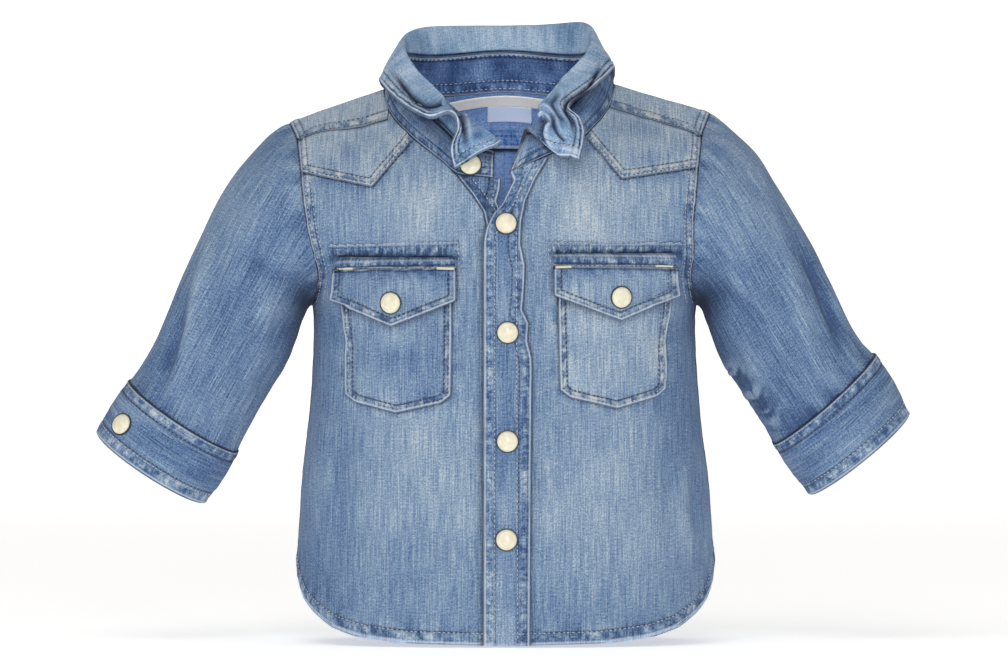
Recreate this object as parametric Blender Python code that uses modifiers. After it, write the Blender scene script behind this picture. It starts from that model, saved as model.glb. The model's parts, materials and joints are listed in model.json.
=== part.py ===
"""A baby's western denim shirt, filled out as if worn, with nobody inside it.

Metres, +Z up, front towards -Y, the wearer's right towards -X. The origin lies inside the neck,
level with the tops of the shoulders. Sizes below are in millimetres.

The body of the shirt is one smooth skin. A point on it is named by a station, which runs from the
front hem up the chest, over the shoulder and down to the back hem, and by a share, from -1 at the
wearer's right side seam or armhole to 1 at the left one. Panels are cut from that skin, and what
lies on a panel takes the panel's own points, moved out.
"""
import math

import bmesh
import bpy
import numpy as np
from mathutils import Vector

MM = 0.001
CLOTH = 1.2            # denim wall
BAND = 1.6             # folded denim: collar and cuffs
LIFT = 0.3             # clearance between two layers
SEAM = 0.4             # clearance between two panels at a seam
CURVED_SEAM = 0.9      # the same where the seam is curved
ARMHOLE_SEAM = 1.6     # the same round the armholes
POCKET_LIFT = 0.5      # clearance under pockets, which cross the turn to the side
ARMPIT_Z = -116.0
FULLNESS = 1.25        # above 1 the chest is flatter than an ellipse

# Shoulder line of the front seam: height at the armhole, fall per mm, and how soft it is at x = 0.
SHOULDER_Z = -28.0
SHOULDER_SLOPE = 0.33
SHOULDER_HALF = 105.0
SHOULDER_SOFT = 30.0
LEFT_SHOULDER_LIFT = 3.4
SHOULDER_TOP_STATION = 16.3

# Stations of the skin. drop: mm below the armpit. rise: share of the height from armpit to
# shoulder line. y_mid, y_arm: depth at the middle and at the armhole. x_right, x_left: half widths.
# turn: degrees that the section turns from its middle to its edge.
STATION_COLUMNS = ("drop", "rise", "y_mid", "y_arm", "x_right", "x_left", "turn")
STATIONS = (
    (-178, 0.00, -72.0, 0, 110.5, 110.5, 90),
    (-135, 0.00, -70.0, 0, 109.0, 109.2, 90),
    (-98, 0.00, -68.0, 0, 106.6, 107.0, 90),
    (-66, 0.00, -66.0, 0, 103.2, 103.2, 90),
    (-38, 0.00, -64.8, 0, 101.0, 100.8, 90),
    (-15, 0.00, -64.2, 0, 100.2, 99.6, 90),
    (0, 0.00, -64.0, 0, 100.9, 100.2, 90),
    (0, 0.06, -64.0, -14, 99.0, 98.6, 80),
    (0, 0.17, -63.0, -29, 97.4, 97.2, 66),
    (0, 0.30, -61.5, -37, 99.6, 98.4, 55),
    (0, 0.45, -57.5, -39, 102.6, 98.2, 50),
    (0, 0.62, -50.5, -37, 104.8, 99.2, 48),
    (0, 0.78, -40.0, -31, 106.1, 100.4, 46),
    (0, 0.90, -27.0, -23, 107.2, 101.5, 45),
    (0, 1.00, -12.0, -13, 108.4, 102.6, 45),
    (0, 1.07, -2.0, -5, 110.6, 104.8, 45),
    (0, 1.12, 7.0, 3, 112.6, 107.1, 45),
    (0, 1.12, 16.0, 11, 112.8, 107.3, 45),
    (0, 1.05, 27.0, 20, 111.0, 105.5, 45),
    (0, 0.93, 38.0, 29, 108.6, 103.4, 46),
    (0, 0.78, 46.0, 36, 106.8, 101.6, 48),
    (0, 0.60, 52.0, 41, 105.2, 100.4, 50),
    (0, 0.42, 56.0, 42, 103.2, 99.8, 55),
    (0, 0.27, 58.5, 38, 101.2, 99.2, 62),
    (0, 0.13, 60.0, 27, 99.6, 98.6, 72),
    (0, 0.05, 60.0, 13, 100.0, 99.4, 82),
    (0, 0.00, 60.0, 0, 100.9, 100.2, 90),
    (-15, 0.00, 60.2, 0, 100.2, 99.6, 90),
    (-38, 0.00, 60.8, 0, 101.0, 100.8, 90),
    (-66, 0.00, 62.0, 0, 103.2, 103.2, 90),
    (-98, 0.00, 64.0, 0, 106.6, 107.0, 90),
    (-135, 0.00, 66.0, 0, 109.0, 109.2, 90),
    (-178, 0.00, 68.0, 0, 110.5, 110.5, 90),
)
TURN = STATION_COLUMNS.index("turn")
X_RIGHT = STATION_COLUMNS.index("x_right")
X_LEFT = STATION_COLUMNS.index("x_left")
MM_PER_STATION = 12.0  # rough length of a station over the shoulder
SKIN_HALF_WIDTH = 110.0
SEAM_SHARE = SEAM / 2 / SKIN_HALF_WIDTH
FRONT_ARMPIT = 6.0
FORWARD_SEAM = 14.0
BACK_YOKE_SEAM = 20.4
SEAM_STATIONS = 0.04   # clearance between two panels across the stations
YOKE_FAN = 1.2         # how far the yoke's columns spread below the neck's corner
BACK_ARMPIT = 26.0
ROWS_ABOVE_ARMPIT = 0.36    # share of the back panel's rows that lie above the armpit
LAST_STATION = 32.0

# Shirt-tail hem: height by share of the way from the middle to the side seam.
HEM = ((0.0, -291.0), (0.30, -289.8), (0.47, -286.8), (0.59, -282.5), (0.70, -276.0),
       (0.80, -269.0), (0.90, -259.5), (1.0, -250.0))
BACK_HEM_SHORTER = 1.5

# Front neck seam seen from the front, from the placket to the shoulder: distance from the middle
# and height. The right front's neck sits lower, because its placket has swung open.
NECK = {
    "right": ((25.5, -47.2), (31.0, -41.5), (40.0, -34.5), (47.8, -28.6), (56.0, -21.0), (61.0, -14.4)),
    "left": ((19.9, -38.2), (26.0, -35.4), (33.0, -32.4), (42.0, -27.0), (50.0, -19.0), (55.0, -11.9)),
}
# Back neck seam, from the forward seam to the middle of the back: distance from the middle, station.
BACK_NECK = {
    "right": ((61.0, 14.0), (63.5, 15.3), (63.5, 16.5), (58.5, 17.5), (46.0, 18.15), (30.0, 18.5),
              (0.0, 18.6)),
    "left": ((55.0, 14.0), (57.3, 15.3), (58.0, 16.5), (54.5, 17.5), (45.0, 18.15), (30.0, 18.5),
             (0.0, 18.6)),
}
BACK_NECK_STATION = 18.6

# Edges of the two placket bands and of the panels beside them: height, x.
PLACKET_UNDER_EDGE = ((-292, -9.0), (-76, -9.0), (-66, -11.0), (-57, -17.0), (-47, -25.0))
PLACKET_UNDER_FREE = ((-292, 6.6), (-80, 6.6), (-72, 3.6), (-66, -2.5), (-61, -4.5), (-54, -2.6),
                      (-49.5, -2.4))
PLACKET_OVER_FREE = ((-292, -10.9), (-82, -10.9), (-75, -9.5), (-68, -6.0), (-63, -1.5), (-57, 1.5),
                     (-51, 4.6), (-46, 2.4))
PLACKET_OVER_EDGE = ((-292, 12.6), (-148, 13.2), (-115, 10.0), (-90, 10.6), (-61, 10.6), (-50, 15.5),
                     (-38.5, 22.4))
LAP = 2.6              # how far the over band lies on the left front
PLACKET_UNDER_NECK = ((-25.0, -47.2), (-2.6, -49.0))
PLACKET_OVER_NECK = ((2.4, -46.5), (22.0, -38.6))

# Front yokes seen from the front: neck corner, point and armhole corner, as distance and height.
FRONT_YOKE = {
    "right": ((48.4, -29.6), (69.0, -53.6), (105.0, -46.5)),
    "left": ((42.0, -27.6), (60.6, -49.4), (99.0, -44.0)),
}

YOKE_CORNER_CLIP = 2.0
YOKE_SHORT_OF_SEAM = 1.2
YOKE_OUTER_SHARE = 0.985

# Patch pockets: x of each edge at the mouth and at the foot, heights of mouth and lower corners.
POCKET = {
    "right": {"x": (-84.6, -27.2), "foot_x": (-82.0, -28.0), "mouth": -99.6, "corner": -161.5,
              "point": (-56.3, -170.8)},
    "left": {"x": (27.2, 84.0), "foot_x": (28.6, 82.0), "mouth": -98.6, "corner": -158.6,
             "point": (58.0, -168.5)},
}
POCKET_CHAMFER = (5.0, 4.0)
FLAP = {
    "right": {"x": (-88.2, -25.4), "top": -95.7, "corner": -112.4, "point": (-58.2, -125.8),
              "welt_short": (2.6, 0.6)},
    "left": {"x": (25.4, 88.4), "top": -94.6, "corner": -109.6, "point": (59.3, -122.7),
             "welt_short": (0.2, 0.9)},
}
FLAP_LIFT = 2 * POCKET_LIFT + CLOTH + 0.2
# The rounded welt of folded seam along a flap's top: height above the flap, height off the skin.
WELT = ((0.9, 3.3), (2.4, 3.6), (4.0, 2.6), (5.4, LIFT))

ARMHOLE_OVAL = (1.5, 41.0)  # depth of the armhole's middle, and its half depth

# Sleeve sections seen from the front: outer x, z and inner x, z of the tube, the depth of its
# middle, its half depth, how much of the armhole's own shape it keeps, and how far its front leans on.
SLEEVE_COLUMNS = ("outer_x", "outer_z", "inner_x", "inner_z", "y", "half_depth", "armhole", "lean")
SLEEVE = {
    "right": (
        (122.5, -26.2, 103.6, -117.6, 1.0, 41.0, 0.40, 0.6),
        (137.3, -42.6, 106.4, -124.8, 0.0, 39.0, 0.15, 1.2),
        (148.6, -59.3, 109.6, -134.0, -1.0, 36.5, 0.05, 1.8),
        (158.8, -80.1, 114.0, -145.6, -2.0, 34.0, 0.0, 2.4),
        (167.4, -98.3, 120.1, -156.0, -3.0, 32.0, 0.0, 3.0),
        (175.2, -116.5, 126.4, -166.4, -4.0, 30.0, 0.0, 3.4),
        (183.2, -134.7, 132.6, -176.8, -5.0, 28.0, 0.0, 3.8),
        (189.8, -146.2, 136.9, -184.6, -5.5, 26.8, 0.0, 4.0),
        (196.1, -155.3, 140.1, -191.9, -6.0, 26.2, 0.0, 4.0),
    ),
    "left": (
        (118.6, -23.9, 103.0, -117.6, 1.0, 41.0, 0.40, 0.5),
        (132.3, -36.9, 105.6, -124.8, 0.0, 39.0, 0.15, 1.0),
        (142.5, -53.6, 109.2, -134.6, -1.0, 36.5, 0.05, 1.5),
        (152.9, -70.7, 113.9, -145.6, -2.0, 34.0, 0.0, 2.0),
        (162.2, -86.8, 119.6, -155.0, -3.0, 32.0, 0.0, 2.4),
        (170.8, -105.0, 125.8, -164.3, -4.0, 30.0, 0.0, 2.8),
        (178.0, -120.6, 131.6, -173.2, -5.0, 28.2, 0.0, 3.1),
        (185.4, -132.6, 136.8, -180.8, -5.5, 27.2, 0.0, 3.3),
        (192.9, -141.4, 140.8, -187.7, -6.0, 26.8, 0.0, 3.3),
    ),
}
CUFF = {
    "right": ((197.0, -154.0, 139.2, -192.9, -6.0, 27.4, 0.0, 4.0),
              (206.0, -167.6, 147.0, -206.2, -6.5, 27.8, 0.0, 4.2),
              (213.6, -181.6, 156.4, -218.9, -7.0, 27.4, 0.0, 4.4)),
    "left": ((193.9, -140.0, 139.8, -188.9, -6.0, 28.0, 0.0, 3.3),
             (203.4, -155.6, 148.8, -201.6, -6.5, 28.4, 0.0, 3.3),
             (211.6, -172.2, 159.0, -214.8, -7.0, 28.0, 0.0, 3.3)),
}
CUFF_OVERHANG = 0.9    # the cuff band stands this much outside the sleeve's end

# Creases pressed into the sleeves: section along the sleeve, turn round it in degrees, depth in mm,
# and half lengths along and round the sleeve, in sections and degrees.
SLEEVE_CREASES = {
    "right": ((7.4, 138.0, -2.6, 1.3, 14.0), (7.2, 165.0, 1.4, 1.3, 14.0), (2.2, 42.0, -1.6, 1.2, 22.0)),
    "left": ((4.6, 146.0, -3.2, 2.9, 9.0), (5.0, 128.0, 1.2, 2.4, 11.0), (2.2, 42.0, -1.6, 1.2, 22.0)),
}

# The collar, a row for each section from the middle of the back to the front end of each side.
# neck: place along that half's neck seam, 0 at the middle of the back and 1 at the front end.
# lean, high, shift: the stand's top, moved in, up and sideways. fold: the fold line. edge: the
# leaf's free edge.
COLLAR_COLUMNS = ("neck", "lean", "high", "shift", "fold_x", "fold_y", "fold_z", "edge_x", "edge_y",
                  "edge_z")
FOLD = COLLAR_COLUMNS.index("fold_x")
EDGE = COLLAR_COLUMNS.index("edge_x")
COLLAR = {
    "right": (
        (0.00, -2.0, 20.5, 0.0, 0.0, 44.0, 29.6, 0.0, 52.0, -9.0),
        (0.12, -1.0, 20.5, 0.0, 24.0, 43.0, 29.6, 27.0, 51.5, -9.0),
        (0.24, 3.0, 20.0, 0.0, 43.0, 36.5, 29.0, 52.0, 44.5, -8.0),
        (0.34, 6.5, 19.0, 0.0, 53.0, 24.0, 24.5, 66.0, 28.0, -4.0),
        (0.44, 9.5, 17.0, 0.0, 53.8, 6.0, 18.5, 70.5, 8.0, 0.5),
        (0.53, 10.0, 16.5, 0.0, 48.5, -8.5, 9.5, 67.0, -10.0, -2.0),
        (0.62, 9.0, 17.0, 0.0, 39.5, -18.5, 0.5, 58.0, -26.0, -8.5),
        (0.70, 7.5, 17.0, 0.0, 33.0, -28.5, -6.0, 49.0, -38.5, -13.5),
        (0.77, 6.5, 16.5, 0.0, 28.6, -36.5, -11.0, 40.0, -47.0, -17.5),
        (0.83, 6.0, 16.0, 0.0, 22.8, -43.5, -15.5, 31.0, -54.0, -15.6),
        (0.89, 5.5, 15.5, 0.0, 15.6, -49.5, -20.5, 27.0, -58.5, -23.0),
        (0.94, 5.0, 15.0, 0.0, 8.4, -54.5, -25.6, 28.8, -60.5, -34.5),
        (0.98, 5.0, 14.0, 0.0, 2.4, -58.5, -30.2, 26.0, -62.5, -44.0),
    ),
    "left": (
        (0.00, -2.0, 20.5, 0.0, 0.0, 44.0, 29.6, 0.0, 52.0, -9.0),
        (0.12, -1.0, 20.5, 0.0, 22.0, 43.5, 30.2, 26.0, 51.5, -9.0),
        (0.24, 3.0, 20.0, 0.0, 40.0, 37.5, 32.0, 49.0, 44.5, -8.0),
        (0.34, 7.0, 19.0, 0.0, 46.0, 24.0, 28.0, 59.0, 28.0, -2.0),
        (0.44, 10.0, 15.5, 0.0, 45.5, 5.0, 20.0, 60.0, 6.0, 8.0),
        (0.53, 11.0, 15.5, 0.0, 39.5, -7.5, 11.5, 56.5, -12.0, 3.5),
        (0.62, 11.0, 16.5, 0.0, 30.5, -18.0, 3.0, 44.0, -26.0, -3.5),
        (0.70, 11.0, 16.0, 0.0, 25.0, -28.0, -4.5, 35.0, -37.0, -9.5),
        (0.77, 10.0, 15.5, 0.0, 20.5, -36.5, -10.5, 33.0, -46.5, -14.0),
        (0.83, 9.0, 15.0, 0.0, 19.5, -43.5, -15.0, 39.0, -49.5, -19.0),
        (0.89, 8.0, 15.0, 1.0, 21.5, -49.0, -19.5, 42.0, -54.0, -26.5),
        (0.95, 7.0, 19.0, 3.0, 21.0, -54.5, -25.5, 40.5, -58.0, -33.5),
        (1.00, 5.0, 22.0, 9.5, 25.0, -58.0, -33.0, 38.5, -60.0, -39.5),
    ),
}
COLLAR_READS = 23      # sections read from each half's table
FLAT = (1.0, 1.0, 0.0)
STAND_BULGE = 1.8
LEAF_ABOVE_STAND = 1.6
LEAF_START_IN = 0.8    # how far inside the stand's top the leaf starts
LEAF_RISE = 0.15       # how far the leaf's own outward direction tips up
# The leaf between its fold and its free edge: share of the way down, swell outwards, drop.
LEAF_BOW = ((0.0, 2.6, -1.4), (0.42, 2.4, 0.0), (0.72, 1.6, 0.0), (1.0, 0.0, 0.0))

NECK_TAPE_WIDTH = 6.2
NECK_TAPE_REACH = 0.46
WOVEN = 1.0            # woven tape and label
TAPE_LIFT = 0.7        # clearance inside the back yoke
TAPE_GAP_STATIONS = 0.10
LABEL_X = (-9.0, 14.0)
LABEL_HEIGHT = 9.0

SNAP_RADIUS = 5.7
SNAP_CAP_RADIUS = 5.2
SNAP_RIM_HEIGHT = 1.1
SNAP_HEIGHT = 2.6
SNAP_SIDES = 18
SNAP_RIM_SHOULDER = 0.8    # share of the rim's height where its edge rounds over
CUFF_SNAP_LIFT = 0.5
COLLAR_SNAP_LIFT = 0.8
COLLAR_SNAP_SECTION = 21   # of 25 sections of the right half
COLLAR_SNAP_UP = 0.38      # share of the stand's height
CUFF_SNAPS = {"right": (135.0, 0.15), "left": (230.0, 0.25)}    # turn, share of the cuff's width
FLAP_SNAP_ABOVE_POINT = 12.0
PLACKET_SNAPS = ((0.6, -72.8), (1.4, -129.0), (1.3, -185.6), (0.8, -236.6))

DENIM = (0.19, 0.31, 0.52, 1.0)
DENIM_DARK = (0.14, 0.24, 0.43, 1.0)
CREAM = (0.82, 0.78, 0.62, 1.0)
TAPE = (0.78, 0.75, 0.68, 1.0)


def smooth_rows(rows, at):
    """Read a table between its rows, smoothly and without overshoot."""
    rows = np.asarray(rows, float)
    at = np.clip(np.asarray(at, float), 0.0, len(rows) - 1.0)
    step = np.diff(rows, axis=0)
    slope = np.zeros_like(rows)
    product = step[:-1] * step[1:]
    total = step[:-1] + step[1:]
    total = np.where(np.abs(total) < 1e-9, 1.0, total)
    slope[1:-1] = np.where(product > 0.0, 2.0 * product / total, 0.0)
    slope[0] = step[0]
    slope[-1] = step[-1]
    low = np.clip(np.floor(at).astype(int), 0, len(rows) - 2)
    part = (at - low)[..., None]
    square, cube = part ** 2, part ** 3
    return (rows[low] * (2 * cube - 3 * square + 1) + slope[low] * (cube - 2 * square + part)
            + rows[low + 1] * (3 * square - 2 * cube) + slope[low + 1] * (cube - square))


def polyline(points, at):
    """Value of a two-column table at a place in its first column."""
    table = np.asarray(points, float)
    return np.interp(at, table[:, 0], table[:, 1])


def along(points, at):
    """Point at a share of the length of a polyline."""
    table = np.asarray(points, float)
    lengths = np.concatenate(([0.0], np.cumsum(np.linalg.norm(np.diff(table, axis=0), axis=1))))
    where = np.asarray(at, float) * lengths[-1]
    return np.stack([np.interp(where, lengths, table[:, k]) for k in range(table.shape[1])], -1)


def unit(vectors):
    length = np.linalg.norm(vectors, axis=-1, keepdims=True)
    return vectors / np.maximum(length, 1e-9)


def shoulder_line(x):
    reach = math.hypot(SHOULDER_HALF, SHOULDER_SOFT)
    return SHOULDER_Z + SHOULDER_SLOPE * (reach - np.sqrt(np.asarray(x) ** 2 + SHOULDER_SOFT ** 2))


def skin(share, station):
    """Point of the shirt's outer skin."""
    share = np.clip(np.asarray(share, float), -1.0, 1.0)
    drop, rise, y_mid, y_arm, x_right, x_left, turn = np.moveaxis(smooth_rows(STATIONS, station), -1, 0)
    turn = np.radians(turn)
    x = np.where(share < 0.0, x_right, x_left) * np.sin(share * turn) / np.sin(turn)
    bow = (np.cos(share * turn) - np.cos(turn)) / (1.0 - np.cos(turn))
    bow = 1.0 - np.clip(1.0 - bow, 0.0, 1.0) ** FULLNESS
    y = y_arm + (y_mid - y_arm) * bow
    raised = np.clip(share, 0.0, 1.0) ** 2 * np.exp(-((station - SHOULDER_TOP_STATION) / 1.3) ** 2)
    z = ARMPIT_Z + drop + rise * (shoulder_line(x) - ARMPIT_Z) + LEFT_SHOULDER_LIFT * raised
    return np.stack(np.broadcast_arrays(x, y, z), -1)


def skin_normal(share, station):
    share, station = np.broadcast_arrays(np.asarray(share, float), np.asarray(station, float))
    small = 0.004
    across = skin(share + small, station) - skin(share - small, station)
    above = np.clip(station + small, 0, LAST_STATION)
    below = np.clip(station - small, 0, LAST_STATION)
    up = skin(share, above) - skin(share, below)
    return unit(np.cross(across, up))


FRONT_STEPS = np.linspace(0.0, FORWARD_SEAM, 561)
FRONT_DROP_RISE = smooth_rows(STATIONS, FRONT_STEPS)[:, :2]
FRONT_HEIGHTS = FRONT_DROP_RISE[:, 0] + 100.0 * FRONT_DROP_RISE[:, 1]


def front_place(x, z):
    """Share and station of the point of the front that is seen at x, z from the front."""
    x, z = np.broadcast_arrays(np.asarray(x, float), np.asarray(z, float))
    rise = (z - ARMPIT_Z) / (shoulder_line(x) - ARMPIT_Z)
    height = np.where(z < ARMPIT_Z, z - ARMPIT_Z, 100.0 * rise)
    station = np.interp(height, FRONT_HEIGHTS, FRONT_STEPS)
    return share_at(x, station), station


def front_height_station(height):
    return np.interp(height, FRONT_HEIGHTS, FRONT_STEPS)


def share_at(x, station):
    """Share of the skin at an x of a station."""
    row = smooth_rows(STATIONS, station)
    turn = np.radians(row[..., TURN])
    half = np.where(np.asarray(x) < 0.0, row[..., X_RIGHT], row[..., X_LEFT])
    return np.arcsin(np.clip(x * np.sin(turn) / half, -1.0, 1.0)) / turn


def edge_x(table, station):
    """x of an edge line, which is given by height, at a station of the front."""
    row = smooth_rows(STATIONS, station)
    x = np.zeros(np.shape(station))
    for _ in range(4):
        z = ARMPIT_Z + row[..., 0] + row[..., 1] * (shoulder_line(x) - ARMPIT_Z)
        x = polyline(table, z)
    return x


def new_material(name, colour, roughness):
    material = bpy.data.materials.new(name)
    material.use_nodes = True
    shader = material.node_tree.nodes["Principled BSDF"]
    shader.inputs["Base Color"].default_value = colour
    shader.inputs["Roughness"].default_value = roughness
    shader.inputs["Metallic"].default_value = 0.0
    return material


def add_mesh(name, points, faces, material, collection):
    mesh = bpy.data.meshes.new(name)
    mesh.from_pydata([tuple(p) for p in np.asarray(points) * MM], [], faces)
    mesh.materials.append(material)
    mesh.shade_smooth()
    mesh.set_sharp_from_angle(angle=math.radians(50.0))
    thing = bpy.data.objects.new(name, mesh)
    collection.objects.link(thing)
    return thing


def grid_faces(rows, columns, ring):
    last = columns if ring else columns - 1
    return [(r * columns + c, r * columns + (c + 1) % columns,
             (r + 1) * columns + (c + 1) % columns, (r + 1) * columns + c)
            for r in range(rows - 1) for c in range(last)]


def cloth_wall(name, outer, inner, material, collection, ring=False):
    """A closed wall of cloth lofted between its outer and its inner grid of points."""
    rows, columns = outer.shape[:2]
    count = rows * columns
    faces = grid_faces(rows, columns, ring)
    faces += [tuple(count + k for k in reversed(face)) for face in grid_faces(rows, columns, ring)]
    last = columns if ring else columns - 1
    top = (rows - 1) * columns
    for c in range(last):
        after = (c + 1) % columns
        faces.append((after, c, count + c, count + after))
        faces.append((top + c, top + after, count + top + after, count + top + c))
    if not ring:
        for r in range(rows - 1):
            low, high = r * columns, (r + 1) * columns
            faces.append((low, high, count + high, count + low))
            low, high = low + columns - 1, high + columns - 1
            faces.append((high, low, count + low, count + high))
    points = np.concatenate([outer.reshape(-1, 3), inner.reshape(-1, 3)])
    thing = add_mesh(name, points, faces, material, collection)
    form = bmesh.new()
    form.from_mesh(thing.data)
    if form.calc_volume(signed=True) < 0.0:
        bmesh.ops.reverse_faces(form, faces=form.faces)
    form.to_mesh(thing.data)
    form.free()
    return thing


def laid_sheet(name, grid, thickness, material, collection):
    """A sheet that lies on a panel: an open surface, thickened outwards."""
    rows, columns = grid.shape[:2]
    thing = add_mesh(name, grid.reshape(-1, 3), grid_faces(rows, columns, False), material, collection)
    solid = thing.modifiers.new("thickness", "SOLIDIFY")
    solid.thickness = thickness * MM
    solid.offset = 1.0
    return thing


def skin_grid(share, station, lift):
    return skin(share, station) + lift * skin_normal(share, station)


def panel(name, share, station, material, collection):
    """A panel of the body, cut from the skin."""
    cloth_wall(name, skin(share, station), skin_grid(share, station, -CLOTH), material, collection)


def hem_station(share, shorter=0.0):
    height = polyline(HEM, np.abs(share)) + shorter
    return front_height_station(height - ARMPIT_Z)


def make_front(side, material, collection, neck_columns=6, shoulder_columns=9, rows=24):
    """One front, from the placket to the side seam and armhole, from hem to neck and shoulder."""
    sign = -1.0 if side == "right" else 1.0
    neck = along(NECK[side], np.linspace(0.0, 1.0, neck_columns + 1))
    edge_table = PLACKET_UNDER_EDGE if side == "right" else PLACKET_OVER_EDGE
    inset = CURVED_SEAM if side == "right" else -LAP

    def edge_share(station):
        return np.abs(share_at(edge_x(edge_table, station) + sign * inset, station))

    neck_share, neck_station = front_place(sign * neck[:, 0], neck[:, 1])
    start = edge_share(neck_station)
    neck_part = np.clip((np.abs(neck_share) - start) / (1.0 - start), 0.0, 1.0)
    neck_part[0] = 0.0
    shoulder_part = np.linspace(neck_part[-1], 1.0, shoulder_columns + 1)[1:]
    part = np.concatenate([neck_part, shoulder_part])
    top = np.concatenate([neck_station, np.full(shoulder_columns, FORWARD_SEAM)])
    top_height = np.interp(top, FRONT_STEPS, FRONT_HEIGHTS) - SEAM
    bottom = hem_station(part)
    bottom_height = np.interp(bottom, FRONT_STEPS, FRONT_HEIGHTS)
    row = np.linspace(0.0, 1.0, rows + 1)[:, None]
    height = bottom_height + (top_height - bottom_height) * row
    station = front_height_station(height)
    begin = edge_share(station)
    share = begin + (1.0 - SEAM_SHARE - begin) * part
    if sign < 0:
        share, station = -share[:, ::-1], station[:, ::-1]
    panel("front_" + side, share, station, material, collection)


def make_band(name, left_edge, right_edge, neck, lift, thickness, material, collection, rows=24, columns=4):
    """A placket band between two edges, from the hem to the neck seam."""
    across = np.linspace(0.0, 1.0, columns + 1)
    neck_x = neck[0][0] + (neck[1][0] - neck[0][0]) * across
    neck_z = neck[0][1] + (neck[1][1] - neck[0][1]) * across
    top = np.interp(front_place(neck_x, neck_z)[1], FRONT_STEPS, FRONT_HEIGHTS) - SEAM
    low = np.interp(hem_station(0.0), FRONT_STEPS, FRONT_HEIGHTS)
    up = np.linspace(0.0, 1.0, rows + 1)[:, None]
    station = front_height_station(low + (top - low) * up)
    x = edge_x(left_edge, station) * (1 - across) + edge_x(right_edge, station) * across
    share = share_at(x, station)
    if lift > 0.0:
        return laid_sheet(name, skin_grid(share, station, lift), thickness, material, collection)
    return cloth_wall(name, skin_grid(share, station, lift), skin_grid(share, station, lift - thickness),
                      material, collection)


def make_front_yoke(side, material, collection, columns=9, rows=5):
    """The pointed western yoke that lies on a front."""
    sign = -1.0 if side == "right" else 1.0
    inner, point, outer = FRONT_YOKE[side]
    to_point = np.linspace(inner[0] + YOKE_CORNER_CLIP, point[0], 4)
    reach = np.concatenate([to_point, np.linspace(point[0], outer[0], columns - 2)[1:]])
    low = polyline(FRONT_YOKE[side], reach)
    neck_top = polyline(NECK[side], reach)
    neck_end = NECK[side][-1][0]
    high = np.where(reach < neck_end, neck_top, shoulder_line(reach)) - YOKE_SHORT_OF_SEAM
    up = np.linspace(0.0, 1.0, rows + 1)[:, None]
    z = low + (high - low) * up
    share, station = front_place(sign * reach + 0.0 * z, z)
    share = np.clip(share, -YOKE_OUTER_SHARE, YOKE_OUTER_SHARE)
    if sign < 0:
        share, station = share[:, ::-1], station[:, ::-1]
    laid_sheet("front_yoke_" + side, skin_grid(share, station, LIFT), CLOTH, material, collection)


def make_pocket(side, material, collection, columns=8, rows=8):
    """A patch pocket that narrows a little to a pointed foot with clipped corners."""
    size = POCKET[side]
    low_left, low_right = size["foot_x"]
    clip_x, clip_z = POCKET_CHAMFER
    foot = [(low_left, size["corner"]), (low_left + clip_x, size["corner"] - clip_z), size["point"],
            (low_right - clip_x, size["corner"] - clip_z), (low_right, size["corner"])]
    low_x = np.sort(np.concatenate([np.linspace(low_left, low_right, columns), [p[0] for p in foot[1:4]]]))
    low_z = polyline(foot, low_x)
    across = (low_x - low_left) / (low_right - low_left)
    top_x = size["x"][0] + (size["x"][1] - size["x"][0]) * across
    up = np.linspace(0.0, 1.0, rows + 1)[:, None]
    x = low_x + (top_x - low_x) * up
    z = low_z + (size["mouth"] - low_z) * up
    share, station = front_place(x, z)
    laid_sheet("pocket_" + side, skin_grid(share, station, POCKET_LIFT), CLOTH, material, collection)


def make_flap(side, material, collection, columns=8, rows=4):
    """A pointed pocket flap that hangs over the pocket's mouth from the welt at its top."""
    size = FLAP[side]
    left, right = size["x"]
    foot = [(left, size["corner"]), size["point"], (right, size["corner"])]
    across = np.sort(np.append(np.linspace(left, right, columns), size["point"][0]))
    low = polyline(foot, across)
    hanging = low + (size["top"] - low) * np.linspace(0.0, 1.0, rows + 1)[:, None]
    welt = np.array(WELT)
    z = np.concatenate([hanging, size["top"] + welt[:, :1] + 0.0 * across])
    short_left, short_right = size["welt_short"]
    welt_x = np.interp(across, (left, right), (left + short_left, right - short_right))
    x = np.array([across] * (rows + 1) + [welt_x] * len(welt))
    lift = np.concatenate([np.full(rows + 1, FLAP_LIFT), welt[:, 1]])[:, None, None]
    share, station = front_place(x, z)
    laid_sheet("flap_" + side, skin_grid(share, station, lift), CLOTH, material, collection)


def make_back_yoke(material, collection, side_columns=5, neck_columns=12, rows=7):
    """The yoke across the back, which comes over both shoulders to the forward seams."""
    halves = []
    for side, sign in (("right", -1.0), ("left", 1.0)):
        line = np.asarray(BACK_NECK[side]) * (1.0, MM_PER_STATION)
        neck = along(line, np.linspace(0.0, 1.0, neck_columns + 1))
        station = neck[:, 1] / MM_PER_STATION
        share = np.abs(share_at(sign * neck[:, 0], station))
        seam = np.linspace(1.0 - SEAM_SHARE, share[0], side_columns + 1)[:-1]
        top_share = np.concatenate([seam, share])
        top_station = np.concatenate([np.full(side_columns, FORWARD_SEAM), station]) + SEAM_STATIONS
        low_seam = np.linspace(1.0 - SEAM_SHARE, share[0] * YOKE_FAN, side_columns + 1)[:-1]
        low_share = np.concatenate([low_seam, share[0] * np.linspace(YOKE_FAN, 0.0, neck_columns + 1)])
        halves.append((sign * top_share, top_station, sign * low_share))
    right, left = halves
    top_share = np.concatenate([right[0], left[0][::-1][1:]])
    top_station = np.concatenate([right[1], left[1][::-1][1:]])
    low_share = np.concatenate([right[2], left[2][::-1][1:]])
    down = np.linspace(0.0, 1.0, rows + 1)[:, None]
    share = top_share + (low_share - top_share) * down
    station = top_station + (BACK_YOKE_SEAM - SEAM_STATIONS / 2 - top_station) * down
    panel("back_yoke", share, station, material, collection)


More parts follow.
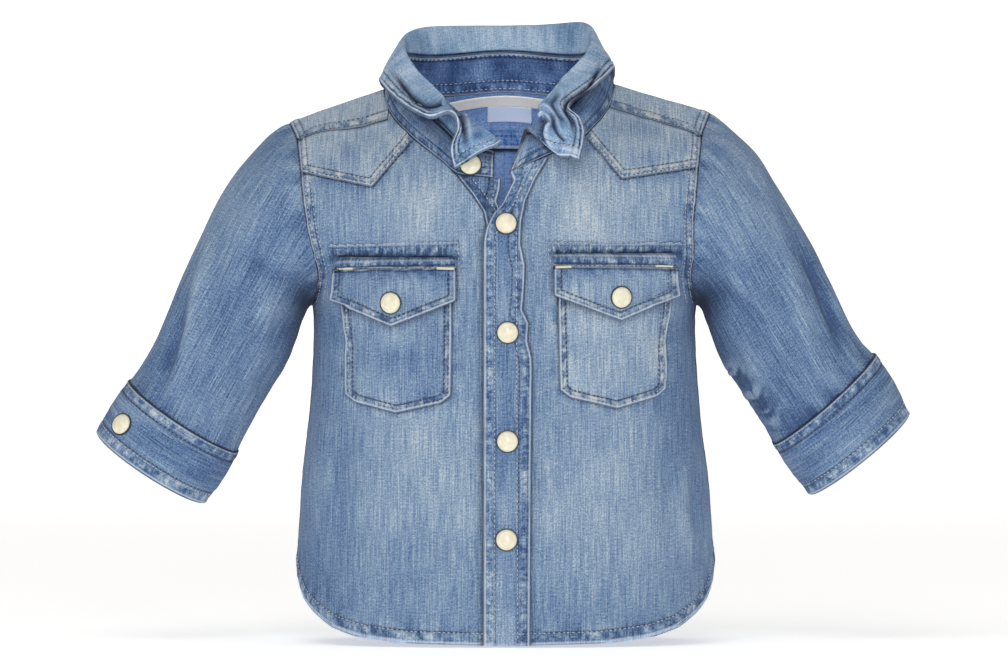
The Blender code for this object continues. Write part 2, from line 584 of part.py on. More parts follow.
def make_back(material, collection, columns=22, rows=18):
    share = np.linspace(-1.0, 1.0, columns + 1) * (1.0 - SEAM_SHARE)
    low = LAST_STATION - hem_station(share, BACK_HEM_SHORTER)
    down = np.linspace(0.0, 1.0, rows + 1)[:, None]
    start = BACK_YOKE_SEAM + SEAM_STATIONS / 2
    above = start + (BACK_ARMPIT - start) * down / ROWS_ABOVE_ARMPIT
    below = BACK_ARMPIT + (low - BACK_ARMPIT) * (down - ROWS_ABOVE_ARMPIT) / (1.0 - ROWS_ABOVE_ARMPIT)
    station = np.where(down < ROWS_ABOVE_ARMPIT, above, below)
    panel("back", share + 0.0 * station, station, material, collection)


def armhole(side, count):
    """Points and skin normals round an armhole, evenly spaced, from the armpit up the front."""
    sign = -1.0 if side == "right" else 1.0
    fine = np.linspace(FRONT_ARMPIT, BACK_ARMPIT, 401)
    loop = skin(np.full_like(fine, sign), fine)
    lengths = np.concatenate(([0.0], np.cumsum(np.linalg.norm(np.diff(loop, axis=0), axis=1))))
    station = np.interp(np.arange(count) / count * lengths[-1], lengths, fine)
    edge = np.full_like(station, sign)
    return skin(edge, station), skin_normal(edge, station)


def tube_rings(side, rows, points):
    """Rings of a sleeve or cuff: ovals through an outer and an inner point seen from the front."""
    sign = -1.0 if side == "right" else 1.0
    turn = np.linspace(0.0, 2.0 * math.pi, points, endpoint=False)
    rings = []
    for outer_x, outer_z, inner_x, inner_z, y, half_depth, _, lean in rows:
        middle = np.array(((outer_x + inner_x) / 2, (outer_z + inner_z) / 2))
        half = np.array(((inner_x - outer_x) / 2, (inner_z - outer_z) / 2))
        onward = unit(np.array((-half[1], half[0])))
        flat = middle + np.cos(turn)[:, None] * half + np.sin(turn)[:, None] * onward * lean
        rings.append(np.stack([sign * flat[:, 0], y - half_depth * np.sin(turn), flat[:, 1]], -1))
    return np.array(rings)


def ring_normals(rings, sign):
    """Outward normals of a tube's grid of rings."""
    around = np.roll(rings, -1, axis=1) - np.roll(rings, 1, axis=1)
    onward = np.gradient(rings, axis=0)
    return unit(np.cross(onward, around)) * sign


def crease(side, section, turn):
    """Depth of the pressed creases at a section and turn of a sleeve."""
    depth = np.zeros(np.broadcast(section, turn).shape)
    for at, angle, deep, half, wide in SLEEVE_CREASES[side]:
        away = (turn - angle + 180.0) % 360.0 - 180.0
        depth += deep * np.exp(-((section - at) / half) ** 2 - (away / wide) ** 2)
    return depth


def make_sleeve(side, material, collection, points=28):
    sign = -1.0 if side == "right" else 1.0
    loop, loop_normal = armhole(side, points)
    tip = (abs(loop[points // 2, 0]), loop[points // 2, 2])
    start = (tip[0], tip[1], abs(loop[0, 0]), loop[0, 2]) + ARMHOLE_OVAL + (1.0, 0.0)
    rows = np.array((start,) + SLEEVE[side])
    plain = tube_rings(side, rows, points)
    own_shape = loop - plain[0]
    rings = plain + rows[:, SLEEVE_COLUMNS.index("armhole")][:, None, None] * own_shape
    normals = ring_normals(rings, sign)
    section = np.arange(len(rows))[:, None]
    turn = np.linspace(0.0, 360.0, points, endpoint=False)[None, :]
    rings = rings + normals * crease(side, section, turn)[..., None]
    normals = ring_normals(rings, sign)
    normals[0] = loop_normal
    outward = unit(rings[1] - rings[0])
    rings[0] = rings[0] + outward * ARMHOLE_SEAM
    cloth_wall("sleeve_" + side, rings, rings - normals * CLOTH, material, collection, ring=True)


def make_cuff(side, material, collection, points=28):
    sign = -1.0 if side == "right" else 1.0
    rings = tube_rings(side, CUFF[side], points)
    normals = ring_normals(rings, sign)
    end = tube_rings(side, SLEEVE[side][-2:], points)
    onward = unit(end[1] - end[0])
    rings[0] = end[1] + onward * SEAM + normals[0] * CUFF_OVERHANG
    cloth_wall("cuff_" + side, rings, rings - normals * BAND, material, collection, ring=True)


def neck_seam(side):
    """The neck seam of one half, from the middle of the back to the front end, with normals."""
    sign = -1.0 if side == "right" else 1.0
    back = np.asarray(BACK_NECK[side])[::-1]
    station = back[:, 1]
    share = share_at(sign * back[:, 0], station)
    front = [(sign * x, z) for x, z in reversed(NECK[side][:-1])]
    front.append(PLACKET_UNDER_NECK[1] if side == "right" else PLACKET_OVER_NECK[0])
    front = np.asarray(front)
    front_share, front_station = front_place(front[:, 0], front[:, 1])
    share = np.concatenate([share, front_share])
    station = np.concatenate([station, front_station])
    return skin(share, station), skin_normal(share, station)


def collar_sections(side, count):
    """Neck point, its normal, stand top, fold and free edge for evenly read collar sections."""
    sign = -1.0 if side == "right" else 1.0
    seam, normal = neck_seam(side)
    rows = smooth_rows(COLLAR[side], np.linspace(0.0, len(COLLAR[side]) - 1.0, count))
    both = along(np.concatenate([seam, normal * MM], axis=1), rows[:, 0])
    base, normal = both[:, :3], unit(both[:, 3:])
    inward = -unit(base * FLAT)
    lean, high, shift = rows[:, 1], rows[:, 2], rows[:, 3]
    top = base + inward * lean[:, None] + np.stack([sign * shift, 0.0 * shift, high], -1)
    flip = np.array((sign, 1.0, 1.0))
    return base, normal, top, rows[:, FOLD:FOLD + 3] * flip, rows[:, EDGE:EDGE + 3] * flip


def both_halves(count):
    """Collar sections from the wearer's right front end round the back to the left front end."""
    right = collar_sections("right", count)
    left = collar_sections("left", count)
    return [np.concatenate([r[::-1], l[1:]]) for r, l in zip(right, left)]


def make_stand(material, collection, count=COLLAR_READS, rows=4):
    base, normal, top, _, _ = both_halves(count)
    grid = []
    for k in range(rows + 1):
        share = k / rows
        bulge = math.sin(math.pi * share) * STAND_BULGE
        outward = unit(base * FLAT)
        grid.append(base + (top - base) * share + outward * bulge)
    grid = np.array(grid)
    around = np.gradient(grid, axis=1)
    up = np.gradient(grid, axis=0)
    normals = unit(np.cross(up, around))
    normals[0] = normal
    grid[0] = grid[0] + unit(grid[1] - grid[0]) * CURVED_SEAM
    cloth_wall("collar_stand", grid, grid - normals * BAND, material, collection)


def make_leaf(material, collection, count=COLLAR_READS, rows=9):
    base, _, top, fold, edge = both_halves(count)
    outward = unit(unit(edge - top) * (1.0, 1.0, LEAF_RISE))
    start = top + unit(top - base) * LEAF_ABOVE_STAND - outward * LEAF_START_IN
    profile = [start, start + (fold - start) * 0.5 - outward * LEAF_START_IN, fold]
    for share, swell, drop in LEAF_BOW:
        profile.append(fold + (edge - fold) * share + outward * swell + np.array((0.0, 0.0, drop)))
    profile = np.array(profile)
    grid = smooth_rows(profile.reshape(len(profile), -1), np.linspace(0.0, len(profile) - 1.0, rows + 1))
    grid = grid.reshape(rows + 1, -1, 3)
    normals = unit(np.cross(np.gradient(grid, axis=0), np.gradient(grid, axis=1)))
    cloth_wall("collar_leaf", grid + normals * BAND / 2, grid - normals * BAND / 2, material, collection)


def inner_piece(name, share, station, material, collection):
    """A thin woven piece that lies against the inside of the back yoke."""
    outside = -CLOTH - TAPE_LIFT
    share = share + 0.0 * station
    cloth_wall(name, skin_grid(share, station, outside), skin_grid(share, station, outside - WOVEN),
               material, collection)


def make_neck_tape(material, collection, columns=16):
    """The tape inside the back neck, just under the neck seam."""
    share = np.linspace(-NECK_TAPE_REACH, NECK_TAPE_REACH, columns + 1)
    start = BACK_NECK_STATION + TAPE_GAP_STATIONS
    mm_per_station = np.linalg.norm(skin(0.0, start + 0.5) - skin(0.0, start - 0.5))
    down = np.array([0.0, 0.5, 1.0])[:, None] * NECK_TAPE_WIDTH / mm_per_station
    station = start + down + 0.0 * share
    inner_piece("neck_tape", share, station, material, collection)
    return mm_per_station


def make_label(mm_per_station, material, collection, columns=4):
    """A bare woven label under the tape, inside the back yoke."""
    x = np.linspace(LABEL_X[0], LABEL_X[1], columns + 1)
    start = BACK_NECK_STATION + TAPE_GAP_STATIONS + (NECK_TAPE_WIDTH + SEAM) / mm_per_station
    station = start + np.array([0.0, 0.5, 1.0])[:, None] * LABEL_HEIGHT / mm_per_station + 0.0 * x
    inner_piece("label", share_at(x + 0.0 * station, station), station, material, collection)


def make_snap(name, place, direction, material, collection):
    """A snap: a domed cap in a metal rim, turned from its profile and set square to the cloth."""
    rim, cap = SNAP_RADIUS * MM, SNAP_CAP_RADIUS * MM
    low, high = SNAP_RIM_HEIGHT * MM, SNAP_HEIGHT * MM
    outline = [(0.0, high)]
    for k in range(1, 4):
        angle = math.radians(90.0 - 30.0 * k)
        outline.append((cap * math.cos(angle), low + (high - low) * math.sin(angle)))
    outline += [(rim, low * SNAP_RIM_SHOULDER), (rim, 0.0), (0.0, 0.0)]
    mesh = bpy.data.meshes.new(name)
    mesh.from_pydata([(x, 0.0, z) for x, z in outline], [(k, k + 1) for k in range(len(outline) - 1)], [])
    mesh.materials.append(material)
    thing = bpy.data.objects.new(name, mesh)
    collection.objects.link(thing)
    turned = thing.modifiers.new("turned", "SCREW")
    turned.axis = "Z"
    turned.steps = SNAP_SIDES
    turned.render_steps = SNAP_SIDES
    turned.use_merge_vertices = True
    turned.merge_threshold = 0.00005
    thing.location = Vector(place) * MM
    thing.rotation_mode = "QUATERNION"
    thing.rotation_quaternion = Vector(direction).to_track_quat("Z", "Y")
    return thing


def snap_on_front(name, x, z, lift, material, collection):
    share, station = front_place(x, z)
    normal = skin_normal(share, station)
    make_snap(name, skin(share, station) + normal * lift, normal, material, collection)


def snap_on_cuff(side, turn, along_cuff, material, collection):
    rings = tube_rings(side, CUFF[side], 72)
    sign = -1.0 if side == "right" else 1.0
    normals = ring_normals(rings, sign)
    spot = int(turn / 5.0)
    place = rings[1, spot] * (1 - along_cuff) + rings[2, spot] * along_cuff
    normal = normals[1, spot]
    make_snap("snap_cuff_" + side, place + normal * CUFF_SNAP_LIFT, normal, material, collection)


def snap_on_stand(material, collection):
    """The collar snap, on the outside of the stand's right front end."""
    base, _, top, _, _ = collar_sections("right", 25)
    spot = COLLAR_SNAP_SECTION
    outside = unit(base[spot] * FLAT) * STAND_BULGE
    middle = base[spot] + (top[spot] - base[spot]) * COLLAR_SNAP_UP + outside
    across = base[spot + 2] - base[spot - 2]
    normal = unit(np.cross(across, top[spot] - base[spot]))
    if normal[1] > 0.0:
        normal = -normal
    make_snap("snap_collar", middle + normal * COLLAR_SNAP_LIFT, normal, material, collection)


def clear_scene():
    for thing in list(bpy.data.objects):
        bpy.data.objects.remove(thing, do_unlink=True)


def main():
    clear_scene()
    collection = bpy.data.collections.new("denim_shirt")
    bpy.context.scene.collection.children.link(collection)
    denim = new_material("washed denim", DENIM, 0.85)
    dark = new_material("washed denim, collar and bands", DENIM_DARK, 0.85)
    pearl = new_material("cream snap cap", CREAM, 0.25)
    tape = new_material("cotton tape", TAPE, 0.8)

    for side in ("right", "left"):
        make_front(side, denim, collection)
        make_front_yoke(side, denim, collection)
        make_pocket(side, denim, collection)
        make_flap(side, denim, collection)
        make_sleeve(side, denim, collection)
        make_cuff(side, dark, collection)
    make_back_yoke(denim, collection)
    make_back(denim, collection)
    make_band("placket_under", PLACKET_UNDER_EDGE, PLACKET_UNDER_FREE, PLACKET_UNDER_NECK, 0.0, CLOTH,
              dark, collection)
    make_band("placket_over", PLACKET_OVER_FREE, PLACKET_OVER_EDGE, PLACKET_OVER_NECK, LIFT, BAND,
              dark, collection)
    make_stand(dark, collection)
    make_leaf(dark, collection)
    mm_per_station = make_neck_tape(tape, collection)
    make_label(mm_per_station, tape, collection)

    on_band = LIFT + BAND + LIFT
    for number, (x, z) in enumerate(PLACKET_SNAPS, 1):
        snap_on_front("snap_front_%d" % number, x, z, on_band, pearl, collection)
    on_flap = FLAP_LIFT + CLOTH + LIFT
    for side in ("right", "left"):
        x = FLAP[side]["point"][0]
        z = FLAP[side]["point"][1] + FLAP_SNAP_ABOVE_POINT
        snap_on_front("snap_flap_" + side, x, z, on_flap, pearl, collection)
        snap_on_cuff(side, CUFF_SNAPS[side][0], CUFF_SNAPS[side][1], pearl, collection)
    snap_on_stand(pearl, collection)


main()
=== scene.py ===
# %% [markdown]
# # A baby's western denim shirt, filled out with nobody inside
#
# The shirt is cut from light denim: two fronts with pointed yokes, a back with a yoke that comes over
# the shoulders, sleeves with cuffs, a collar on a stand, two plackets, two pockets with flaps, and
# snaps in place of buttons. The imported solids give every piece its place. This lesson dresses each of
# them in cloth that is much finer: the same named forms, read more closely, with seams that pucker,
# edges that roll, thread, and a denim that is woven and washed.

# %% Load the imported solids
import json
import math

import bpy
import numpy as np
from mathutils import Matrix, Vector

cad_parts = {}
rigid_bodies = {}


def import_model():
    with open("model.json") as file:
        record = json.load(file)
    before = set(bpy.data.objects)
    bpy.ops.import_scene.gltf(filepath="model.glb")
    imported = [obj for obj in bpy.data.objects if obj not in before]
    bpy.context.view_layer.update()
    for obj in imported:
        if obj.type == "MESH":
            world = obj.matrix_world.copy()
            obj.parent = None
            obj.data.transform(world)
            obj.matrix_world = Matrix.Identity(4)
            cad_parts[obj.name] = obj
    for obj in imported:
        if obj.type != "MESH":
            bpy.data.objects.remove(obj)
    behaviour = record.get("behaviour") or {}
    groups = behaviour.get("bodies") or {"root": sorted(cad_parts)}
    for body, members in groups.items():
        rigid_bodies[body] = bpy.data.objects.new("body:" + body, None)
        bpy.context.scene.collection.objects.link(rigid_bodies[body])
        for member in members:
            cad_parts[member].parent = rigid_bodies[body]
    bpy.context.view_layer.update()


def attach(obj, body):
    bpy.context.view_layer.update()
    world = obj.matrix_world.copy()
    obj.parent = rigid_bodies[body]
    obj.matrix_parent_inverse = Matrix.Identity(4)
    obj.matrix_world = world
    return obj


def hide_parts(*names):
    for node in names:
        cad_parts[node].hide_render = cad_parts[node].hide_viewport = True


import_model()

MM = 0.001

# %% [markdown]
# ## Small tools
#
# Colours are written as sRGB hex, as a dyer's chart would give them, and one function turns them to
# the linear values that a shader wants. One function adds a shader node with its settings and links.
# Much here is made of a base in two shades, mottled by fine noise: paper, thread, resin and metal.

# %% Colours and nodes
def linear(code):
    values = [int(code[k:k + 2], 16) / 255.0 for k in (1, 3, 5)]
    return [v / 12.92 if v <= 0.04045 else ((v + 0.055) / 1.055) ** 2.4 for v in values] + [1.0]


def add_node(tree, kind, inputs=None, links=None, **settings):
    """A node, its kind without the ShaderNode that Blender puts before it, with its properties, its
    input values and the sockets that feed it."""
    node = tree.nodes.new("ShaderNode" + kind)
    for name, value in settings.items():
        setattr(node, name, value)
    for key, value in (inputs or {}).items():
        node.inputs[key].default_value = value
    for key, socket in (links or {}).items():
        tree.links.new(socket, node.inputs[key])
    return node


def new_material(name, values):
    """A material, its node tree and its shader, which gets these socket values."""
    material = bpy.data.materials.new(name)
    material.use_nodes = True
    tree = material.node_tree
    shader = tree.nodes["Principled BSDF"]
    for key, value in values.items():
        shader.inputs[key].default_value = value
    return material, tree, shader


def mottled(name, values, grain, detail, shades, stops=(0.0, 1.0), bump=None):
    """A material of two shades, dark and pale. grain is grains to a metre, bump strength and metres."""
    material, tree, shader = new_material(name, values)
    here = add_node(tree, "TexCoord").outputs["Object"]
    noise = add_node(tree, "TexNoise", {"Scale": grain, "Detail": detail},
                     {"Vector": here}).outputs["Fac"]
    ramp = add_node(tree, "ValToRGB", None, {"Fac": noise})
    for stop, place, code in zip(ramp.color_ramp.elements, stops, shades):
        stop.position, stop.color = place, linear(code)
    tree.links.new(ramp.outputs["Color"], shader.inputs["Base Color"])
    if bump:
        raised = add_node(tree, "Bump", {"Strength": bump[0], "Distance": bump[1]},
                          {"Height": noise})
        tree.links.new(raised.outputs["Normal"], shader.inputs["Normal"])
    return material, tree, shader, noise


def add_object(name, data):
    thing = bpy.data.objects.new(name, data)
    bpy.context.scene.collection.objects.link(thing)
    return thing


def turn_to(thing, direction):
    """Turns an object's own Z to a direction."""
    thing.rotation_mode = "QUATERNION"
    thing.rotation_quaternion = Vector(direction).to_track_quat("Z", "Y")


def select_only(thing):
    for other in bpy.data.objects:
        other.select_set(other == thing)
    bpy.context.view_layer.objects.active = thing


print("denim blue in linear light:", [round(v, 3) for v in linear("#7F97B8")[:3]])

# %% [markdown]
# ## Camera, floor and light
#
# The shirt is seen level from the front through a long lens, so its outline keeps its true
# proportions. The floor is a white sheet that curves up behind into a low backdrop. Large soft lamps
# stand above, beside and close to the camera, one lights the back, and a narrow one by the lens
# reaches into the collar.

# %% Camera
bpy.context.scene.view_settings.view_transform = "Standard"   # colours as they are dyed
PICTURE_WIDTH = 524.0      # mm across the picture at the shirt's front
PICTURE_MIDDLE = Vector((-0.5, -55.0, -131.0))
CAMERA_AWAY = 7000.0
CAMERA_RISE = math.radians(1.3)
SENSOR = 36.0              # mm

camera_data = bpy.data.cameras.new("camera")
camera_data.sensor_width = SENSOR
camera_data.lens = SENSOR * CAMERA_AWAY / PICTURE_WIDTH
camera_data.clip_end = 100.0
camera = add_object("camera", camera_data)
toward = Vector((0.0, -math.cos(CAMERA_RISE), math.sin(CAMERA_RISE)))
camera.location = (PICTURE_MIDDLE + toward * CAMERA_AWAY) * MM
turn_to(camera, toward)
bpy.context.scene.camera = camera
print("lens", round(camera_data.lens), "mm")

# %% Floor and backdrop
FLOOR_Z = -292.5           # mm
FLOOR_WIDTH = 12.0         # this and the next four in metres
FLOOR_NEAR = -9.0
FLOOR_FAR = 2.6
WALL_HEIGHT = 0.43         # low, so that the back can be looked at over it
WALL_BEND = 0.38

bpy.ops.mesh.primitive_plane_add(size=1.0, location=(0.0, 0.0, 0.0))
floor = bpy.context.object
floor.name = "studio_floor"
bpy.ops.object.mode_set(mode="EDIT")
bpy.ops.mesh.select_all(action="SELECT")
bpy.ops.transform.resize(value=(FLOOR_WIDTH, FLOOR_FAR - FLOOR_NEAR, 1.0))
bpy.ops.transform.translate(value=(0.0, (FLOOR_FAR + FLOOR_NEAR) / 2.0, FLOOR_Z * MM))
bpy.ops.mesh.select_all(action="DESELECT")
bpy.ops.object.mode_set(mode="OBJECT")
for edge in floor.data.edges:
    ends = [floor.data.vertices[k].co.y for k in edge.vertices]
    edge.select = min(ends) > FLOOR_FAR - 0.01
bpy.ops.object.mode_set(mode="EDIT")
bpy.ops.mesh.select_mode(type="EDGE")
bpy.ops.mesh.extrude_region_move(TRANSFORM_OT_translate={"value": (0.0, 0.0, WALL_HEIGHT)})
bpy.ops.object.mode_set(mode="OBJECT")
bend = floor.modifiers.new("bend", "BEVEL")
bend.width = WALL_BEND
bend.segments = 16
bend.limit_method = "ANGLE"
select_only(floor)
bpy.ops.object.modifier_apply(modifier="bend")
bpy.ops.object.shade_smooth()

# Matt white paper: it glows a little, so that it reads as the white of a lit studio.
paper = {"Roughness": 0.9, "Emission Color": linear("#FFFDF9"), "Emission Strength": 0.52}
paper = mottled("matt white paper sweep", paper, 900.0, 2.0, ("#FBFBFB", "#FBFBFB"), bump=(0.05, 0.2 * MM))
floor.data.materials.append(paper[0])
print("floor at", FLOOR_Z, "mm")

# %% Lamps
# name, place in metres, size in metres, watts
LAMPS = (
    ("lamp_over_camera", (-0.4, -2.0, 1.9), 1.5, 18.8),
    ("lamp_by_camera", (0.1, -3.0, 0.52), 0.6, 14.6),
    ("lamp_left", (-2.2, -1.4, 0.7), 1.4, 6.0),
    ("lamp_right", (2.2, -1.4, 0.5), 1.4, 5.0),
    ("lamp_behind", (0.0, 2.2, 2.0), 2.0, 9.0),
)
CHEST = (0.0, 0.0, -0.12)              # metres, like the next two
NECK_LAMP = (0.0, -1.6, 0.06)
LABEL_PLACE = (0.003, 0.045, -0.020)


def hang_lamp(name, kind, place, aim, **settings):
    lamp_data = bpy.data.lights.new(name, kind)
    for key, value in settings.items():
        setattr(lamp_data, key, value)
    lamp = add_object(name, lamp_data)
    lamp.location = place
    turn_to(lamp, Vector(place) - Vector(aim))


for name, place, size, watts in LAMPS:
    hang_lamp(name, "AREA", place, CHEST, shape="SQUARE", size=size, energy=watts)
# A narrow lamp beside the lens looks through the open neck to the tape and label.
hang_lamp("lamp_into_neck", "SPOT", NECK_LAMP, LABEL_PLACE, energy=52.0, spot_size=math.radians(2.6),
          spot_blend=1.0, shadow_soft_size=0.03)

world = bpy.data.worlds.new("studio")
bpy.context.scene.world = world
world.use_nodes = True
backdrop = world.node_tree.nodes["Background"]
backdrop.inputs["Color"].default_value = linear("#F5F6F9")
backdrop.inputs["Strength"].default_value = 0.27
print("lamps:", len(LAMPS))

# %% [markdown]
# ## The shirt's skin
#
# A tailor thinks of the body of a shirt as one skin, and cuts panels from it. Here a point of that
# skin is named by a *station*, which runs from the front hem up over the shoulder and down to the
# back hem, and a *share*, from -1 at the wearer's right side seam or armhole to 1 at the left. The
# sizes are the same as the solids', so each piece of cloth lands on its solid.

# %% Sizes of the skin
SIGN = {"right": -1.0, "left": 1.0}    # of x, on the wearer's two sides
CLOTH = 1.2            # denim wall
BAND = 1.6             # folded denim: collar and cuffs
LIFT = 0.3             # clearance between two layers
SEAM = 0.4             # clearance between two panels at a seam
CURVED_SEAM = 0.9      # the same where the seam is curved
POCKET_LIFT = 0.5      # clearance under pockets
ARMPIT_Z = -116.0
FULLNESS = 1.25        # above 1 the chest is flatter than an ellipse

# Shoulder line of the front seam: height at the armhole, fall per mm, and how soft it is at x = 0.
SHOULDER_Z = -28.0
SHOULDER_SLOPE = 0.33
SHOULDER_HALF = 105.0
SHOULDER_SOFT = 30.0
LEFT_SHOULDER_LIFT = 3.4
SHOULDER_TOP_STATION = 16.3

# Stations of the skin. drop: mm below the armpit. rise: share of the height from armpit to
# shoulder line. y_mid, y_arm: depth at the middle and at the armhole. x_right, x_left: half widths.
# turn: degrees that the section turns from its middle to its edge.
STATION_COLUMNS = ("drop", "rise", "y_mid", "y_arm", "x_right", "x_left", "turn")
STATIONS = (
    (-178, 0.00, -72, 0, 110.5, 110.5, 90),
    (-135, 0.00, -70, 0, 109, 109.2, 90),
    (-98, 0.00, -68, 0, 106.6, 107, 90),
    (-66, 0.00, -66, 0, 103.2, 103.2, 90),
    (-38, 0.00, -64.8, 0, 101, 100.8, 90),
    (-15, 0.00, -64.2, 0, 100.2, 99.6, 90),
    (0, 0.00, -64, 0, 100.9, 100.2, 90),
    (0, 0.06, -64, -14, 99, 98.6, 80),
    (0, 0.17, -63, -29, 97.4, 97.2, 66),
    (0, 0.30, -61.5, -37, 99.6, 98.4, 55),
    (0, 0.45, -57.5, -39, 102.6, 98.2, 50),
    (0, 0.62, -50.5, -37, 104.8, 99.2, 48),
    (0, 0.78, -40, -31, 106.1, 100.4, 46),
    (0, 0.90, -27, -23, 107.2, 101.5, 45),
    (0, 1.00, -12, -13, 108.4, 102.6, 45),
    (0, 1.07, -2, -5, 110.6, 104.8, 45),
    (0, 1.12, 7, 3, 112.6, 107.1, 45),
    (0, 1.12, 16, 11, 112.8, 107.3, 45),
    (0, 1.05, 27, 20, 111, 105.5, 45),
    (0, 0.93, 38, 29, 108.6, 103.4, 46),
    (0, 0.78, 46, 36, 106.8, 101.6, 48),
    (0, 0.60, 52, 41, 105.2, 100.4, 50),
    (0, 0.42, 56, 42, 103.2, 99.8, 55),
    (0, 0.27, 58.5, 38, 101.2, 99.2, 62),
    (0, 0.13, 60, 27, 99.6, 98.6, 72),
    (0, 0.05, 60, 13, 100, 99.4, 82),
    (0, 0.00, 60, 0, 100.9, 100.2, 90),
    (-15, 0.00, 60.2, 0, 100.2, 99.6, 90),
    (-38, 0.00, 60.8, 0, 101, 100.8, 90),
    (-66, 0.00, 62, 0, 103.2, 103.2, 90),
    (-98, 0.00, 64, 0, 106.6, 107, 90),
    (-135, 0.00, 66, 0, 109, 109.2, 90),
    (-178, 0.00, 68, 0, 110.5, 110.5, 90),
)
TURN = STATION_COLUMNS.index("turn")
X_RIGHT = STATION_COLUMNS.index("x_right")
X_LEFT = STATION_COLUMNS.index("x_left")
MM_PER_STATION = 12.0  # rough length of a station over the shoulder
SKIN_HALF_WIDTH = 110.0
SEAM_SHARE = SEAM / 2 / SKIN_HALF_WIDTH
FRONT_ARMPIT = 6.0
FORWARD_SEAM = 14.0
SEAM_SAG = 5.5             # mm that the right forward seam hangs below that station
BACK_YOKE_SEAM = 20.4
SEAM_STATIONS = 0.04   # clearance between two panels across the stations
YOKE_FAN = 1.2         # how far the yoke's columns spread below the neck's corner
BACK_ARMPIT = 26.0
ROWS_ABOVE_ARMPIT = 0.36    # share of the back panel's rows that lie above the armpit
LAST_STATION = 32.0

# Shirt-tail hem: height by share of the way from the middle to the side seam.
HEM = ((0, -291), (0.3, -289.8), (0.47, -286.8), (0.59, -282.5), (0.7, -276),
       (0.8, -269), (0.9, -259.5), (1, -250))
BACK_HEM_SHORTER = 1.5

# Front neck seam seen from the front, from the placket to the shoulder: distance from the middle
# and height. The right front's neck sits lower, because its placket has swung open.
NECK = {
    "right": ((25.5, -47.2), (31, -41.5), (40, -34.5), (47.8, -28.6), (56, -21), (61, -14.4)),
    "left": ((19.9, -38.2), (26, -35.4), (33, -32.4), (42, -27), (50, -19), (55, -11.9)),
}
# Back neck seam, from the forward seam to the middle of the back: distance from the middle, station.
BACK_NECK = {
    "right": ((61, 14), (63.5, 15.3), (63.5, 16.5), (58.5, 17.5), (46, 18.15), (30, 18.5),
              (0, 18.6)),
    "left": ((55, 14), (57.3, 15.3), (58, 16.5), (54.5, 17.5), (45, 18.15), (30, 18.5),
             (0, 18.6)),
}
BACK_NECK_STATION = 18.6

# Edges of the two placket bands and of the panels beside them: height, x.
PLACKET_UNDER_EDGE = ((-292, -9), (-76, -9), (-66, -11), (-57, -17), (-47, -25))
PLACKET_UNDER_FREE = ((-292, 6.6), (-80, 6.6), (-72, 3.6), (-66, -2.5), (-61, -4.5), (-54, -2.6),
                      (-49.5, -2.4))
PLACKET_OVER_FREE = ((-292, -10.9), (-82, -10.9), (-75, -9.5), (-68, -6), (-63, -1.5), (-57, 1.5),
                     (-51, 4.6), (-46, 2.4))
PLACKET_OVER_EDGE = ((-292, 12.8), (-200, 13.4), (-148, 13.9), (-142, 13.7), (-133, 11.5), (-124, 12.2),
                     (-117, 8.9), (-105, 9.9), (-94, 10.3), (-83, 8), (-72, 8.4), (-61, 10.6),
                     (-50, 15.5), (-38.5, 22.4))
LAP = 2.6              # how far the over band lies on the left front
PLACKET_UNDER_NECK = ((-25, -47.2), (-2.6, -49))
PLACKET_OVER_NECK = ((2.4, -46.5), (22, -38.6))

# Front yokes seen from the front: neck corner, point and armhole corner, as distance and height.
FRONT_YOKE = {
    "right": ((48.4, -29.6), (69, -53.6), (105, -46.5)),
    "left": ((42, -27.6), (60.6, -49.4), (99, -44)),
}

YOKE_CORNER_CLIP = 2.0
YOKE_SHORT_OF_SEAM = 0.8
YOKE_OUTER_SHARE = 0.985

# Patch pockets: x of each edge at the mouth and at the foot, heights of mouth and lower corners.
POCKET = {
    "right": {"x": (-84.6, -27.2), "foot_x": (-82, -28), "mouth": -99.6, "corner": -161.5,
              "point": (-56.3, -170.8)},
    "left": {"x": (27.2, 85.4), "foot_x": (28.6, 83), "mouth": -98.6, "corner": -158.6,
             "point": (58, -168.5)},
}
POCKET_CHAMFER = (5, 4)
FLAP = {
    "right": {"x": (-88.2, -25.4), "top": -95.7, "corner": -112.4, "point": (-58.2, -125.8),
              "welt_short": (2.6, 0.6)},
    "left": {"x": (25.4, 88.4), "top": -94.6, "corner": -109.6, "point": (59.3, -122.7),
             "welt_short": (0.2, 0.9)},
}
FLAP_LIFT = 2 * POCKET_LIFT + CLOTH + 0.2

ARMHOLE_OVAL = (1.5, 41)  # depth of the armhole's middle, and its half depth

